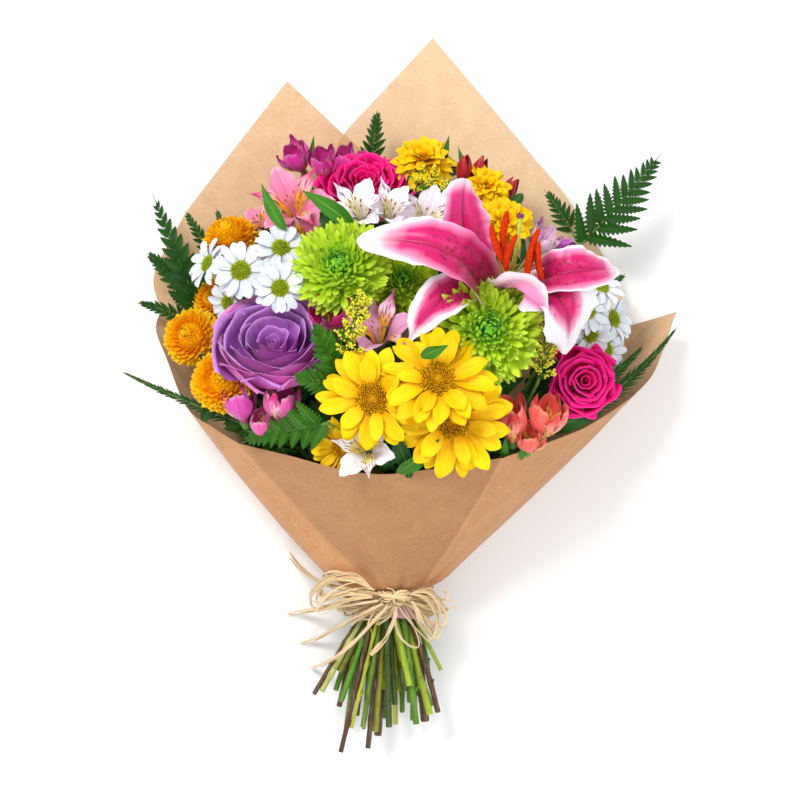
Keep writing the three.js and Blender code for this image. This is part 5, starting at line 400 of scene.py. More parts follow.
def disc_mat(name, heart, ring, tip):    # florets; pt: x from the middle 0..1, y up the floret, z random
    m = Mat(name, 0.75, 0.12, 0.0)
    c = m.ramp(m.pt(0), [(0, heart), (0.45, heart), (0.75, ring), (1, tip)])
    # painted shade: each floret darkens towards its foot, down between the crowded florets
    c = m.mix(m.rng(m.pt(1), 0.5, 1.0, 0.0, 0.55), m.mix(0.6, c, (0.02, 0.01, 0.0)), c)
    c = m.mix(m.rng(m.pt(1), 0.6, 1.0, 0.0, 0.45), c, tip)
    hsv = m.n("HueSaturation")
    m.put(hsv.inputs["Value"], m.math("MULTIPLY_ADD", m.pt(2), 0.6, 0.7))
    m.put(hsv.inputs["Color"], c)
    m.base(hsv.outputs[0])
    m.bump(m.noise(900, 3), 0.5, 0.0003)
    return m.m


M_DISC = disc_mat("disc_golden", lin(214, 124, 0), lin(238, 156, 0), lin(255, 210, 16))
M_DISCW = disc_mat("disc_lime", lin(124, 176, 16), lin(176, 206, 26), lin(226, 222, 60))


def leaf_mat(name, face, dark, rib, back, rough=0.42, spec=0.4, k=18.0, slant=3.4, ribk=0.8):
    m = Mat(name, rough, spec)
    ax, y = m.math("ABSOLUTE", m.pt(0)), m.pt(1)
    c = m.mix(m.noise(70, 4), dark, face)
    side = m.math("SINE", m.math("MULTIPLY", m.math("SUBTRACT", m.math("MULTIPLY", y, k), m.math("MULTIPLY", ax, slant)), 6.2832))
    line = m.rng(side, 0.86, 1.0)
    c = m.mix(m.math("MULTIPLY", line, ribk * 0.5), c, rib)
    c = m.mix(m.math("MULTIPLY", m.rng(ax, 0.10, 0.02), ribk), c, rib)
    hsv = m.n("HueSaturation")
    m.put(hsv.inputs["Value"], m.math("MULTIPLY_ADD", m.pt(2), 0.5, 0.75))
    m.put(hsv.inputs["Color"], c)
    g = m.n("NewGeometry")
    m.base(m.mix(g.outputs["Backfacing"], hsv.outputs[0], back))
    m.bump(m.math("SUBTRACT", m.math("MULTIPLY", m.noise(160, 3), 0.5), m.math("ADD", m.math("MULTIPLY", line, 0.5), m.rng(ax, 0.12, 0.0))), 0.5, 0.0006)
    return m.m


M_LEAF = leaf_mat("leaf_green", lin(66, 138, 20), lin(30, 94, 14), lin(120, 172, 60), lin(104, 150, 66), 0.46, 0.28)
M_LEAFPAR = leaf_mat("leaf_parallel", lin(64, 126, 20), lin(30, 88, 14), lin(108, 158, 60), lin(108, 152, 70), 0.44, 0.28, 0.0, 5.0)
M_LEAFDK = leaf_mat("leaf_dark", lin(34, 92, 18), lin(12, 52, 12), lin(76, 130, 42), lin(70, 116, 48), 0.46, 0.26)
M_FERN = leaf_mat("fern_green", lin(34, 92, 12), lin(10, 48, 8), lin(60, 112, 30), lin(58, 104, 36), 0.5, 0.22, 8.0, ribk=0.4)
M_FERNLT = leaf_mat("fern_bright", lin(56, 118, 4), lin(14, 62, 2), lin(104, 170, 36), lin(76, 134, 30), 0.46, 0.24, 8.0, ribk=0.5)


def stem_mat(name):
    """pt: x round the stem, y along it in metres times 10, z cut end 1; tint: the stem's own colour."""
    m = Mat(name, 0.48, 0.35)
    t = m.attr("tint").outputs["Color"]
    n1 = m.noise(120, 4, 0.6, stretch=(1, 0.18, 1))
    c = m.mix(m.rng(n1, 0.35, 0.68, 0.0, 0.75), t, m.mix(0.6, t, (0.05, 0.04, 0.01)))
    n3 = m.noise(34, 3, 0.6, stretch=(1, 0.35, 1))
    c = m.mix(m.rng(n3, 0.45, 0.68, 0.0, 0.55), c, m.mix(0.16, t, (0.34, 0.36, 0.06)))
    n2 = m.noise(500, 3, 0.6, stretch=(1, 0.06, 1))
    c = m.mix(m.rng(n2, 0.55, 0.72, 0.0, 0.45), c, m.mix(0.5, t, (0.6, 0.62, 0.34)))
    c = m.mix(m.rng(m.noise(420, 2, 0.5, stretch=(1, 0.5, 1)), 0.66, 0.74, 0.0, 0.6), c, m.mix(0.7, t, (0.06, 0.03, 0.01)))
    c = m.mix(m.rng(m.pt(2), 0.4, 0.6), c, m.ramp(m.noise(900, 3), [(0.3, lin(176, 170, 110)), (0.7, lin(214, 208, 160))]))
    m.base(c)
    m.bump(m.math("ADD", m.math("MULTIPLY", n1, 0.6), n2), 0.45, 0.0004)
    return m.m


M_STEM = stem_mat("stem_skin")


def plain_grain(name, a, b, scale, rough=0.5, spec=0.3, stretch=None, bump=0.4, dist=0.0004, sheen=0.0):
    m = Mat(name, rough, spec, sheen)
    n1 = m.noise(scale, 5, 0.6, stretch=stretch)
    c = m.mix(m.rng(n1, 0.3, 0.7), a, b)
    hsv = m.n("HueSaturation")
    m.put(hsv.inputs["Value"], m.math("MULTIPLY_ADD", m.pt(2), 0.25, 0.88))
    m.put(hsv.inputs["Color"], c)
    m.base(hsv.outputs[0])
    m.bump(n1, bump, dist)
    return m.m


M_ANTHER = plain_grain("anther_rust", lin(168, 20, 2), lin(222, 66, 12), 900, 0.85, 0.1, bump=0.9)
M_FILA = plain_grain("filament", lin(206, 212, 132), lin(226, 230, 176), 300, 0.4, 0.4)
M_STYLE = plain_grain("style_lime", lin(150, 180, 50), lin(196, 212, 96), 300, 0.4, 0.4)
M_THROAT = plain_grain("lily_throat", lin(196, 206, 128), lin(236, 226, 190), 200, 0.45, 0.35)
M_STIG = plain_grain("stigma", lin(96, 30, 66), lin(140, 60, 96), 600, 0.35, 0.5)
M_POLLEN = plain_grain("anther_yellow", lin(150, 110, 40), lin(200, 160, 60), 1500, 0.8, 0.1)
M_BEAD = petal_mat("goldenrod_bead", [(0, lin(112, 146, 20)), (0.45, lin(182, 190, 22)), (0.75, lin(230, 214, 24)), (1, lin(250, 234, 56))], var=0.2, bump=0.5, rough=0.7, glow=0.1)
M_CALYX = leaf_mat("calyx_green", lin(92, 148, 50), lin(60, 116, 36), lin(140, 186, 84), lin(100, 150, 64), 0.5, 0.3)


def drop_mat():
    m = Mat("water_drop", 0.03, 0.6)
    m.set("Transmission Weight", 0.93)
    m.set("IOR", 1.33)
    n = m.noise(300, 2)
    m.base(m.mix(n, (0.97, 0.98, 1.0), (1, 1, 1)))
    return m.m


M_DROP = drop_mat()


def paper_mat(name, face, dark, light, over=None):
    """kraft: pt x round the sheet 0..1, y up the sheet 0..1, z 1 on the crease lines."""
    m = Mat(name, 0.82, 0.18, 0.12)
    big = m.noise(9, 4, 0.55)
    mid = m.noise(70, 5, 0.65)
    fib = m.noise(520, 5, 0.7, dist=1.2)
    c = m.mix(m.rng(big, 0.3, 0.7), face, m.mix(0.5, face, dark))
    c = m.mix(m.rng(mid, 0.35, 0.75, 0.0, 0.6), c, dark)
    c = m.mix(m.rng(fib, 0.52, 0.70, 0.0, 0.5), c, light)
    sp = m.noise(900, 2, 0.6)
    c = m.mix(m.rng(sp, 0.60, 0.72, 0.0, 0.6), c, m.mix(0.35, dark, (0.1, 0.05, 0.02)))
    if over:                                                # painted shade: where a second sheet lies behind this one, the colour is darker, standing in for less light coming through two layers
        xyz = m.n("SeparateXYZ")
        m.put(xyz.inputs[0], m.obj())
        side = m.math("ADD", m.math("MULTIPLY", m.math("SUBTRACT", xyz.outputs[0], over[0]), over[2]), m.math("MULTIPLY", m.math("SUBTRACT", xyz.outputs[1], over[1]), over[3]))
        c = m.mix(m.math("MULTIPLY", m.rng(side, 0.0, 0.0006), 0.85), c, m.mix(m.rng(fib, 0.4, 0.7), lin(200, 152, 108), lin(214, 168, 126)))
    c = m.mix(m.math("MULTIPLY", m.pt(2), 0.28), c, light)
    # tint: per-facet brightness of the front sheet, painted light on its facets (1 on the other sheets)
    c = m.mix(1.0, c, m.attr("tint").outputs["Color"], "MULTIPLY")
    m.base(c)
    m.link(m.math("MULTIPLY_ADD", fib, 0.2, 0.70), "Roughness")
    h = m.math("ADD", m.math("MULTIPLY", mid, 1.2), m.math("MULTIPLY", fib, 0.6))
    m.bump(h, 0.32, 0.0005)
    return m.m


M_PAPER = paper_mat("kraft_front", lin(190, 140, 97), lin(164, 115, 74), lin(210, 166, 124))
M_PAPERB = paper_mat("kraft_back", lin(234, 201, 164), lin(212, 174, 134), lin(246, 220, 190))
# the two back sheets carry a painted shade band where they overlap each other
M_PAPERL = paper_mat("kraft_back_left", lin(230, 194, 156), lin(206, 164, 122), lin(242, 212, 180), over=(-0.0398, 0.1893, 0.752, -0.659))
M_PAPERR = paper_mat("kraft_back_right", lin(234, 201, 164), lin(212, 174, 134), lin(246, 220, 190), over=(-0.0415, 0.1895, -0.676, -0.737))
# painted light: the inside face of the front sheet gets a lighter copy of the kraft colours, to look lit
M_PAPER_INSIDE_LIT = paper_mat("kraft_inside", lin(226, 186, 146), lin(202, 160, 118), lin(238, 206, 172))
M_RAFFIA = plain_grain("raffia_straw", lin(206, 170, 116), lin(242, 218, 170), 500, 0.5, 0.35, stretch=(1, 1, 1), bump=0.6, sheen=0.1)


def raffia_mat():
    """pt: x across the strand, y along it, z random."""
    m = Mat("raffia", 0.5, 0.35, 0.1)
    v = m.vec(m.math("MULTIPLY", m.pt(0), 5.0), m.math("MULTIPLY", m.pt(1), 2.0), m.math("MULTIPLY", m.pt(2), 31.0))
    f = m.noise(1.6, 5, 0.65, vec=v)
    blot = m.noise(130, 3)
    c = m.mix(m.rng(f, 0.3, 0.7), lin(214, 176, 122), lin(248, 228, 188))
    c = m.mix(m.rng(blot, 0.55, 0.75, 0.0, 0.4), c, lin(226, 190, 138))
    hsv = m.n("HueSaturation")
    m.put(hsv.inputs["Value"], m.math("MULTIPLY_ADD", m.pt(2), 0.3, 0.86))
    m.put(hsv.inputs["Color"], c)
    m.base(hsv.outputs[0])
    m.bump(f, 0.7, 0.0005)
    return m.m


M_RAFFIA = raffia_mat()


def tape_mat():
    m = Mat("mauve_tape", 0.45, 0.35)
    n1 = m.noise(60, 3)
    n2 = m.noise(900, 3, stretch=(1, 0.3, 1))
    c = m.mix(m.rng(n1, 0.35, 0.65), lin(190, 132, 146), lin(214, 160, 170))
    c = m.mix(m.rng(n2, 0.5, 0.7, 0, 0.35), c, lin(222, 184, 196))
    m.base(c)
    m.bump(m.math("ADD", n1, m.math("MULTIPLY", n2, 0.4)), 0.4, 0.0006)
    return m.m


M_TAPE = tape_mat()


# ------------------------------------------------------------------ mesh making
def unit(a):
    a = np.asarray(a, float)
    return a / np.maximum(np.linalg.norm(a, axis=-1, keepdims=True), 1e-12)


def seeded(name):
    return np.random.default_rng(zlib.crc32(name.encode()))


def smooth(x, a=0.0, b=1.0):
    t = np.clip((np.asarray(x, float) - a) / (b - a), 0, 1)
    return t * t * (3 - 2 * t)


class Bag:
    """Geometry of one piece, in millimetres, with its petal coordinates and own colours."""

    def __init__(s):
        s.v, s.f, s.p, s.t, s.m, s.n, s.mats = [], [], [], [], [], 0, []

    def slot(s, mat):
        if mat not in s.mats:
            s.mats.append(mat)
        return s.mats.index(mat)

    def add(s, v, f, mat, p=None, tint=(1, 1, 1)):
        v = np.asarray(v, float).reshape(-1, 3)
        f = np.asarray(f, int)
        if not len(v) or not len(f):
            return
        p = np.zeros_like(v) if p is None else np.asarray(p, float).reshape(-1, 3)
        t = np.broadcast_to(np.asarray(tint, float), v.shape)
        s.v.append(v)
        s.f.append(f + s.n)
        s.p.append(p)
        s.t.append(t)
        s.m.append(np.full(len(f), s.slot(mat)))
        s.n += len(v)

    def make(s, name):
        me = bpy.data.meshes.new(name)
        v = np.concatenate(s.v) * MM
        me.vertices.add(len(v))
        me.vertices.foreach_set("co", v.astype(np.float32).ravel())
        loops = np.concatenate([f.ravel() for f in s.f])
        sizes = np.concatenate([np.full(len(f), f.shape[1]) for f in s.f])
        me.loops.add(len(loops))
        me.loops.foreach_set("vertex_index", loops.astype(np.int32))
        me.polygons.add(len(sizes))
        me.polygons.foreach_set("loop_start", (np.cumsum(sizes) - sizes).astype(np.int32))
        me.polygons.foreach_set("material_index", np.concatenate(s.m).astype(np.int32))
        me.polygons.foreach_set("use_smooth", np.ones(len(sizes), bool))
        for m in s.mats:
            me.materials.append(m)
        a = me.attributes.new("pt", "FLOAT_VECTOR", "POINT")
        a.data.foreach_set("vector", np.concatenate(s.p).astype(np.float32).ravel())
        t = np.concatenate(s.t)
        a = me.attributes.new("tint", "FLOAT_COLOR", "POINT")
        a.data.foreach_set("color", np.c_[t, np.ones(len(t))].astype(np.float32).ravel())
        me.update(calc_edges=True)
        me.validate()
        o = bpy.data.objects.new(name, me)
        bpy.context.scene.collection.objects.link(o)
        return o


def done(bag, node, slot, *more):
    o = bag.make("look_" + node)
    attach(o, "root")
    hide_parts(node, *more)
    return o


def grid(K, a, b, wrap=False):
    """Quads of K patches, each (a + 1) x (b + 1) places, b fastest; wrap joins the last b back to the first."""
    cols = b if wrap else b + 1
    i, j = np.meshgrid(np.arange(a), np.arange(b), indexing="ij")
    j1 = (j + 1) % cols if wrap else j + 1
    q = np.stack([i * cols + j, i * cols + j1, (i + 1) * cols + j1, (i + 1) * cols + j], -1).reshape(-1, 4)
    return (q[None] + (np.arange(K) * (a + 1) * cols)[:, None, None]).reshape(-1, 4)


def blades(bag, mat, org, out, up, L, half, th, w, roll, nu=4, nv=10, tip=0.1, pleat=0.0, pleats=2.0, edge=0.0, freq=3.0, sway=0.0, rnd=None, rng=None, zsign=1.0, notch=0.0, tint=(1, 1, 1), saw=0.0, teeth=0):
    """K petals or leaves at once. out, up: where each leaves and its upper side. th (K, nv+1): angle of the
    middle line above out. w (nv+1,) or (K, nv+1): half width as a share of half. roll: angle over which each
    half closes upwards. tip: how far the tip's corners fall short. edge: waving of the rim."""
    rng = rng or np.random.default_rng(1)
    org = np.asarray(org, float).reshape(-1, 3)
    K = len(org)
    v = np.linspace(0, 1, nv + 1)
    x = np.linspace(-1, 1, nu + 1)
    out = unit(np.broadcast_to(out, (K, 3)))
    side = unit(np.cross(out, np.broadcast_to(up, (K, 3))))
    up = np.cross(side, out)
    L = np.broadcast_to(L, (K,)).astype(float)
    half = np.broadcast_to(half, (K,)).astype(float)
    th = np.broadcast_to(th, (K, nv + 1))
    w = np.broadcast_to(w, (K, nv + 1))
    roll = np.broadcast_to(roll, (K, nv + 1)).astype(float).copy()
    roll[np.abs(roll) < 0.03] = 0.03
    c = np.cos(th)[..., None] * out[:, None] + np.sin(th)[..., None] * up[:, None]
    d = (L / nv)[:, None, None]
    pos = org[:, None] + np.concatenate([np.zeros((K, 1, 3)), np.cumsum((c[:, 1:] + c[:, :-1]) / 2 * d, 1)], 1)
    nrm = -np.sin(th)[..., None] * out[:, None] + np.cos(th)[..., None] * up[:, None]
    sw = np.broadcast_to(sway, (K,)).astype(float)
    pos = pos + side[:, None] * (sw[:, None] * L[:, None] * v**2)[..., None]
    hw = half[:, None] * w
    if saw:
        k = np.abs(((v * teeth) % 1.0) - 0.5) * 2
        hw = hw * (1 - saw * (1 - k))
    ang = roll[:, :, None] * x
    rad = hw / roll
    P = pos[:, :, None] + side[:, None, None] * (rad[..., None] * np.sin(ang))[..., None] + nrm[:, :, None] * (rad[..., None] * (1 - np.cos(ang)))[..., None]
    fall = tip * x**2 - notch * np.cos(x * math.pi * 2.2)
    P = P - c[:, :, None] * ((L[:, None, None] * fall) * (smooth(v, 0.3, 1.0) ** 2)[None, :, None])[..., None]
    if pleat:
        P = P - nrm[:, :, None] * (pleat * np.cos(x * math.pi * pleats)[None, None] * (np.sin(np.pi * np.clip(v, 0, 1)) ** 0.7)[None, :, None])[..., None]
    if edge:
        ph = rng.uniform(0, 6.28, (K, 1, 1))
        sg = np.sign(x)[None, None]
        P = P + nrm[:, :, None] * (edge * np.abs(x)[None, None] ** 1.5 * np.sin(v[None, :, None] * freq * 6.28 + ph + sg * 1.3) * smooth(v, 0, 0.35)[None, :, None])[..., None]
    r = rng.uniform(0, 1, K) if rnd is None else np.broadcast_to(rnd, (K,))
    pt = np.empty((K, nv + 1, nu + 1, 3))
    pt[..., 0] = x
    pt[..., 1] = v[None, :, None]
    pt[..., 2] = (r * zsign)[:, None, None]
    bag.add(P, grid(K, nv, nu), mat, pt, tint)
    return P


def frame_of(n, spin=0.0):
    n = unit(n)
    ref = np.array([0.0, 1.0, 0.0]) if abs(n[1]) < 0.9 else np.array([1.0, 0, 0])
    x = unit(np.cross(ref, n))
    y = np.cross(n, x)
    c, s = math.cos(spin), math.sin(spin)
    return np.stack([x * c + y * s, y * c - x * s, n])      # rows: local axes


def catmull(p, per=5):
    p = np.asarray(p, float)
    q = np.vstack([2 * p[0] - p[1], p, 2 * p[-1] - p[-2]])
    out = []
    for i in range(1, len(q) - 2):
        for t in np.arange(per) / per:
            a, b, c, d = q[i - 1 : i + 3]
            out.append(0.5 * (2 * b + (c - a) * t + (2 * a - 5 * b + 4 * c - d) * t * t + (3 * b - a - 3 * c + d) * t**3))
    out.append(p[-1])
    return np.array(out)


def bez(a, m, b, t):
    a, m, b = (np.asarray(k, float) for k in (a, m, b))
    c = 2 * m - (a + b) / 2
    t = np.asarray(t, float)[:, None]
    return (1 - t) ** 2 * a + 2 * t * (1 - t) * c + t * t * b


def bezd(a, m, b, t):
    a, m, b = (np.asarray(k, float) for k in (a, m, b))
    c = 2 * m - (a + b) / 2
    t = np.asarray(t, float)[:, None]
    return unit(2 * (1 - t) * (c - a) + 2 * t * (b - c))


def frames_along(p):
    """Tangent, and two turning-free normals, at each place of a line."""
    t = unit(np.gradient(p, axis=0))
    n = np.zeros_like(t)
    ref = np.array([0, 0, 1.0]) if abs(t[0][2]) < 0.9 else np.array([1.0, 0, 0])
    n[0] = unit(np.cross(np.cross(t[0], ref), t[0]))
    for i in range(1, len(p)):
        k = n[i - 1] - t[i] * np.dot(n[i - 1], t[i])
        n[i] = unit(k)
    return t, n, np.cross(t, n)


def tube(bag, mat, p, r, seg=8, tint=(1, 1, 1), rnd=0.5, cap0=True, cap1=True, flat=1.0, twist=0.0, shape=None, cutz=False):
    """A closed tube round the line p. r: one number or one for each place. flat: thickness over width."""
    p = np.asarray(p, float)
    n = len(p)
    r = np.broadcast_to(r, (n,)).astype(float)
    t, a, b = frames_along(p)
    s = np.r_[0, np.cumsum(np.linalg.norm(np.diff(p, axis=0), axis=1))]
    ang = np.arange(seg) / seg * 2 * math.pi
    tw = np.broadcast_to(twist, (n,)) if np.ndim(twist) else twist * np.linspace(0, 1, n)
    ca, sa = np.cos(tw), np.sin(tw)
    a2 = a * ca[:, None] + b * sa[:, None]
    b2 = b * ca[:, None] - a * sa[:, None]
    rr = r[:, None] * (np.ones((1, seg)) if shape is None else shape(s[:, None], ang[None]))
    V = p[:, None] + a2[:, None] * (rr * np.cos(ang))[..., None] + b2[:, None] * (rr * flat * np.sin(ang))[..., None]
    pt = np.zeros((n, seg, 3))
    pt[..., 0] = np.cos(ang)[None]
    pt[..., 1] = (s / 100)[:, None]
    pt[..., 2] = rnd if not cutz else 0.0
    f = grid(1, n - 1, seg, wrap=True)
    tn = np.broadcast_to(np.asarray(tint, float), (n, 3)) if np.ndim(tint) == 1 else np.asarray(tint, float)
    bag.add(V, f, mat, pt, np.repeat(tn[:, None], seg, 1).reshape(-1, 3))
    for end, on in ((0, cap0), (n - 1, cap1)):
        if not on:
            continue
        ring = V[end]
        c = ring.mean(0) + (t[end] * (-1 if end == 0 else 1)) * r[end] * 0.12
        inner = c + (ring - c) * 0.82 + (t[end] * (-1 if end == 0 else 1)) * r[end] * 0.10
        vs = np.vstack([ring, inner, c[None]])
        k = np.arange(seg)
        k1 = (k + 1) % seg
        q = np.stack([k, k1, k1 + seg, k + seg], 1)
        tr = np.stack([k + seg, k1 + seg, np.full(seg, 2 * seg)], 1)
        if end == 0:
            q, tr = q[:, ::-1], tr[:, ::-1]
        pe = np.zeros((len(vs), 3))
        pe[:, 1] = s[end] / 100
        pe[:, 2] = rnd
        if cutz and end == 0:
            pe[:seg, 2] = 0.35
            pe[seg:, 2] = 1.0
        bag.add(vs, q, mat, pe, tn[end])
        bag.add(vs, tr, mat, pe, tn[end])
    return V


def buds(bag, mat, at, axis, r, h, seg=5, px=0.0, rnd=None, rng=None, dome=(0.75, 1.0, 0.8, 0.0), rise=(0.0, 0.45, 0.85, 1.0)):
    """Many small closed domes at once: florets, beads and buds."""
    at = np.asarray(at, float).reshape(-1, 3)
    K = len(at)
    axis = unit(np.broadcast_to(axis, (K, 3)))
    ref = np.where(np.abs(axis[:, 2:3]) < 0.9, np.array([[0, 0, 1.0]]), np.array([[1.0, 0, 0]]))
    a = unit(np.cross(axis, ref))
    b = np.cross(axis, a)
    r = np.broadcast_to(r, (K,))
    h = np.broadcast_to(h, (K,))
    rows = len(dome)
    ang = np.arange(seg) / seg * 2 * math.pi
    ring = np.cos(ang)[None, :, None] * a[:, None] + np.sin(ang)[None, :, None] * b[:, None]
    V = np.stack([at[:, None] + axis[:, None] * (h * z)[:, None, None] + ring * (r * max(q, 0.04))[:, None, None] for q, z in zip(dome, rise)], 1)
    rnd = (rng or np.random.default_rng(2)).uniform(0, 1, K) if rnd is None else np.broadcast_to(rnd, (K,))
    pt = np.zeros((K, rows, seg, 3))
    pt[..., 0] = np.broadcast_to(px, (K,))[:, None, None]
    pt[..., 1] = np.array(rise)[None, :, None]
    pt[..., 2] = rnd[:, None, None]
    bag.add(V, grid(K, rows - 1, seg, wrap=True), mat, pt)


def phyllo(n):
    i = np.arange(n) + 0.5
    return np.sqrt(i / n), i * GOLD


def to_world(L, base, M):                 # local (x, y, z) onto base + axes
    return np.asarray(base) + np.asarray(L) @ M


# ------------------------------------------------------------------ flower heads (h: base, facing n, radius)
def daisy(bag, h, rng, white=False, full=False):
    R, base, M = h["R"], np.array(h["base"]), frame_of(h["n"], rng.uniform(0, 6.28))
    n = M[2]
    mat = M_WHITE if white else M_YELLOW
    rd = R * (0.335 if white else 0.14 if full else 0.30)
    rc = R * 0.30 if full else rd
    z0 = 4.4 if white else 8.2
    counts = ((9, 0.0, 0.0, 1.0), (9, 0.5, 0.18, 0.97)) if white else ((11, 0.0, -0.02, 1.0), (10, 0.40, 0.14, 0.97), (6, 0.11, 0.34, 0.74))
    if full:                                              # many rows of petals, and hardly any disc
        counts = ((13, 0.0, -0.14, 1.0), (12, 0.5, 0.06, 0.98), (10, 0.25, 0.24, 0.88), (9, 0.6, 0.46, 0.74), (7, 0.1, 0.74, 0.56), (5, 0.4, 1.0, 0.40))
    for cnt, off, lift, ln in counts:
        a = (np.arange(cnt) + off) / cnt * 2 * math.pi + rng.normal(0, 0.07, cnt)
        d = np.cos(a)[:, None] * M[0] + np.sin(a)[:, None] * M[1]
        org = base + d * (rd * 0.72) + n * (z0 + lift * 5)
        L = (R - rd * 0.72) * ln * rng.uniform(0.90, 1.08, cnt)
        v = np.linspace(0, 1, 13 if full else 15)
        droop = rng.normal(0.0, 0.16, cnt)[:, None]
        th = lift + 0.20 + rng.normal(0, 0.07, (cnt, 1)) - (0.42 + droop) * smooth(v, 0.1, 1.0) + 0.10 * np.sin(v * 9 + rng.uniform(0, 6, (cnt, 1)))
        w = (0.36 + 0.64 * smooth(v, 0.0, 0.48)) * np.sqrt(np.clip(1 - smooth(v, 0.66, 1.05) ** 1.7, 0.02, 1)) + (0.05 if white else 0.03)
        half = (0.168 if white else 0.155 if full else 0.148) * R * rng.uniform(0.84, 1.14, cnt)
        blades(bag, mat, org, d, n, L, half, th, w, 0.62 + rng.uniform(-0.25, 0.35, (cnt, 1)) if white else 0.52 + rng.uniform(-0.2, 0.4, (cnt, 1)), nu=8 if white or not full else 6, nv=14 if not full else 12, tip=0.035, pleat=0.075 * half.mean(), pleats=2.0, edge=0.5 if white else 0.9, freq=0.8, sway=rng.normal(0, 0.08, cnt), rng=rng, notch=0.008)
    # disc of florets
    N = 120 if white else 70 if full else 290
    q, a = phyllo(N)
    hh = R * (0.15 if white else 0.075)
    top = z0 + (1.0 if white else 2.2)
    z = top + hh * (1 - q**2) - (0 if white else 1.3 * np.exp(-(q / 0.3) ** 2))
    loc = np.stack([rd * q * np.cos(a), rd * q * np.sin(a), z], 1)
    slope = unit(np.stack([np.cos(a) * q * 0.55, np.sin(a) * q * 0.55, np.ones(N)], 1))
    fr = rd / math.sqrt(N) * (0.92 + 0.1 * q)
    lean = rng.normal(0, 0.10, (N, 3))
    buds(bag, M_DISCW if white else M_DISC, to_world(loc, base, M) - n * 0.8, (slope + lean) @ M, fr, (1.5 if white else 2.0) + (0.5 if white else 1.1) * (q > 0.45) * rng.uniform(0.2, 1, N), seg=5, px=q, rng=rng)
    # cushion under the florets and green cup below
    lathe(bag, M_DISCW if white else M_DISC, base, M, [(0.3, z0 - 1.2), (rd * 0.9, z0 - 0.6), (rd * 1.0, top - 0.4), (rd * 0.6, top + hh * 0.5), (0.3, top + hh * 0.8)], 20, px=0.4)
    lathe(bag, M_CALYX, base, M, [(1.4, -0.6), (rc * 0.42, 0.6), (rc * 0.74, z0 * 0.55), (rc * 0.92, z0 + 0.4 - 2 * full), (rc * 0.55, z0 + 1.0 - 2 * full)], 16)
    k = 16
    a = np.arange(k) / k * 2 * math.pi
    d = np.cos(a)[:, None] * M[0] + np.sin(a)[:, None] * M[1]
    v = np.linspace(0, 1, 6)
    blades(bag, M_CALYX, base + d * rc * 0.5 + n * 0.8, unit(d * 0.8 + n), n - d, z0 * 0.95, rc * 0.19, -0.25 - 0.2 * v, 1 - 0.75 * v, 0.6, nu=2, nv=5, rng=rng)


def lathe(bag, mat, base, M, prof, seg=16, px=0.0, lobes=0, depth=0.0, tint=(1, 1, 1), rnd=0.5):
    a = np.arange(seg) / seg * 2 * math.pi
    rows = []
    for r, z in prof:
        rr = r * (1 - depth * (0.5 - 0.5 * np.cos(a * lobes)))
        rows.append(np.stack([rr * np.cos(a), rr * np.sin(a), np.full(seg, z)], 1))
    V = to_world(np.array(rows), base, M)
    pt = np.zeros(V.shape)
    pt[..., 0] = px if px else np.cos(a)[None]
    pt[..., 1] = np.linspace(0, 1, len(prof))[:, None]
    pt[..., 2] = rnd
    bag.add(V, grid(1, len(prof) - 1, seg, wrap=True)[:, ::-1], mat, pt, tint)


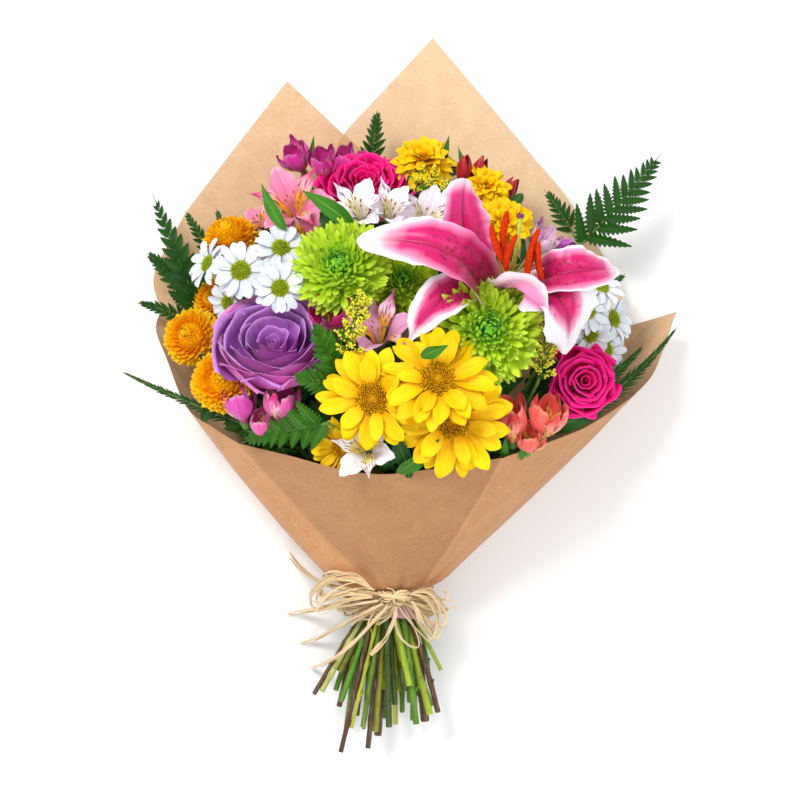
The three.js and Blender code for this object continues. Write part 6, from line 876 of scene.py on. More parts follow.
def pompon(bag, h, rng, kind, many=1.0):
    """Mum heads made of many quills: kind "spider" (long, incurved) or "button" (short, dense)."""
    R, base, M = h["R"], np.array(h["base"]), frame_of(h["n"], rng.uniform(0, 6.28))
    n = M[2]
    sp = kind == "spider"
    N = int((340 if sp else 270) * many)
    i = np.arange(N) + 0.5
    q = i / N                                   # 0 middle, 1 outermost
    phi = (0.04 + 1.80 * q**0.62) if sp else (0.03 + 2.0 * q**0.55)
    az = i * GOLD
    core = R * (0.14 if sp else 0.50)
    zc = R * (0.24 if sp else 0.56)
    d = np.stack([np.sin(phi) * np.cos(az), np.sin(phi) * np.sin(az), np.cos(phi)], 1)
    d[:, 2] = np.maximum(d[:, 2], -0.55)
    up = np.stack([-np.cos(phi) * np.cos(az), -np.cos(phi) * np.sin(az), np.sin(phi)], 1)   # towards the axis
    org = np.array([0, 0, zc]) + unit(d) * core
    v = np.linspace(0, 1, 9 if sp else 8)
    if sp:
        L = R * (0.36 + 0.60 * smooth(q, 0.0, 0.75)) * rng.uniform(0.90, 1.06, N)
        start = -0.38 + 0.16 * q
        hook = (1.45 - 0.35 * q) * rng.uniform(0.55, 1.25, N)
        th = start[:, None] + hook[:, None] * smooth(v, 0.25, 1.0)[None] + rng.normal(0, 0.06, (N, 1))
        half = R * (0.046 + 0.042 * smooth(q, 0.05, 0.8)) * rng.uniform(0.85, 1.15, N)
        w = (0.52 + 0.48 * smooth(v, 0.25, 0.80)) * np.sqrt(np.clip(1 - smooth(v, 0.84, 1.03) ** 2, 0.04, 1))
        roll = 1.55 - 0.85 * smooth(v, 0.55, 1.0)
        for m, sel in ((M_GHEART, q < 0.07), (M_GMID, (q >= 0.07) & (q < 0.22)), (M_GREEN, q >= 0.22)):
            blades(bag, m, to_world(org[sel], base, M), d[sel] @ M, up[sel] @ M, L[sel], half[sel], th[sel], w, roll, nu=5, nv=8, tip=0.03, sway=rng.normal(0, 0.07, sel.sum()), rng=rng)
    else:
        L = R * (0.26 + 0.24 * smooth(q, 0.0, 0.8)) * rng.uniform(0.88, 1.08, N)
        th = (-0.10 + 0.65 * (1 - q))[:, None] * np.ones_like(v) + (0.62 * rng.uniform(0.5, 1.2, (N, 1))) * smooth(v, 0.3, 1.0)[None] + rng.normal(0, 0.09, (N, 1))
        half = R * (0.066 + 0.062 * smooth(q, 0.05, 0.7)) * rng.uniform(0.85, 1.15, N)
        w = (0.55 + 0.45 * smooth(v, 0.2, 0.75)) * np.sqrt(np.clip(1 - smooth(v, 0.80, 1.03) ** 2, 0.04, 1))
        blades(bag, M_ORANGE, to_world(org, base, M), d @ M, up @ M, L, half, th, w, 0.95 - 0.25 * smooth(v, 0.5, 1.0), nu=5, nv=7, tip=0.05, sway=rng.normal(0, 0.08, N), rng=rng)
    lathe(bag, M_GHEART if sp else M_ORANGE, base, M, [(0.3, zc - core), (core * 0.9, zc - core * 0.4), (core, zc), (core * 0.8, zc + core * 0.6), (0.3, zc + core)], 12, rnd=0.2)
    lathe(bag, M_CALYX, base, M, [(1.3, -0.8), (R * 0.12, 0.6), (R * 0.22, R * 0.12), (R * 0.30, R * 0.24 if sp else R * 0.34), (R * 0.1, R * 0.3)], 14)
    k = 14
    a = np.arange(k) / k * 2 * math.pi
    dd = np.cos(a)[:, None] * M[0] + np.sin(a)[:, None] * M[1]
    vv = np.linspace(0, 1, 5)
    blades(bag, M_CALYX, base + dd * R * 0.08 + n * 0.5, unit(dd + n * 0.5), n - dd * 0.5, R * 0.34, R * 0.07, 0.1 + 0.5 * vv, 1 - 0.7 * vv, 0.5, nu=2, nv=4, rng=rng)


ROSES = {
    # petals in the turn, place of the first, radius and height of the rim, half angle, lip, roll, point
    "rose_lavender": ((2, 0.4, 0.05, 0.80, 1.75, 0.0, 0.0, 0.0), (3, 1.3, 0.12, 0.82, 1.40, 0.02, 0.6, 0.5), (3, 0.1, 0.26, 0.84, 1.22, 0.05, 1.0, 0.9), (3, 2.4, 0.44, 0.90, 1.30, 0.05, 0.8, 1.2),
                      (4, 0.3, 0.61, 0.92, 1.12, 0.06, 0.9, 1.2), (4, 1.0, 0.76, 0.93, 1.16, 0.08, 1.1, 1.3), (5, 0.2, 0.89, 0.89, 1.02, 0.10, 1.3, 1.2), (5, 0.9, 0.98, 0.80, 1.02, 0.13, 1.5, 0.9)),
    "rose_magenta_right": ((2, 0.4, 0.06, 0.76, 1.75, 0.0, 0.0, 0.0), (3, 1.3, 0.14, 0.80, 1.35, 0.06, 1.4, 0.1), (3, 0.1, 0.26, 0.84, 1.28, 0.10, 1.7, 0.1), (3, 2.0, 0.42, 0.86, 1.30, 0.13, 1.8, 0.1),
                           (4, 0.6, 0.59, 0.82, 1.14, 0.16, 1.9, 0.1), (5, 0.9, 0.78, 0.70, 1.00, 0.21, 1.9, 0.15), (5, 0.3, 0.92, 0.50, 0.98, 0.24, 1.9, 0.15)),
    "rose_magenta_top": ((2, 0.4, 0.05, 0.78, 1.75, 0.0, 0.0, 0.0), (3, 1.3, 0.12, 0.80, 1.20, 0.03, 0.8, 0.2), (4, 0.1, 0.22, 0.82, 0.95, 0.06, 1.0, 0.3), (5, 2.0, 0.34, 0.83, 0.80, 0.08, 1.2, 0.3),
                         (6, 0.6, 0.48, 0.82, 0.72, 0.10, 1.3, 0.4), (6, 0.2, 0.62, 0.78, 0.72, 0.13, 1.5, 0.4), (6, 0.9, 0.77, 0.68, 0.74, 0.16, 1.7, 0.4), (6, 0.3, 0.92, 0.50, 0.78, 0.18, 1.8, 0.4)),
}


def rose(bag, h, rng, mat, node, wave=1.0, wet=0, outer=None, flat=0.16):
    """Turns of petals round a small heart, each a cup that stands up from the base and rolls back at its lip."""
    R, base, M = h["R"], np.array(h["base"]), frame_of(h["n"])
    nu, nb, nl = 20, 14, 7
    x = np.linspace(-1, 1, nu + 1)
    ax = np.abs(x)
    v = np.r_[np.linspace(0, 0.86, nb + 1), 0.86 + 0.14 * np.arange(1, nl + 1) / nl][:, None]
    spots, ups = [], []
    rows = ROSES[node]
    for row, (cnt, first, rim, high, half, lip, roll, point) in enumerate(rows):
        q = min(1.0, rim / 0.9)
        for k in range(cnt):
            th0 = first + k / cnt * 6.2832 + rng.normal(0, 0.12)
            rt = R * rim * rng.uniform(0.92, 1.08)
            zt = R * high * rng.uniform(0.97, 1.03)
            rb = R * (0.02 + 0.13 * q)
            end = 1 - (0.05 + 0.13 * q) * ax**2.6                      # rounded shoulders
            s = np.linspace(0, 1, nb + 1)[:, None] * end
            cr, cz = rb + (rt - rb) * (0.72 + 0.40 * q), zt * (0.54 - 0.24 * q)
            r = (1 - s) ** 2 * rb + 2 * s * (1 - s) * cr + s * s * rt
            z = 2 * s * (1 - s) * cz + s * s * zt
            # the lip goes on from the rim and turns outwards, longest at its point
            up0 = np.arctan2(2 * (1 - end) * cz + 2 * end * (zt - cz), 2 * (1 - end) * (cr - rb) + 2 * end * (rt - cr))
            step = R * lip * (1 + 0.9 * point * np.exp(-((x / 0.20) ** 2)) - 0.25 * ax**3) / nl
            turn = roll * (0.80 + 0.35 * ax**2) * rng.uniform(0.85, 1.15)
            for i in range(1, nl + 1):
                b = up0 - turn * (i - 0.5) / nl
                r = np.vstack([r, r[-1] + np.cos(b) * step])
                z = np.vstack([z, z[-1] + np.sin(b) * step])
            grow = smooth(v, 0.1, 0.86)
            r = r * (1 + flat * q * x**2 * grow)                       # flatter than the circle they stand on
            r = r + R * 0.05 * q * x * grow                            # one side tucks under the next petal
            p1, p2, p3 = rng.uniform(0, 6.28, 3)
            amp = R * (0.004 + 0.016 * q) * wave
            r = r + amp * np.sin(2.6 * x + p1) * v**2 + amp * 0.55 * np.sin(7.0 * x + p2) * v**5
            z = z + amp * 0.9 * np.sin(3.6 * x + p3) * v**3 + amp * 0.4 * np.sin(9.0 * x + p1) * v**6
            r = r - R * 0.008 * np.exp(-((x / 0.09) ** 2)) * smooth(v, 0.15, 0.6) * (q > 0.2)
            ang = th0 + x * half * (0.52 + 0.48 * smooth(v, 0.0, 0.5)) * (1 - 0.07 * smooth(v, 0.86, 1.0))
            P = np.stack([r * np.cos(ang), r * np.sin(ang), z], -1)
            pt = np.stack([x + 0 * v, v + 0 * x, np.full_like(r, rng.uniform(0, 1))], -1)
            W = to_world(P, base, M)
            bag.add(W, grid(1, nb + nl, nu)[:, ::-1], outer if outer and row >= len(rows) - 1 else mat, pt)
            if q > 0.3:
                for _ in range(wet):
                    i, j = int(rng.uniform(0.55, 0.93) * (nb + nl)), int(rng.uniform(0.10, 0.90) * nu)
                    nn = unit(np.cross(W[i, j + 1] - W[i, j], W[i + 1, j] - W[i, j]))
                    nn = nn if nn[2] > 0 else -nn
                    if nn[2] > 0.35:
                        spots.append(W[i, j] + nn * 0.1)
                        ups.append(nn)
    if spots:
        drops(bag, spots, ups, rng)
    # the crowded lower part of the petals, closed all round
    for wide, ml in ((0.84, mat), (1.0, outer or mat)):
        lathe(bag, ml, base, M, [(R * a_ * wide, R * z_) for a_, z_ in ((0.01, 0.05), (0.16, 0.06), (0.30, 0.10), (0.47, 0.20), (0.62, 0.34), (0.72, 0.50))][: (6 if wide == 1 else 5) if rows[-1][3] > 0.7 else 4], 40)
    # green cup with five long sepals
    lathe(bag, M_CALYX, base, M, [(2.2, -1.5), (R * 0.13, -0.4), (R * 0.22, R * 0.035), (R * 0.28, R * 0.07)], 14)
    a = np.arange(5) / 5 * 2 * math.pi
    d = np.cos(a)[:, None] * M[0] + np.sin(a)[:, None] * M[1]
    vv = np.linspace(0, 1, 9)
    blades(bag, M_CALYX, base + d * R * 0.1 + M[2] * R * 0.05, unit(d + M[2] * 0.35), M[2] - d * 0.3, R * 0.62, R * 0.12, 0.5 - 0.9 * vv, (1 - vv) ** 0.7 + 0.04, 0.5, nu=4, nv=8, edge=0.8, rng=rng)


def alstro(bag, h, rng, mat, wide=1.0):
    """A trumpet of three broad outer and three narrow streaked inner petals."""
    R, base, M = h["R"], np.array(h["base"]), frame_of(h["n"], rng.uniform(0, 6.28))
    n = M[2]
    v = np.linspace(0, 1, 15)
    open_ = rng.uniform(0.9, 1.08) * wide
    for ring, (cnt, off, wid, length, zs) in enumerate(((3, 0.0, 0.44, 1.0, 1.0), (3, 0.5, 0.29, 1.05, -1.0))):
        a = (np.arange(cnt) + off) / cnt * 2 * math.pi + rng.normal(0, 0.05, cnt)
        d = np.cos(a)[:, None] * M[0] + np.sin(a)[:, None] * M[1]
        org = base + d * R * 0.08 + n * R * (0.16 + 0.03 * ring)
        # starts nearly along the axis, then opens outwards
        th = -(0.18 + (1.0 if ring == 0 else 0.86) * open_ * smooth(v, 0.12, 0.95)) + rng.normal(0, 0.06, (cnt, 1))
        if wide < 0.55:
            th = -0.45 * smooth(v, 0.0, 0.2) + 1.27 * (1 - (wide - 0.35) * 2.5) * smooth(v, 0.2, 1.0) + rng.normal(0, 0.08, (cnt, 1))
        w = (0.16 + 0.84 * smooth(v, 0.0, 0.62) ** 1.1) * (1 - (0.62 if wide > 0.55 else 0.42) * smooth(v, 0.72, 1.0) ** 1.4) if ring == 0 else (0.22 + 0.78 * smooth(v, 0.05, 0.7)) * (1 - (0.85 if wide > 0.55 else 0.62) * smooth(v, 0.66, 1.0) ** 1.2)
        blades(bag, mat, org, unit(n + d * 0.28), n * 0.28 - d, R * 1.60 * length * rng.uniform(0.95, 1.05, cnt), R * wid * (1.22 if wide < 0.55 else 1.0) * rng.uniform(0.92, 1.06, cnt), th, w, (0.62 if ring == 0 else 0.85) + (0.45 if wide < 0.55 else 0.0), nu=8, nv=14, tip=0.10 if wide > 0.55 else 0.07, edge=R * 0.05, freq=1.7, pleat=R * 0.020, pleats=2.0, rng=rng, zsign=zs, notch=0.02 if ring == 0 else 0.0)
    lathe(bag, M_CALYX, base, M, [(1.2, -1.0), (R * 0.14, 1.0), (R * 0.16, R * 0.16), (R * 0.11, R * 0.28)], 12, lobes=6, depth=0.18)
    for k in range(6):
        a = k / 6 * 2 * math.pi + 0.4
        d = math.cos(a) * M[0] + math.sin(a) * M[1]
        e = base + n * R * (1.05 + 0.1 * rng.uniform()) * (0.8 if wide < 0.55 else 1.0) + d * R * (0.08 if wide < 0.55 else 0.20)
        line = bez(base + n * R * 0.3 + d * R * 0.04, base + n * R * 0.75 + d * R * 0.13, e, np.linspace(0, 1, 8))
        tube(bag, M_FILA, line, 0.32, 5)
        buds(bag, M_POLLEN, e - n * 0.2, n + d * 0.4, 0.75, 2.6, seg=6, dome=(0.6, 1.0, 0.9, 0.2))


def bud(bag, h, rng, mat):
    R, base, M = h["R"], np.array(h["base"]), frame_of(h["n"], rng.uniform(0, 6.28))
    n = M[2]
    v = np.linspace(0, 1, 13)
    for cnt, off, rr in ((3, 0.0, 0.62), (3, 0.5, 0.72)):
        a = (np.arange(cnt) + off) / cnt * 2 * math.pi
        d = np.cos(a)[:, None] * M[0] + np.sin(a)[:, None] * M[1]
        th = -0.40 + 0.95 * smooth(v, 0.05, 0.95) + 0 * a[:, None]
        w = np.sin(np.pi * np.clip(0.10 + v * 0.84, 0, 1)) ** 0.8
        blades(bag, mat, base + d * 1.0 + n * 1.5, unit(n + d * 0.12), -d, 25.0 * rr / 0.72, R * 0.95, th, w, 1.1, nu=6, nv=12, tip=0.05, sway=0.06, rng=rng, pleat=0.15, pleats=1.0)
    lathe(bag, M_CALYX, base, M, [(1.0, -0.8), (2.2, 1.2), (2.6, 3.4), (1.6, 5.0)], 10, lobes=6, depth=0.2)


def lily(bag, h, rng):
    base, n = np.array(h["base"]), np.array(h["n"])
    heart = np.array(h["heart"])
    nu, nv = 34, 58
    x = np.linspace(-1, 1, nu + 1)
    v = np.linspace(0, 1, nv + 1)
    mat = lily_mat()
    for k, q in enumerate(h["petals"]):
        P0, T = bez(q["a"], q["m"], q["b"], v), bezd(q["a"], q["m"], q["b"], v)
        up = unit(q["up"])
        side = unit(np.cross(T, up))
        nn = unit(np.cross(side, T))
        outer = k in (0, 2, 4)                            # outer petals are the narrow ones
        grow = (1.10, 1.14, 1.16, 1.10, 1.24, 1.75)[k]
        w = q["w"] * grow * (0.16 + 0.84 * np.sin(np.pi * np.clip(0.03 + v * 0.955, 0, 1)) ** (0.80 if not outer else 0.95) + (0.20, 0.42, 0.1, 0.0, 0.0, 0.2)[k] * (1 - smooth(v, 0.05, 0.45)))
        w = w * (1 - 0.30 * smooth(v, 0.86, 1.0))
        if k == 4:                                        # the lower right one is blunt
            w = w * (1 + 0.75 * smooth(v, 0.45, 0.95))
        if k == 1:                                        # so is the one that arches to the left
            w = w * (1 + 0.12 * smooth(v, 0.45, 0.85)) + q["w"] * 0.27 * smooth(v, 0.72, 0.98)
        if k == 0:                                        # the upright one is a broad strap
            w = w * (1 + 0.22 * smooth(v, 0.5, 0.85)) + q["w"] * 0.52 * smooth(v, 0.70, 0.98)
        cupa = np.interp(v, [0, 0.35, 0.75, 1], [1.25, 0.70, 0.10, -0.55])  # closes round the throat, rolls back at the tip
        cupa = cupa + 0.10 * np.sin(v * 7 + k)
        cupa = np.where(np.abs(cupa) < 0.04, 0.04, cupa)
        ang = cupa[:, None] * x
        rad = (w / cupa)[:, None]
        ax = np.abs(x)[None]
        P = P0[:, None] + side[:, None] * (rad * np.sin(ang))[..., None] + nn[:, None] * (rad * (1 - np.cos(ang)))[..., None]
        # midrib groove, and frilled rim
        ph = rng.uniform(0, 6.28, 4)
        groove = -1.7 * np.exp(-((x[None] / 0.10) ** 2)) * smooth(v, 0.0, 0.15)[:, None] * (1 - smooth(v, 0.85, 1.0))[:, None]
        swell = 1.1 * np.exp(-(((ax - 0.34) / 0.2) ** 2)) * np.sin(np.pi * v)[:, None]
        frill = (np.sin(v[:, None] * 21 + ph[0] + np.sign(x)[None] * 1.7) * 1.5 + np.sin(v[:, None] * 47 + ph[1] - np.sign(x)[None]) * 0.7) * ax**3 * smooth(v, 0.10, 0.35)[:, None]
        ripple = 0.35 * np.sin(x[None] * 9 + ph[2]) * np.sin(v[:, None] * 12 + ph[3]) * (1 - ax)
        P = P + nn[:, None] * (groove + swell + frill + ripple)[..., None]
        if k in (0, 1, 4):
            P = P - T[:, None] * (np.linalg.norm(P0[-1] - P0[0]) * 0.075 * ax**2.2 * smooth(v, 0.6, 1.0)[:, None])[..., None]
        pt = np.empty(P.shape)
        pt[..., 0] = x
        pt[..., 1] = v[:, None]
        pt[..., 2] = k / 6 + 0.05
        bag.add(P, grid(1, nv, nu), mat, pt, ((0.04, 0.84, 0.93), (0.22, 0.76, 0.82), (0.26, 1.0, 0.90), (0.02, 0.95, 0.90), (0.52, 0.96, 0.88), (0.12, 1.0, 0.90))[k])
        # small raised bumps on the inner half of the petal
        rows = rng.uniform(0.10, 0.55, 34)
        cols = rng.uniform(-0.5, 0.5, 34)
        iv, ix = (rows * nv).astype(int), ((cols + 1) / 2 * nu).astype(int)
        at = P[iv, ix]
        dirs = nn[iv]
        buds(bag, M_MAGDEEP, at - dirs * 0.15, dirs + rng.normal(0, 0.15, dirs.shape), 0.42, 1.0, seg=5, dome=(1.0, 0.9, 0.6, 0.1))
    for k, q in enumerate(h["anthers"]):
        m_, b_ = np.array(q["m"]), np.array(q["b"])
        line = bez(heart, m_, b_, np.linspace(0, 1, 22))
        tip = line[16]
        last = k == len(h["anthers"]) - 1
        if last:                                          # the style, with its three-lobed stigma
            tube(bag, M_STYLE, line, np.linspace(1.8, 1.5, len(line)), 8)
            for j in range(3):
                a = j / 3 * 6.283
                T, A, B = frames_along(line)
                o = line[-1] + (A[-1] * math.cos(a) + B[-1] * math.sin(a)) * 1.3
                buds(bag, M_STIG, o - T[-1] * 1.2, T[-1], 1.7, 3.0, seg=8, dome=(0.7, 1.0, 0.9, 0.3))
            continue
        tube(bag, M_FILA, line[:19], np.linspace(1.15, 0.6, 19), 8)
        # a long pollen-covered anther, balanced across its filament
        T = unit(line[-1] - line[-6])
        acr = unit([(-0.42, 1.0, 0.30), (0.05, 1.0, 0.25), (0.30, 1.0, 0.40), (0.22, 1.0, 0.20), (0.06, 1.0, 0.35), (-0.12, 1.0, 0.30)][k % 6])
        c = line[17]
        s = np.linspace(-1, 1, 16)
        bend = unit(np.cross(acr, [0, 0, 1.0]))
        pts = c + acr * (s * (16.0 if k < 2 else 13.0))[:, None] + bend * (1.8 * s**2)[:, None]
        rad = (3.15 if k < 2 else 2.85) * np.sqrt(np.clip(1 - (np.abs(s) * 0.96) ** 3.5, 0.02, 1))
        tube(bag, M_ANTHER, pts, rad, 12, shape=lambda s_, a_: 1 - 0.20 * np.exp(-((np.sin(a_ / 2) / 0.28) ** 2)) + 0.05 * np.sin(s_ * 5.1 + a_ * 3), flat=0.8)
    # trumpet of the throat
    M = frame_of(n)
    lathe(bag, M_THROAT, base, M, [(3.2, -1.0), (4.4, 6), (5.2, 18), (6.6, 34), (6.6, 44), (3.0, 44.5)], 24, lobes=6, depth=0.10)


# ------------------------------------------------------------------ stems, leaves and fronds
TINTS = {
    "lime": lin(154, 178, 40), "green": lin(98, 134, 32), "thick": lin(88, 146, 34), "dark": lin(58, 84, 26),
    "olive": lin(122, 124, 48), "yellow": lin(180, 182, 52), "pale": lin(186, 188, 108), "brown": lin(92, 64, 46), "redbrown": lin(84, 46, 40),
}


def stem(bag, node, d, rng):
    """The stem from its cut end to its head: nodes, leaf scars and a paler cut face."""
    tone = TINTS[D["tone"][node]]
    r = d["r"] * 0.96
    foot = 1.35 if node in ("fern_front_left", "fern_left_rim", "solidago_centre") else 1.0
    p = catmull(d["stem"], 7)
    s = np.r_[0, np.cumsum(np.linalg.norm(np.diff(p, axis=0), axis=1))]
    n = len(p)
    kind = d["kind"]
    taper = 1.0 - 0.22 * s / s[-1]
    lumps = 1 + (foot - 1) * (1 - smooth(s, 60, 120))
    gap = {"rose": 34, "alstroemeria": 22}.get(kind, 26)
    at = np.arange(14 + rng.uniform(0, 10), s[-1] - 20, gap * rng.uniform(0.85, 1.15))
    for c in at:
        lumps += 0.36 * np.exp(-(((s - c) / 1.4) ** 2)) + 0.10 * np.exp(-(((s - c - 2.5) / 3.0) ** 2))
    wob = 1 + 0.03 * np.sin(s / 7 + rng.uniform(0, 6)) + 0.02 * np.sin(s / 3.1)
    ribs = 5 if kind in ("daisy", "button", "spider", "wdaisy") else 3
    upper = np.array(lin(104, 158, 56))
    mixin = smooth(s, 60, 190)[:, None]
    tint = np.array(tone) * (1 - mixin) + upper * mixin
    tint = tint * (1 + 0.10 * np.sin(s / 17 + rng.uniform(0, 6)))[:, None]
    tube(bag, M_STEM, p, r * taper * lumps * wob, 10, tint=tint, rnd=0.0, shape=lambda s_, a_: 1 + 0.05 * np.cos(a_ * ribs + s_ / 60) + 0.02 * np.sin(a_ * 3 + s_ / 5), cutz=True)
    # leaf scars: small torn stubs at the nodes below the tie
    T, A, B = frames_along(p)
    for j, c in enumerate(at):
        i = int(np.searchsorted(s, c))
        if i >= n - 2:
            continue
        a = j * GOLD + rng.uniform(0, 1)
        o = A[i] * math.cos(a) + B[i] * math.sin(a)
        if c < 85:
            L = rng.uniform(1.8, 4.2)
            tube(bag, M_STEM, np.array([p[i] + o * r * 0.7, p[i] + o * (r + L * 0.5) + T[i] * L * 0.5, p[i] + o * (r + L * 0.7) + T[i] * L]), [0.9, 0.75, 0.5], 6, tint=np.array(tone) * 0.8, rnd=0.0)
    return p, s, T, A, B, at


def leaf(bag, at, out, up, L, half, rng, kind="lance", mat=None, sag=0.6, twist=0.0):
    out, up = unit(out), unit(up)
    side = unit(np.cross(out, up))
    up = np.cross(side, out)
    if kind == "mum":            # lobed chrysanthemum leaf
        nv, nu = 30, 8
        v = np.linspace(0, 1, nv + 1)
        lob = 0.60 + 0.40 * np.abs(np.sin(v * math.pi * 3.6 + 0.5)) ** 0.6
        w = (np.sin(np.pi * np.clip(0.06 + 0.92 * v, 0, 1)) ** 0.75) * lob + 0.03
        w[:3] = [0.08, 0.09, 0.14]
        mat = mat or M_LEAFDK
        roll, edge = 0.35, 1.2
    elif kind == "rose":
        nv, nu = 28, 6
        v = np.linspace(0, 1, nv + 1)
        w = (np.sin(np.pi * np.clip(0.04 + 0.94 * v**0.9, 0, 1)) ** 0.8) * (1 - 0.08 * (np.arange(nv + 1) % 2)) + 0.02
        mat = mat or M_LEAFDK
        roll, edge = 0.30, 0.6
    else:
        nv, nu = 20, 6
        v = np.linspace(0, 1, nv + 1)
        w = np.sin(np.pi * np.clip(0.05 + 0.94 * v**0.80, 0, 1)) ** 1.05 + 0.02
        mat = mat or M_LEAFPAR
        roll, edge = 0.45, 0.8
    th = 0.25 - sag * smooth(v, 0.05, 1.0) + 0.10 * np.sin(v * 5 + rng.uniform(0, 6))
    blades(bag, mat, [at], out, up, L, half, th[None], w, roll, nu=nu, nv=nv, tip=0.0, edge=edge, freq=1.6, sway=rng.normal(0, 0.10), rng=rng)


# leaflet length over the frond's half width, leaflet width, distance between leaflets, lean towards the tip
PINNA = {"fern_right": (2.3, 1.15, 8.0, 0.66), "fern_left_rim": (3.6, 0.50, 4.4, 1.12), "fern_right_low": (3.2, 0.50, 4.2, 1.12), "fern_top": (1.75, 1.15, 5.0, 0.72), "fern_right_mid": (3.0, 0.7, 5.0, 0.95),
         "fern_front_left": (2.1, 1.35, 8.2, 0.62), "fern_centre": (2.1, 1.6, 7.6, 0.72), "fern_left_upper": (1.9, 1.45, 9.0, 0.80), "fern_left_low": (2.6, 0.95, 6.0, 0.90)}


def frond(bag, f, rng, node, mat=None):
    """Leatherleaf fern: a triangular frond of tapering leaflets with forward-pointing teeth."""
    mat = mat or M_FERN
    a, m, b = f["a"], f["m"], f["b"]
    wide, fat, gap, lean0 = PINNA.get(node, (1.6, 1.0, 6.4, 0.74))
    W = f["w"] * wide
    Lr = np.linalg.norm(np.array(b) - np.array(a))
    t = np.linspace(0, 1, 30)
    tube(bag, M_STEM, bez(a, m, b, t), np.linspace(1.10, 0.25, 30), 6, tint=lin(92, 122, 50), rnd=0.0)
    pairs = int(np.clip(Lr / gap, 8, 26))
    k = np.arange(pairs) + 0.5
    ts = np.cumsum(1 - 0.72 * k / pairs)                  # leaflets crowd together towards the tip
    ts = 0.03 + 0.955 * (ts - ts[0] * 0.6) / ts[-1]
    C, T = bez(a, m, b, ts), bezd(a, m, b, ts)
    up = unit(np.array([0, 0, 1.0]) + 0 * T)
    side = unit(np.cross(T, up))
    nn = unit(np.cross(side, T))
    step = np.gradient(ts) * Lr
    org, out, nup, LL, HH, rn = [], [], [], [], [], []
    for sg in (-1, 1):
        lean = lean0 + 0.20 * ts
        Lp = (W * (1 - ts) ** 0.86 * (0.80 + 0.20 * np.minimum(1, ts * 6)) + 1.8) * rng.uniform(0.92, 1.06, pairs)
        dp = unit(side * sg * np.cos(lean)[:, None] + T * np.sin(lean)[:, None] + nn * rng.normal(0.02, 0.07, pairs)[:, None])
        org.append(C + T * (step * 0.25 * sg)[:, None])
        out.append(dp)
        nup.append(nn + side * sg * 0.12 + rng.normal(0, 0.06, (pairs, 3)))
        LL.append(Lp)
        HH.append(np.minimum(step * 0.50 * fat, Lp * 0.36) + 0.25)
        rn.append(rng.uniform(0.2, 0.8, pairs))
    org.append(C[-1:] + T[-1:] * 0.4)
    out.append(T[-1:])
    nup.append(nn[-1:])
    LL.append(np.array([min(6.0, Lr * 0.09)]))
    HH.append(np.array([0.9]))
    rn.append(np.array([0.5]))
    org, out, nup = np.vstack(org), np.vstack(out), np.vstack(nup)
    teeth = 9
    nv = teeth * 3
    v = np.linspace(0, 1, nv + 1)
    saw = np.tile([0.46, 0.78, 1.0], teeth + 1)[: nv + 1]
    saw = 1 - (1 - saw) * (1 - 0.45 * v)
    w = (0.60 + 0.40 * smooth(v, 0.0, 0.10)) * (1 - v**1.5) ** 0.85 * saw + 0.02
    th = 0.14 - 0.40 * v + rng.normal(0, 0.07, (len(org), 1))
    sway = rng.normal(0.0, 0.04, len(org))
    blades(bag, mat, org, out, nup, np.concatenate(LL), np.concatenate(HH), th, w, 0.42, nu=4, nv=nv, tip=0.0, sway=sway, rnd=np.concatenate(rn), rng=rng)


def goldenrod(bag, f, rng):
    """Arching side branches crowded with small yellow heads on their upper side."""
    a, m, b, W = f["a"], f["m"], f["b"], f["w"] * (1.7 if f["a"][1] > 100 else 1.25)
    t = np.linspace(0, 1, 24)
    tube(bag, M_STEM, bez(a, m, b, t), np.linspace(1.2, 0.5, 24), 6, tint=lin(140, 160, 60), rnd=0.0)
    L = np.linalg.norm(np.array(b) - np.array(a))
    nb = max(14, int(L / 2.2))
    ts = 0.10 + 0.88 * (np.arange(nb) + 0.5) / nb
    C, T = bez(a, m, b, ts), bezd(a, m, b, ts)
    up = np.array([0, 0, 1.0])
    for i in range(nb):
        s = ts[i]
        az = i * GOLD + rng.uniform(-0.3, 0.3)
        A = unit(np.cross(T[i], up))
        B = np.cross(A, T[i])
        d = A * math.cos(az) + B * math.sin(az) * 0.8
        Lb = W * (1.10 - 0.85 * s) * rng.uniform(0.85, 1.1) + 2
        tip = C[i] + d * Lb * 0.85 + T[i] * Lb * 0.75 + up * Lb * 0.05
        q = np.linspace(0, 1, 8)
        line = bez(C[i], (C[i] + tip) / 2 + T[i] * Lb * 0.16 + d * Lb * 0.06, tip, q)
        tube(bag, M_CALYX, line, np.linspace(0.5, 0.25, 8), 4)
        k = max(9, int(Lb / 0.50))
        q = 0.12 + 0.88 * (np.arange(k) + rng.uniform(0, 0.6, k)) / k
        P, Tq = bez(C[i], (C[i] + tip) / 2 + T[i] * Lb * 0.16 + d * Lb * 0.06, tip, np.clip(q, 0, 1)), bezd(C[i], (C[i] + tip) / 2 + T[i] * Lb * 0.16 + d * Lb * 0.06, tip, np.clip(q, 0, 1))
        o = unit(rng.normal(0, 1, (k, 3)) + up * 0.9)
        o = unit(o - Tq * (o * Tq).sum(1)[:, None] * 0.5)
        buds(bag, M_BEAD, P + o * 0.7, unit(o + Tq * 0.7), rng.uniform(0.65, 1.05, k), rng.uniform(1.6, 2.6, k), seg=5, rng=rng, dome=(0.45, 0.8, 1.05, 0.75, 0.1), rise=(0.0, 0.3, 0.66, 0.9, 1.0))
    for i in range(0, nb, 3):             # narrow leaves
        s = ts[i]
        az = i * GOLD + 1.0
        A = unit(np.cross(T[i], up))
        B = np.cross(A, T[i])
        d = A * math.cos(az) + B * math.sin(az)
        if s < 0.7:
            leaf(bag, C[i], unit(d + T[i]), B, 13, 1.5, rng, "lance", sag=0.3)


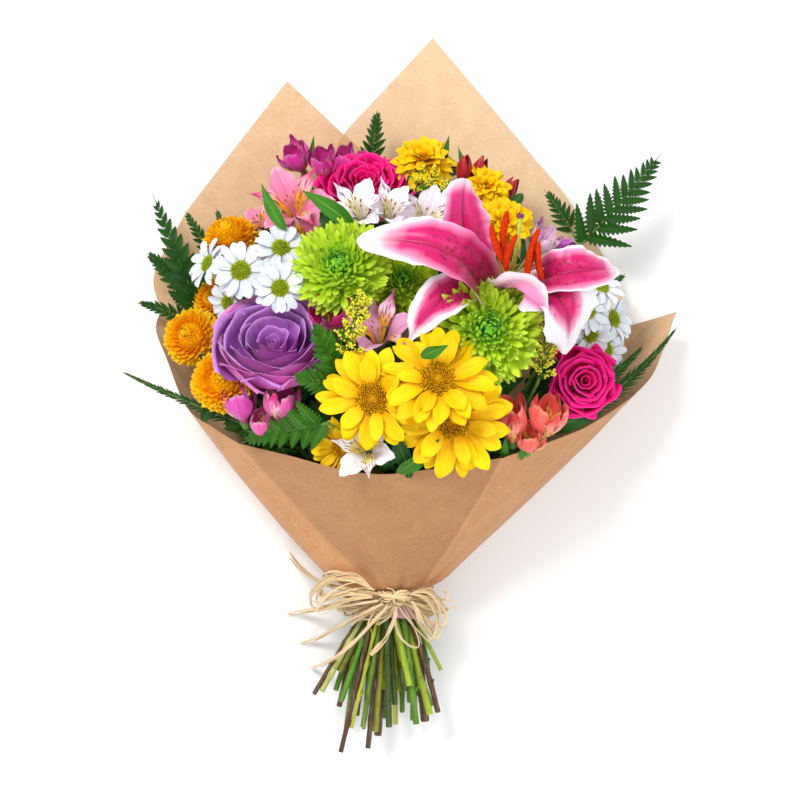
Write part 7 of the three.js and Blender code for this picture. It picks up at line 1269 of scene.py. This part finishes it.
def drops(bag, spots, normals, rng):
    """Water beads: flattened clear domes with a closed underside."""
    for o, n in zip(spots, normals):
        r = rng.choice([0.40, 0.55, 0.75, 1.0]) * rng.uniform(0.85, 1.1)
        buds(bag, M_DROP, [o - n * r * 0.25], n, r, r * 1.15, seg=8, dome=(0.3, 0.92, 1.0, 0.72, 0.06), rise=(0.0, 0.12, 0.40, 0.80, 1.0))


# ------------------------------------------------------------------ paper
def rim_line(E, per, corners):
    """The sheet's edge: smooth between its corners, straight where every place is a corner."""
    cuts = sorted(set([0, *corners, len(E) - 1]))
    out = []
    for i, j in zip(cuts[:-1], cuts[1:]):
        part = catmull(E[i : j + 1], per) if j - i > 1 else E[i] + (E[j] - E[i]) * (np.arange(per + 1) / per)[:, None]
        out.append(part[:-1])
    return np.vstack(out + [E[-1:]])


def sheet(node, edge, neck, fold, rise, mat, per, creases, ny, seed, soft=1.0, corners=(), facets=(), inner=None):
    """The creased kraft sheet: gathered at the tie, folded just above it, open at its edge."""
    E = np.array(edge, float)
    n = len(E) - 1
    fine = rim_line(E[:, :3], per, corners)
    u = np.linspace(0, n, len(fine))
    a = np.radians(np.interp(u, np.arange(n + 1), E[:, 3]))
    cs, sn = np.cos(a), np.sin(a)
    z0 = np.zeros_like(a)
    W = np.stack([TIE[0] + neck[0] * cs, TIE[1] + 1.4 + z0, TIE[2] + neck[1] * sn], 1)
    W0 = W.copy()
    W0[:, 1] = TIE[1] - 5.6
    K = np.stack([fold["x"] + fold["w"] * cs, np.where(sn > 0, fold["y"] - fold["front"] * sn, fold["y"] - fold["back"] * sn), TIE[2] + np.where(sn > 0, fold["up"], fold["down"]) * sn], 1)
    rows = [W0, W0 * 0.45 + W * 0.55, W]
    for t in (0.25, 0.5, 0.75):
        k = W * (1 - t) + K * t
        bulge = math.sin(math.pi * t) * 1.2
        k = k + np.stack([cs * bulge, -0.6 * bulge + z0, np.where(sn > 0, sn, 0.0) * bulge], 1)
        rows.append(k)
    rows.append(K)
    for j in range(1, ny + 1):
        t = j / ny
        b = rise * 4 * t * (1 - t)
        rows.append(K * (1 - t) + fine * t + np.stack([b * cs, z0, np.where(sn > -0.5, b * np.maximum(0, sn), 0.0)], 1))
    P = np.stack(rows)                                      # rows x columns x 3
    R, Cn = P.shape[:2]
    level = np.concatenate([np.linspace(-0.35, 0, 7), np.arange(1, ny + 1) / ny])
    # surface normals, outwards from the middle of the bunch
    du = np.gradient(P, axis=1)
    dv = np.gradient(P, axis=0)
    N = unit(np.cross(du, dv))
    hub = np.array([0.0, P[..., 1].mean(), 60.0])
    if (N * (P - hub)).sum(-1).mean() < 0:
        N = -N
    rng = seeded(node + str(seed))
    lev = level[:, None]
    uu = (u / n)[None]
    # gathers at the tie that fade out up the sheet
    gath = 0
    for k in range(5):
        fq, ph = rng.uniform(14, 46), rng.uniform(0, 6.28)
        gath = gath + np.sin(uu * fq * 6.28 * 0.5 + ph)
    disp = gath * 0.55 * np.exp(-((lev / 0.16) ** 2)) * np.where(lev > -0.12, 1, 0.5)
    # long soft dents and a few sharp handling creases
    for k in range(7):
        c0, dr, wd, am = rng.uniform(0, 1), rng.uniform(-0.25, 0.25), rng.uniform(0.012, 0.03), rng.uniform(-0.9, 0.9)
        disp = disp + am * soft * np.exp(-(((uu - c0 - dr * lev) / wd) ** 2)) * np.sin(np.pi * np.clip(lev, 0, 1)) ** 0.6
    for k in range(9):
        c0, l0, dr = rng.uniform(0, 1), rng.uniform(0.05, 0.8), rng.uniform(-1.2, 1.2)
        line = (uu - c0) - dr * 0.12 * (lev - l0)
        disp = disp + soft * 0.40 * np.exp(-np.abs(line) / 0.004) * np.exp(-(((lev - l0) / 0.22) ** 2)) * rng.choice([-1, 1])
    disp = disp + 0.35 * soft * np.sin(uu * 23 + lev * 5) * np.sin(lev * 9 + uu * 11)
    mark = np.zeros((R, Cn))
    for col, amp in creases:
        dist = np.abs(u[None] - col) / n
        disp = disp + amp * np.exp(-dist / 0.006) * smooth(lev, -0.05, 0.1)
        mark = np.maximum(mark, np.exp(-((dist / 0.0028) ** 2)) * smooth(lev, 0.0, 0.1))
    thick = 0.42
    low = P[..., 2] < 1.6
    disp = np.where(low, 0.25 * disp, disp)
    mid = P + N * disp[..., None]
    A, Bk = mid + N * thick / 2, mid - N * thick / 2
    for q in (A, Bk):
        q[..., 2] = np.maximum(q[..., 2], 0.05)
    bag = Bag()
    pt = np.zeros(P.shape)
    pt[..., 0] = uu
    pt[..., 1] = lev
    pt[..., 2] = mark
    f = grid(1, R - 1, Cn - 1)
    # which way round the outer face goes
    p0, p1, p2, p3 = (A.reshape(-1, 3)[f[len(f) // 2]][i] for i in range(4))
    if np.dot(np.cross(p1 - p0, p3 - p0), N[R // 2, Cn // 2]) < 0:
        f = f[:, ::-1]
    tone = np.ones(P.shape)
    for lo, hi, val in facets:                              # each facet catches the light differently
        tone *= np.where((u >= lo) & (u < hi), val, 1.0)[None, :, None] * np.where(lev > 0.02, 1.0, 1.0)[..., None]
    bag.add(A, f, mat, pt, tone.reshape(-1, 3))
    # the inner face takes the lighter, painted-light inside material when one is given
    bag.add(Bk, f[:, ::-1], inner or mat, pt, 1 + 0 * tone.reshape(-1, 3) if inner else tone.reshape(-1, 3))
    idx = np.arange(R * Cn).reshape(R, Cn)
    loop = np.concatenate([idx[0], idx[1:, -1], idx[-1, -2::-1], idx[-2:0:-1, 0]])
    nxt = np.roll(loop, -1)
    rim = np.stack([loop, nxt, nxt + R * Cn, loop + R * Cn], 1)
    both = np.vstack([A.reshape(-1, 3), Bk.reshape(-1, 3)])
    bag.add(both, rim, mat, np.vstack([pt.reshape(-1, 3)] * 2))
    return done(bag, node, "kraft_paper")


# ------------------------------------------------------------------ cords first: the raffia tails
def ribbon(bag, p, width, rng, flat=0.42, tw=2.5, rnd=None, seg=8):
    """One raffia strand: a flattened, folded and twisted leaf fibre."""
    n = len(p)
    s = np.linspace(0, 1, n)
    ph = rng.uniform(0, 6.28)
    r = width / 2 * (1 + 0.10 * np.sin(s * 17 + ph) + 0.05 * np.sin(s * 41 + ph))
    twist = tw * s + 0.5 * np.sin(s * 9 + ph)
    return tube(bag, M_RAFFIA, p, r, seg, flat=flat, twist=twist, rnd=rng.uniform(0, 1) if rnd is None else rnd, shape=lambda s_, a_: 1 + 0.10 * np.cos(2 * a_) + 0.06 * np.sin(3 * a_ + s_ / 9))


for name, pts in RAF["tails"].items():
    rng = seeded(name)
    p = catmull(pts, 9)
    bag = Bag()
    ribbon(bag, p, 2.9, rng, tw=rng.uniform(2, 5))
    T, A, B = frames_along(p)
    s = np.linspace(0, 1, len(p))
    side = A * np.cos(s * 5 + 1)[:, None] + B * np.sin(s * 5 + 1)[:, None]
    off = side * (0.9 + 1.2 * s)[:, None]
    q = p + off
    q[:, 2] = np.maximum(q[:, 2], 1.0)
    ribbon(bag, q[: int(len(q) * rng.uniform(0.80, 0.95))], 1.5, rng, tw=3)
    o = done(bag, name, "raffia")

KNOT = np.array(RAF["knot"], float)
for name, pts in RAF["loops"].items():
    rng = seeded(name)
    p = catmull(pts, 9)
    bag = Bag()
    s = np.linspace(0, 1, len(p))
    bow = np.sin(np.pi * s)[:, None]
    for k in range(12):
        ph = rng.uniform(0, 6.28, 3)
        cen = p.mean(0)
        grow = rng.uniform(-0.42, 0.16)
        q = p + (p - cen) * grow * bow * [0.7, 1.4, 0.6] + bow * np.stack([np.sin(s * 3 + ph[0]), np.sin(s * 4 + ph[1]) * 1.6, np.sin(s * 4 + ph[2]) * 1.3], 1) * 2.6
        turn = rng.uniform(-0.30, 0.22) if p[:, 0].mean() < KNOT[0] else rng.uniform(-0.75, 0.05)
        rel = q - KNOT
        ct, st = np.cos(turn * bow[:, 0]), np.sin(turn * bow[:, 0])
        q[:, 0], q[:, 1] = KNOT[0] + rel[:, 0] * ct - rel[:, 1] * st, KNOT[1] + rel[:, 0] * st + rel[:, 1] * ct
        q[:, 1] += bow[:, 0] * rng.uniform(-4, 3)
        q[:, 2] = np.maximum(q[:, 2], 2.0)
        ribbon(bag, q, rng.uniform(1.1, 2.3), rng, tw=rng.uniform(-5, 5))
    done(bag, name, "raffia")

# the turns round the neck, and the knot
rng = seeded("raffia_wrap")
bag = Bag()
KN = np.array(RAF["knot"])
for k in range(30):
    turns = rng.uniform(0.9, 1.05)
    y0 = TIE[1] + 1.8 - 14.5 * (k + 0.5) / 30
    a0 = rng.uniform(0, 6.28)
    t = np.linspace(0, 1, 50)
    ang = a0 + t * 6.2832 * turns
    rr = 30.7 + (k % 4) * 0.85 + 0.45 * np.sin(ang * 3 + k)
    px = TIE[0] + rr * np.cos(ang)
    yy = y0 + 2.0 * np.sin(ang + k * 1.3) + 0.8 * np.sin(ang * 2 + k) + (13.0 * np.exp(-(((px - 2.0) / 10.0) ** 2)) * (np.sin(ang) > 0) - 5.5) * ((k + 0.5) / 30)
    ribbon(bag, np.stack([TIE[0] + rr * np.cos(ang), yy, TIE[2] + rr * np.sin(ang)], 1), rng.uniform(1.1, 2.0), rng, tw=rng.uniform(-4, 4), seg=6)
for k in range(9):                        # strands crossing through the knot
    a = rng.normal(0.25, 0.75) + (1.5 if k % 4 == 3 else 0.0)
    d = np.array([math.cos(a) * rng.uniform(8, 13), math.sin(a) * rng.uniform(4, 7), 0])
    e = np.array([-math.sin(a), math.cos(a), 0]) * rng.uniform(-3.2, 3.2)
    t = np.linspace(-1, 1, 22)
    pts = KN + d * t[:, None] + e * np.sin(t * 3)[:, None] + np.array([0, 0, 1.0]) * (3.2 * (1 - t**2) - 0.6 * (k % 3) + 0.3)[:, None]
    ribbon(bag, pts, rng.uniform(1.6, 2.6), rng, tw=rng.uniform(-3, 3))
for k, (dx, dy, wx) in enumerate(((26, -26, 9), (30, -20, 12), (24, -34, 8), (38, -14, 10), (-10, -22, 8), (-16, -20, 10), (-26, -16, 12), (-34, -10, 10), (44, -8, 8), (14, -40, 14), (-40, -14, 6), (-30, -22, 8))):
    # loops that drop from the knot over the tape and the first of the stems
    t = np.linspace(0, 1, 40)
    go = np.sin(np.pi * t)
    x = KN[0] + dx * go + wx * np.sin(2 * np.pi * t) * 0.5
    y = KN[1] + dy * go**1.2 + 3.0 * np.sin(t * 9 + k)
    over = np.sqrt(np.clip((30.5 + 1.2 * (k % 3)) ** 2 - np.minimum(np.abs(x - TIE[0]), 29) ** 2, 9, None))
    z = TIE[2] + over + 2.2 + 1.5 * go * ((k % 4) / 3)
    ribbon(bag, np.stack([x, y, z], 1), rng.uniform(1.1, 2.1), rng, tw=rng.uniform(-5, 5), seg=6)
done(bag, "raffia_wrap", "raffia")

# tape under the raffia
rng = seeded("tape")
bag = Bag()
seg, rows = 72, 16
ang = np.arange(seg) / seg * 2 * math.pi
V, pt = [], []
for j in range(rows + 1):
    y = TIE[1] - 4.5 - (14.2 + 1.4 * np.sin(ang * 2 + 1.0)) * j / rows
    step = 0.28 * (np.sin(j * 1.9) > 0.2)
    r = 26.25 + step + 0.22 * np.sin(ang * 5 + j * 0.4) + 0.12 * np.sin(ang * 13 + j)
    V.append(np.stack([TIE[0] + r * np.cos(ang), y + 0.35 * np.sin(ang * 2 + 0.6) * (0.3 if j in (0, rows) else 1) + 0 * ang, TIE[2] + r * np.sin(ang)], 1))
for j in (rows, 0):
    q = V[j].copy()
    q[:, 0] = TIE[0] + (q[:, 0] - TIE[0]) * 0.985
    q[:, 2] = TIE[2] + (q[:, 2] - TIE[2]) * 0.985
    V.append(q)
V.append(V[0].copy())
V = np.stack(V)
bag.add(V, grid(1, len(V) - 1, seg, wrap=True), M_TAPE, np.zeros(V.shape) + 0.5)
done(bag, "stem_tape", "mauve_tape")

# ------------------------------------------------------------------ the three sheets
sheet("paper_front_wrap", D["front"], (29.0, 28.0), dict(FOLD), 3.0, M_PAPER, 9, [(7.0, 1.2), (13.0, 1.2), (15.2, 0.5), (17.2, 0.7)], 44, 1, corners=(2, 20, 21), facets=((0, 7, 1.30), (13, 15.2, 1.22), (15.2, 17.2, 1.15), (17.2, 30, 1.25)), inner=M_PAPER_INSIDE_LIT)
fl = dict(FOLD)
fl.update(w=FOLD["w"] - 3.2, up=FOLD["up"] - 4, down=FOLD["down"] - 2.0, y=FOLD["y"] + 2)
sheet("paper_back_left", D["left"], (27.2, 26.2), fl, 0.0, M_PAPERL, 9, [], 44, 2, soft=0.35, corners=(1, 2, 3, 4, 5, 6, 7))
fr = dict(FOLD)
fr.update(w=FOLD["w"] - 6.2, up=FOLD["up"] - 6, down=FOLD["down"] - 4.2, y=FOLD["y"] + 3)
sheet("paper_back_right", D["right"], (25.6, 24.7), fr, 0.0, M_PAPERR, 9, [], 44, 3, soft=0.35, corners=(1, 2, 3, 4, 5, 6))

# ------------------------------------------------------------------ flowers
SLOT = {m["node"]: m["material_slot"] for m in frame["record"]["subparts"]}
TOP = {n: max([h["base"][2] for h in d["heads"]] + [f["m"][2] for f in d["fronds"]]) for n, d in S.items()}


FE = np.array(D["front"])[:21]


def inside(p):
    """Whether a place is well within the cone of paper: between its lowest sheet and the front one."""
    k0, k1 = FOLD["y"], FE[:, 1]
    K = np.array([FOLD["x"], FOLD["y"], TIE[2]])
    # the front sheet's height over this place, going out along its own ray from the fold
    best, z = 1e9, 1e9
    for i in range(6, 20):
        E = FE[i, :3]
        d = (E - K)[:2]
        t = np.dot(p[:2] - K[:2], d) / np.dot(d, d)
        gap = np.linalg.norm(p[:2] - K[:2] - d * t)
        if gap < best:
            best = gap
            top = TIE[2] + FOLD["up"]
            z = top + (E[2] - top) * np.clip(t, 0, 1) if t < 1.02 else 1e9
    return 8 < p[2] < z - 12 and abs(p[0]) < 185 and p[1] > k0 + 6 and p[2] < 175


def foliage(bag, node, d, run, rng):
    """Leaves that the stem keeps inside the wrap, below its head."""
    p, s, T, A, B, at = run
    kind = d["kind"]
    if kind in ("fern", "solidago"):
        return
    form = {"rose": "rose", "alstro": "lance", "lily": "lance"}.get(kind, "mum")
    lo = s[-1] * 0.46
    cnt = {"rose": 5, "lily": 6, "alstro": 6}.get(kind, 5)
    for j in range(cnt):
        c = lo + (s[-1] - lo - 6) * (j + 0.5 + rng.uniform(-0.2, 0.2)) / cnt
        i = min(int(np.searchsorted(s, c)), len(p) - 2)
        pos = p[i]
        away = pos - np.array([0.0, pos[1], 70.0])
        a = j * GOLD + rng.uniform(-0.4, 0.4)
        o = unit(A[i] * math.cos(a) + B[i] * math.sin(a) + unit(away) * 0.55)
        L = {"rose": 34, "lily": 46, "alstro": 38}.get(kind, 36) * rng.uniform(0.75, 1.1)
        half = {"rose": 10.5, "lily": 7.0, "alstro": 6.0}.get(kind, 11.0) * rng.uniform(0.85, 1.1)
        out = unit(o * 0.75 + T[i] * 0.75)
        if pos[1] < -95 or pos[2] < 12:
            continue
        for _ in range(6):
            if inside(pos + out * L) and inside(pos + out * L * 0.6) and clear(pos + out * (L * np.linspace(0.3, 1.05, 5))[:, None]):
                break
            out = unit(out * [0.6, 1, 0.6] + [0, 0.5, 0.12])
            L *= 0.84
        else:
            continue
        leaf(bag, pos + o * d["r"] * 0.6, out, unit(np.cross(np.cross(out, [0, 0, 1.0]), out) + o * 0.3), L, half, rng, form, sag=rng.uniform(0.2, 0.8))


HEADS = [(n, h) for n, d in S.items() for h in d["heads"]]
HB, HN, HR = (np.array([h[k] for _, h in HEADS], float) for k in ("base", "n", "R"))
HN = unit(HN)


def clear(pts, own=None):
    """Whether a leaf along these places keeps below every head but its own."""
    d = pts[:, None] - HB[None]
    up = (d * HN[None]).sum(-1)
    r = np.linalg.norm(d - up[..., None] * HN[None], axis=-1)
    hit = (up > -4) & (up < HR * 1.1 + 14) & (r < HR * 0.98)
    # nothing may stand between a head and the eye
    over = (pts[:, None, 2] > HB[None, :, 2] + 2) & (np.linalg.norm(d[..., :2], axis=-1) < HR * 0.92)
    hit = hit | over
    if own is not None:
        hit[:, own] = False
    return not hit.any()


def collar(bag, node, h, rng):
    """Dark leaves that stand out from under a head and close the gaps between flowers."""
    t, R = h["type"], h["R"]
    own = int(np.argmin(np.linalg.norm(HB - np.array(h["base"]), axis=1)))
    if t in ("bud", "lily") or h["base"][2] < 60:
        return
    form = {"rose": "rose", "alstro": "lance"}.get(t, "mum")
    base, M = np.array(h["base"]), frame_of(h["n"], rng.uniform(0, 6.28))
    cnt = {"alstro": 5, "wdaisy": 4, "button": 4}.get(t, 6)
    for j in range(cnt):
        a = (j + rng.uniform(-0.25, 0.25)) / cnt * 6.2832
        d = M[0] * math.cos(a) + M[1] * math.sin(a)
        at = base - M[2] * rng.uniform(6, 16) + d * 2.0
        L = R * rng.uniform(0.95, 1.30) + 4
        lift = rng.uniform(-0.1, 0.25)
        for _ in range(5):
            out = unit(d + M[2] * lift)
            pts = at + out * (L * np.linspace(0.35, 1.05, 5))[:, None]
            if inside(pts[-1]) and inside(pts[2]) and clear(pts, own):
                break
            lift -= 0.28
            L *= 0.9
        else:
            continue
        half = {"rose": 8.5, "lance": 4.6}.get(form, 9.0) * rng.uniform(0.8, 1.1) * min(1.0, L / 34)
        leaf(bag, at, out, M[2] - d * 0.2, L, half, rng, form, sag=rng.uniform(0.1, 0.6))


EXTRA = D["leaves"]
WIDE = {"alstroemeria_coral": 0.42, "alstroemeria_magenta_low": 0.38, "alstroemeria_pink_low": 0.40, "alstroemeria_lilac": 0.66, "alstroemeria_magenta_mid": 0.48, "alstroemeria_white_low": 0.66,
        "alstroemeria_white_left": 0.75, "alstroemeria_white_right": 0.8, "alstroemeria_magenta_top": 0.46, "alstroemeria_purple_back": 0.48, "alstroemeria_pink": 0.85}
for node, d in S.items():
    rng = seeded(node)
    bag = Bag()
    run = stem(bag, node, d, rng)
    for c in d["ped"]:
        q = catmull(c, 6)
        tube(bag, M_STEM, q, np.linspace(1.35, 1.05, len(q)) * (1.0 if d["heads"] else 0.75), 7, tint=lin(112, 160, 60), rnd=0.0)
    foliage(bag, node, d, run, rng)
    for h in d["heads"]:
        t = h["type"]
        collar(bag, node, h, rng)
        if t == "rose":
            lav = node == "rose_lavender"
            rose(bag, h, rng, M_LAV if lav else M_MAG, node, wave=1.2 if lav else 2.4 if node.endswith("right") else 2.6, wet=10 if lav else 2, outer=M_LAVOUT if lav else None)
        elif t in ("spider", "button"):
            pompon(bag, h, rng, t, 0.65 if node.endswith("_back") else 1.0)
        elif t in ("daisy", "wdaisy"):
            daisy(bag, h, rng, white=t == "wdaisy", full=node in ("daisy_yellow_top", "daisy_yellow_back", "daisy_yellow_side"))
        elif t == "alstro":
            if node not in bpy.data.materials:
                alstro_mat(node, *ALS[node])
            alstro(bag, h, rng, bpy.data.materials[node], WIDE.get(node, 1.0))
        elif t == "bud":
            key = "alstroemeria_purple_bud" if node == "alstroemeria_purple_back" else node
            if key not in bpy.data.materials:
                alstro_mat(key, *ALS[key])
            bud(bag, h, rng, bpy.data.materials[key])
        elif t == "lily":
            lily(bag, h, rng)
    for f in d["fronds"]:
        (goldenrod(bag, f, rng) if d["kind"] == "solidago" else frond(bag, f, rng, node, M_FERNLT if node in ("fern_front_left", "fern_centre") else None))
    # listed extra leaves; the dark rose leaves of rose_magenta_right are partly real foliage and partly painted shade,
    # a dark thing put in the shaded gap beside the coral flowers
    for e in EXTRA.get(node, []):
        leaf(bag, np.array(e["a"]), np.array(e["b"]) - np.array(e["a"]), e["up"], np.linalg.norm(np.array(e["b"]) - np.array(e["a"])) * 1.04, e["w"], rng, e["form"], M_LEAF if e.get("bright") else None, sag=0.35)
    done(bag, node, SLOT[node])

# ------------------------------------------------------------------ the surface that it lies on
me = bpy.data.meshes.new("floor")
me.from_pydata([(-4, -4, 0), (4, -4, 0), (4, 4, 0), (-4, 4, 0)], [], [(0, 1, 2, 3)])
floor = bpy.data.objects.new("floor", me)
bpy.context.scene.collection.objects.link(floor)
m = Mat("floor_white", 0.9, 0.1)
m.base(m.mix(m.rng(m.noise(3, 2), 0.3, 0.7), (0.93, 0.93, 0.93), (0.95, 0.95, 0.95)))
me.materials.append(m.m)
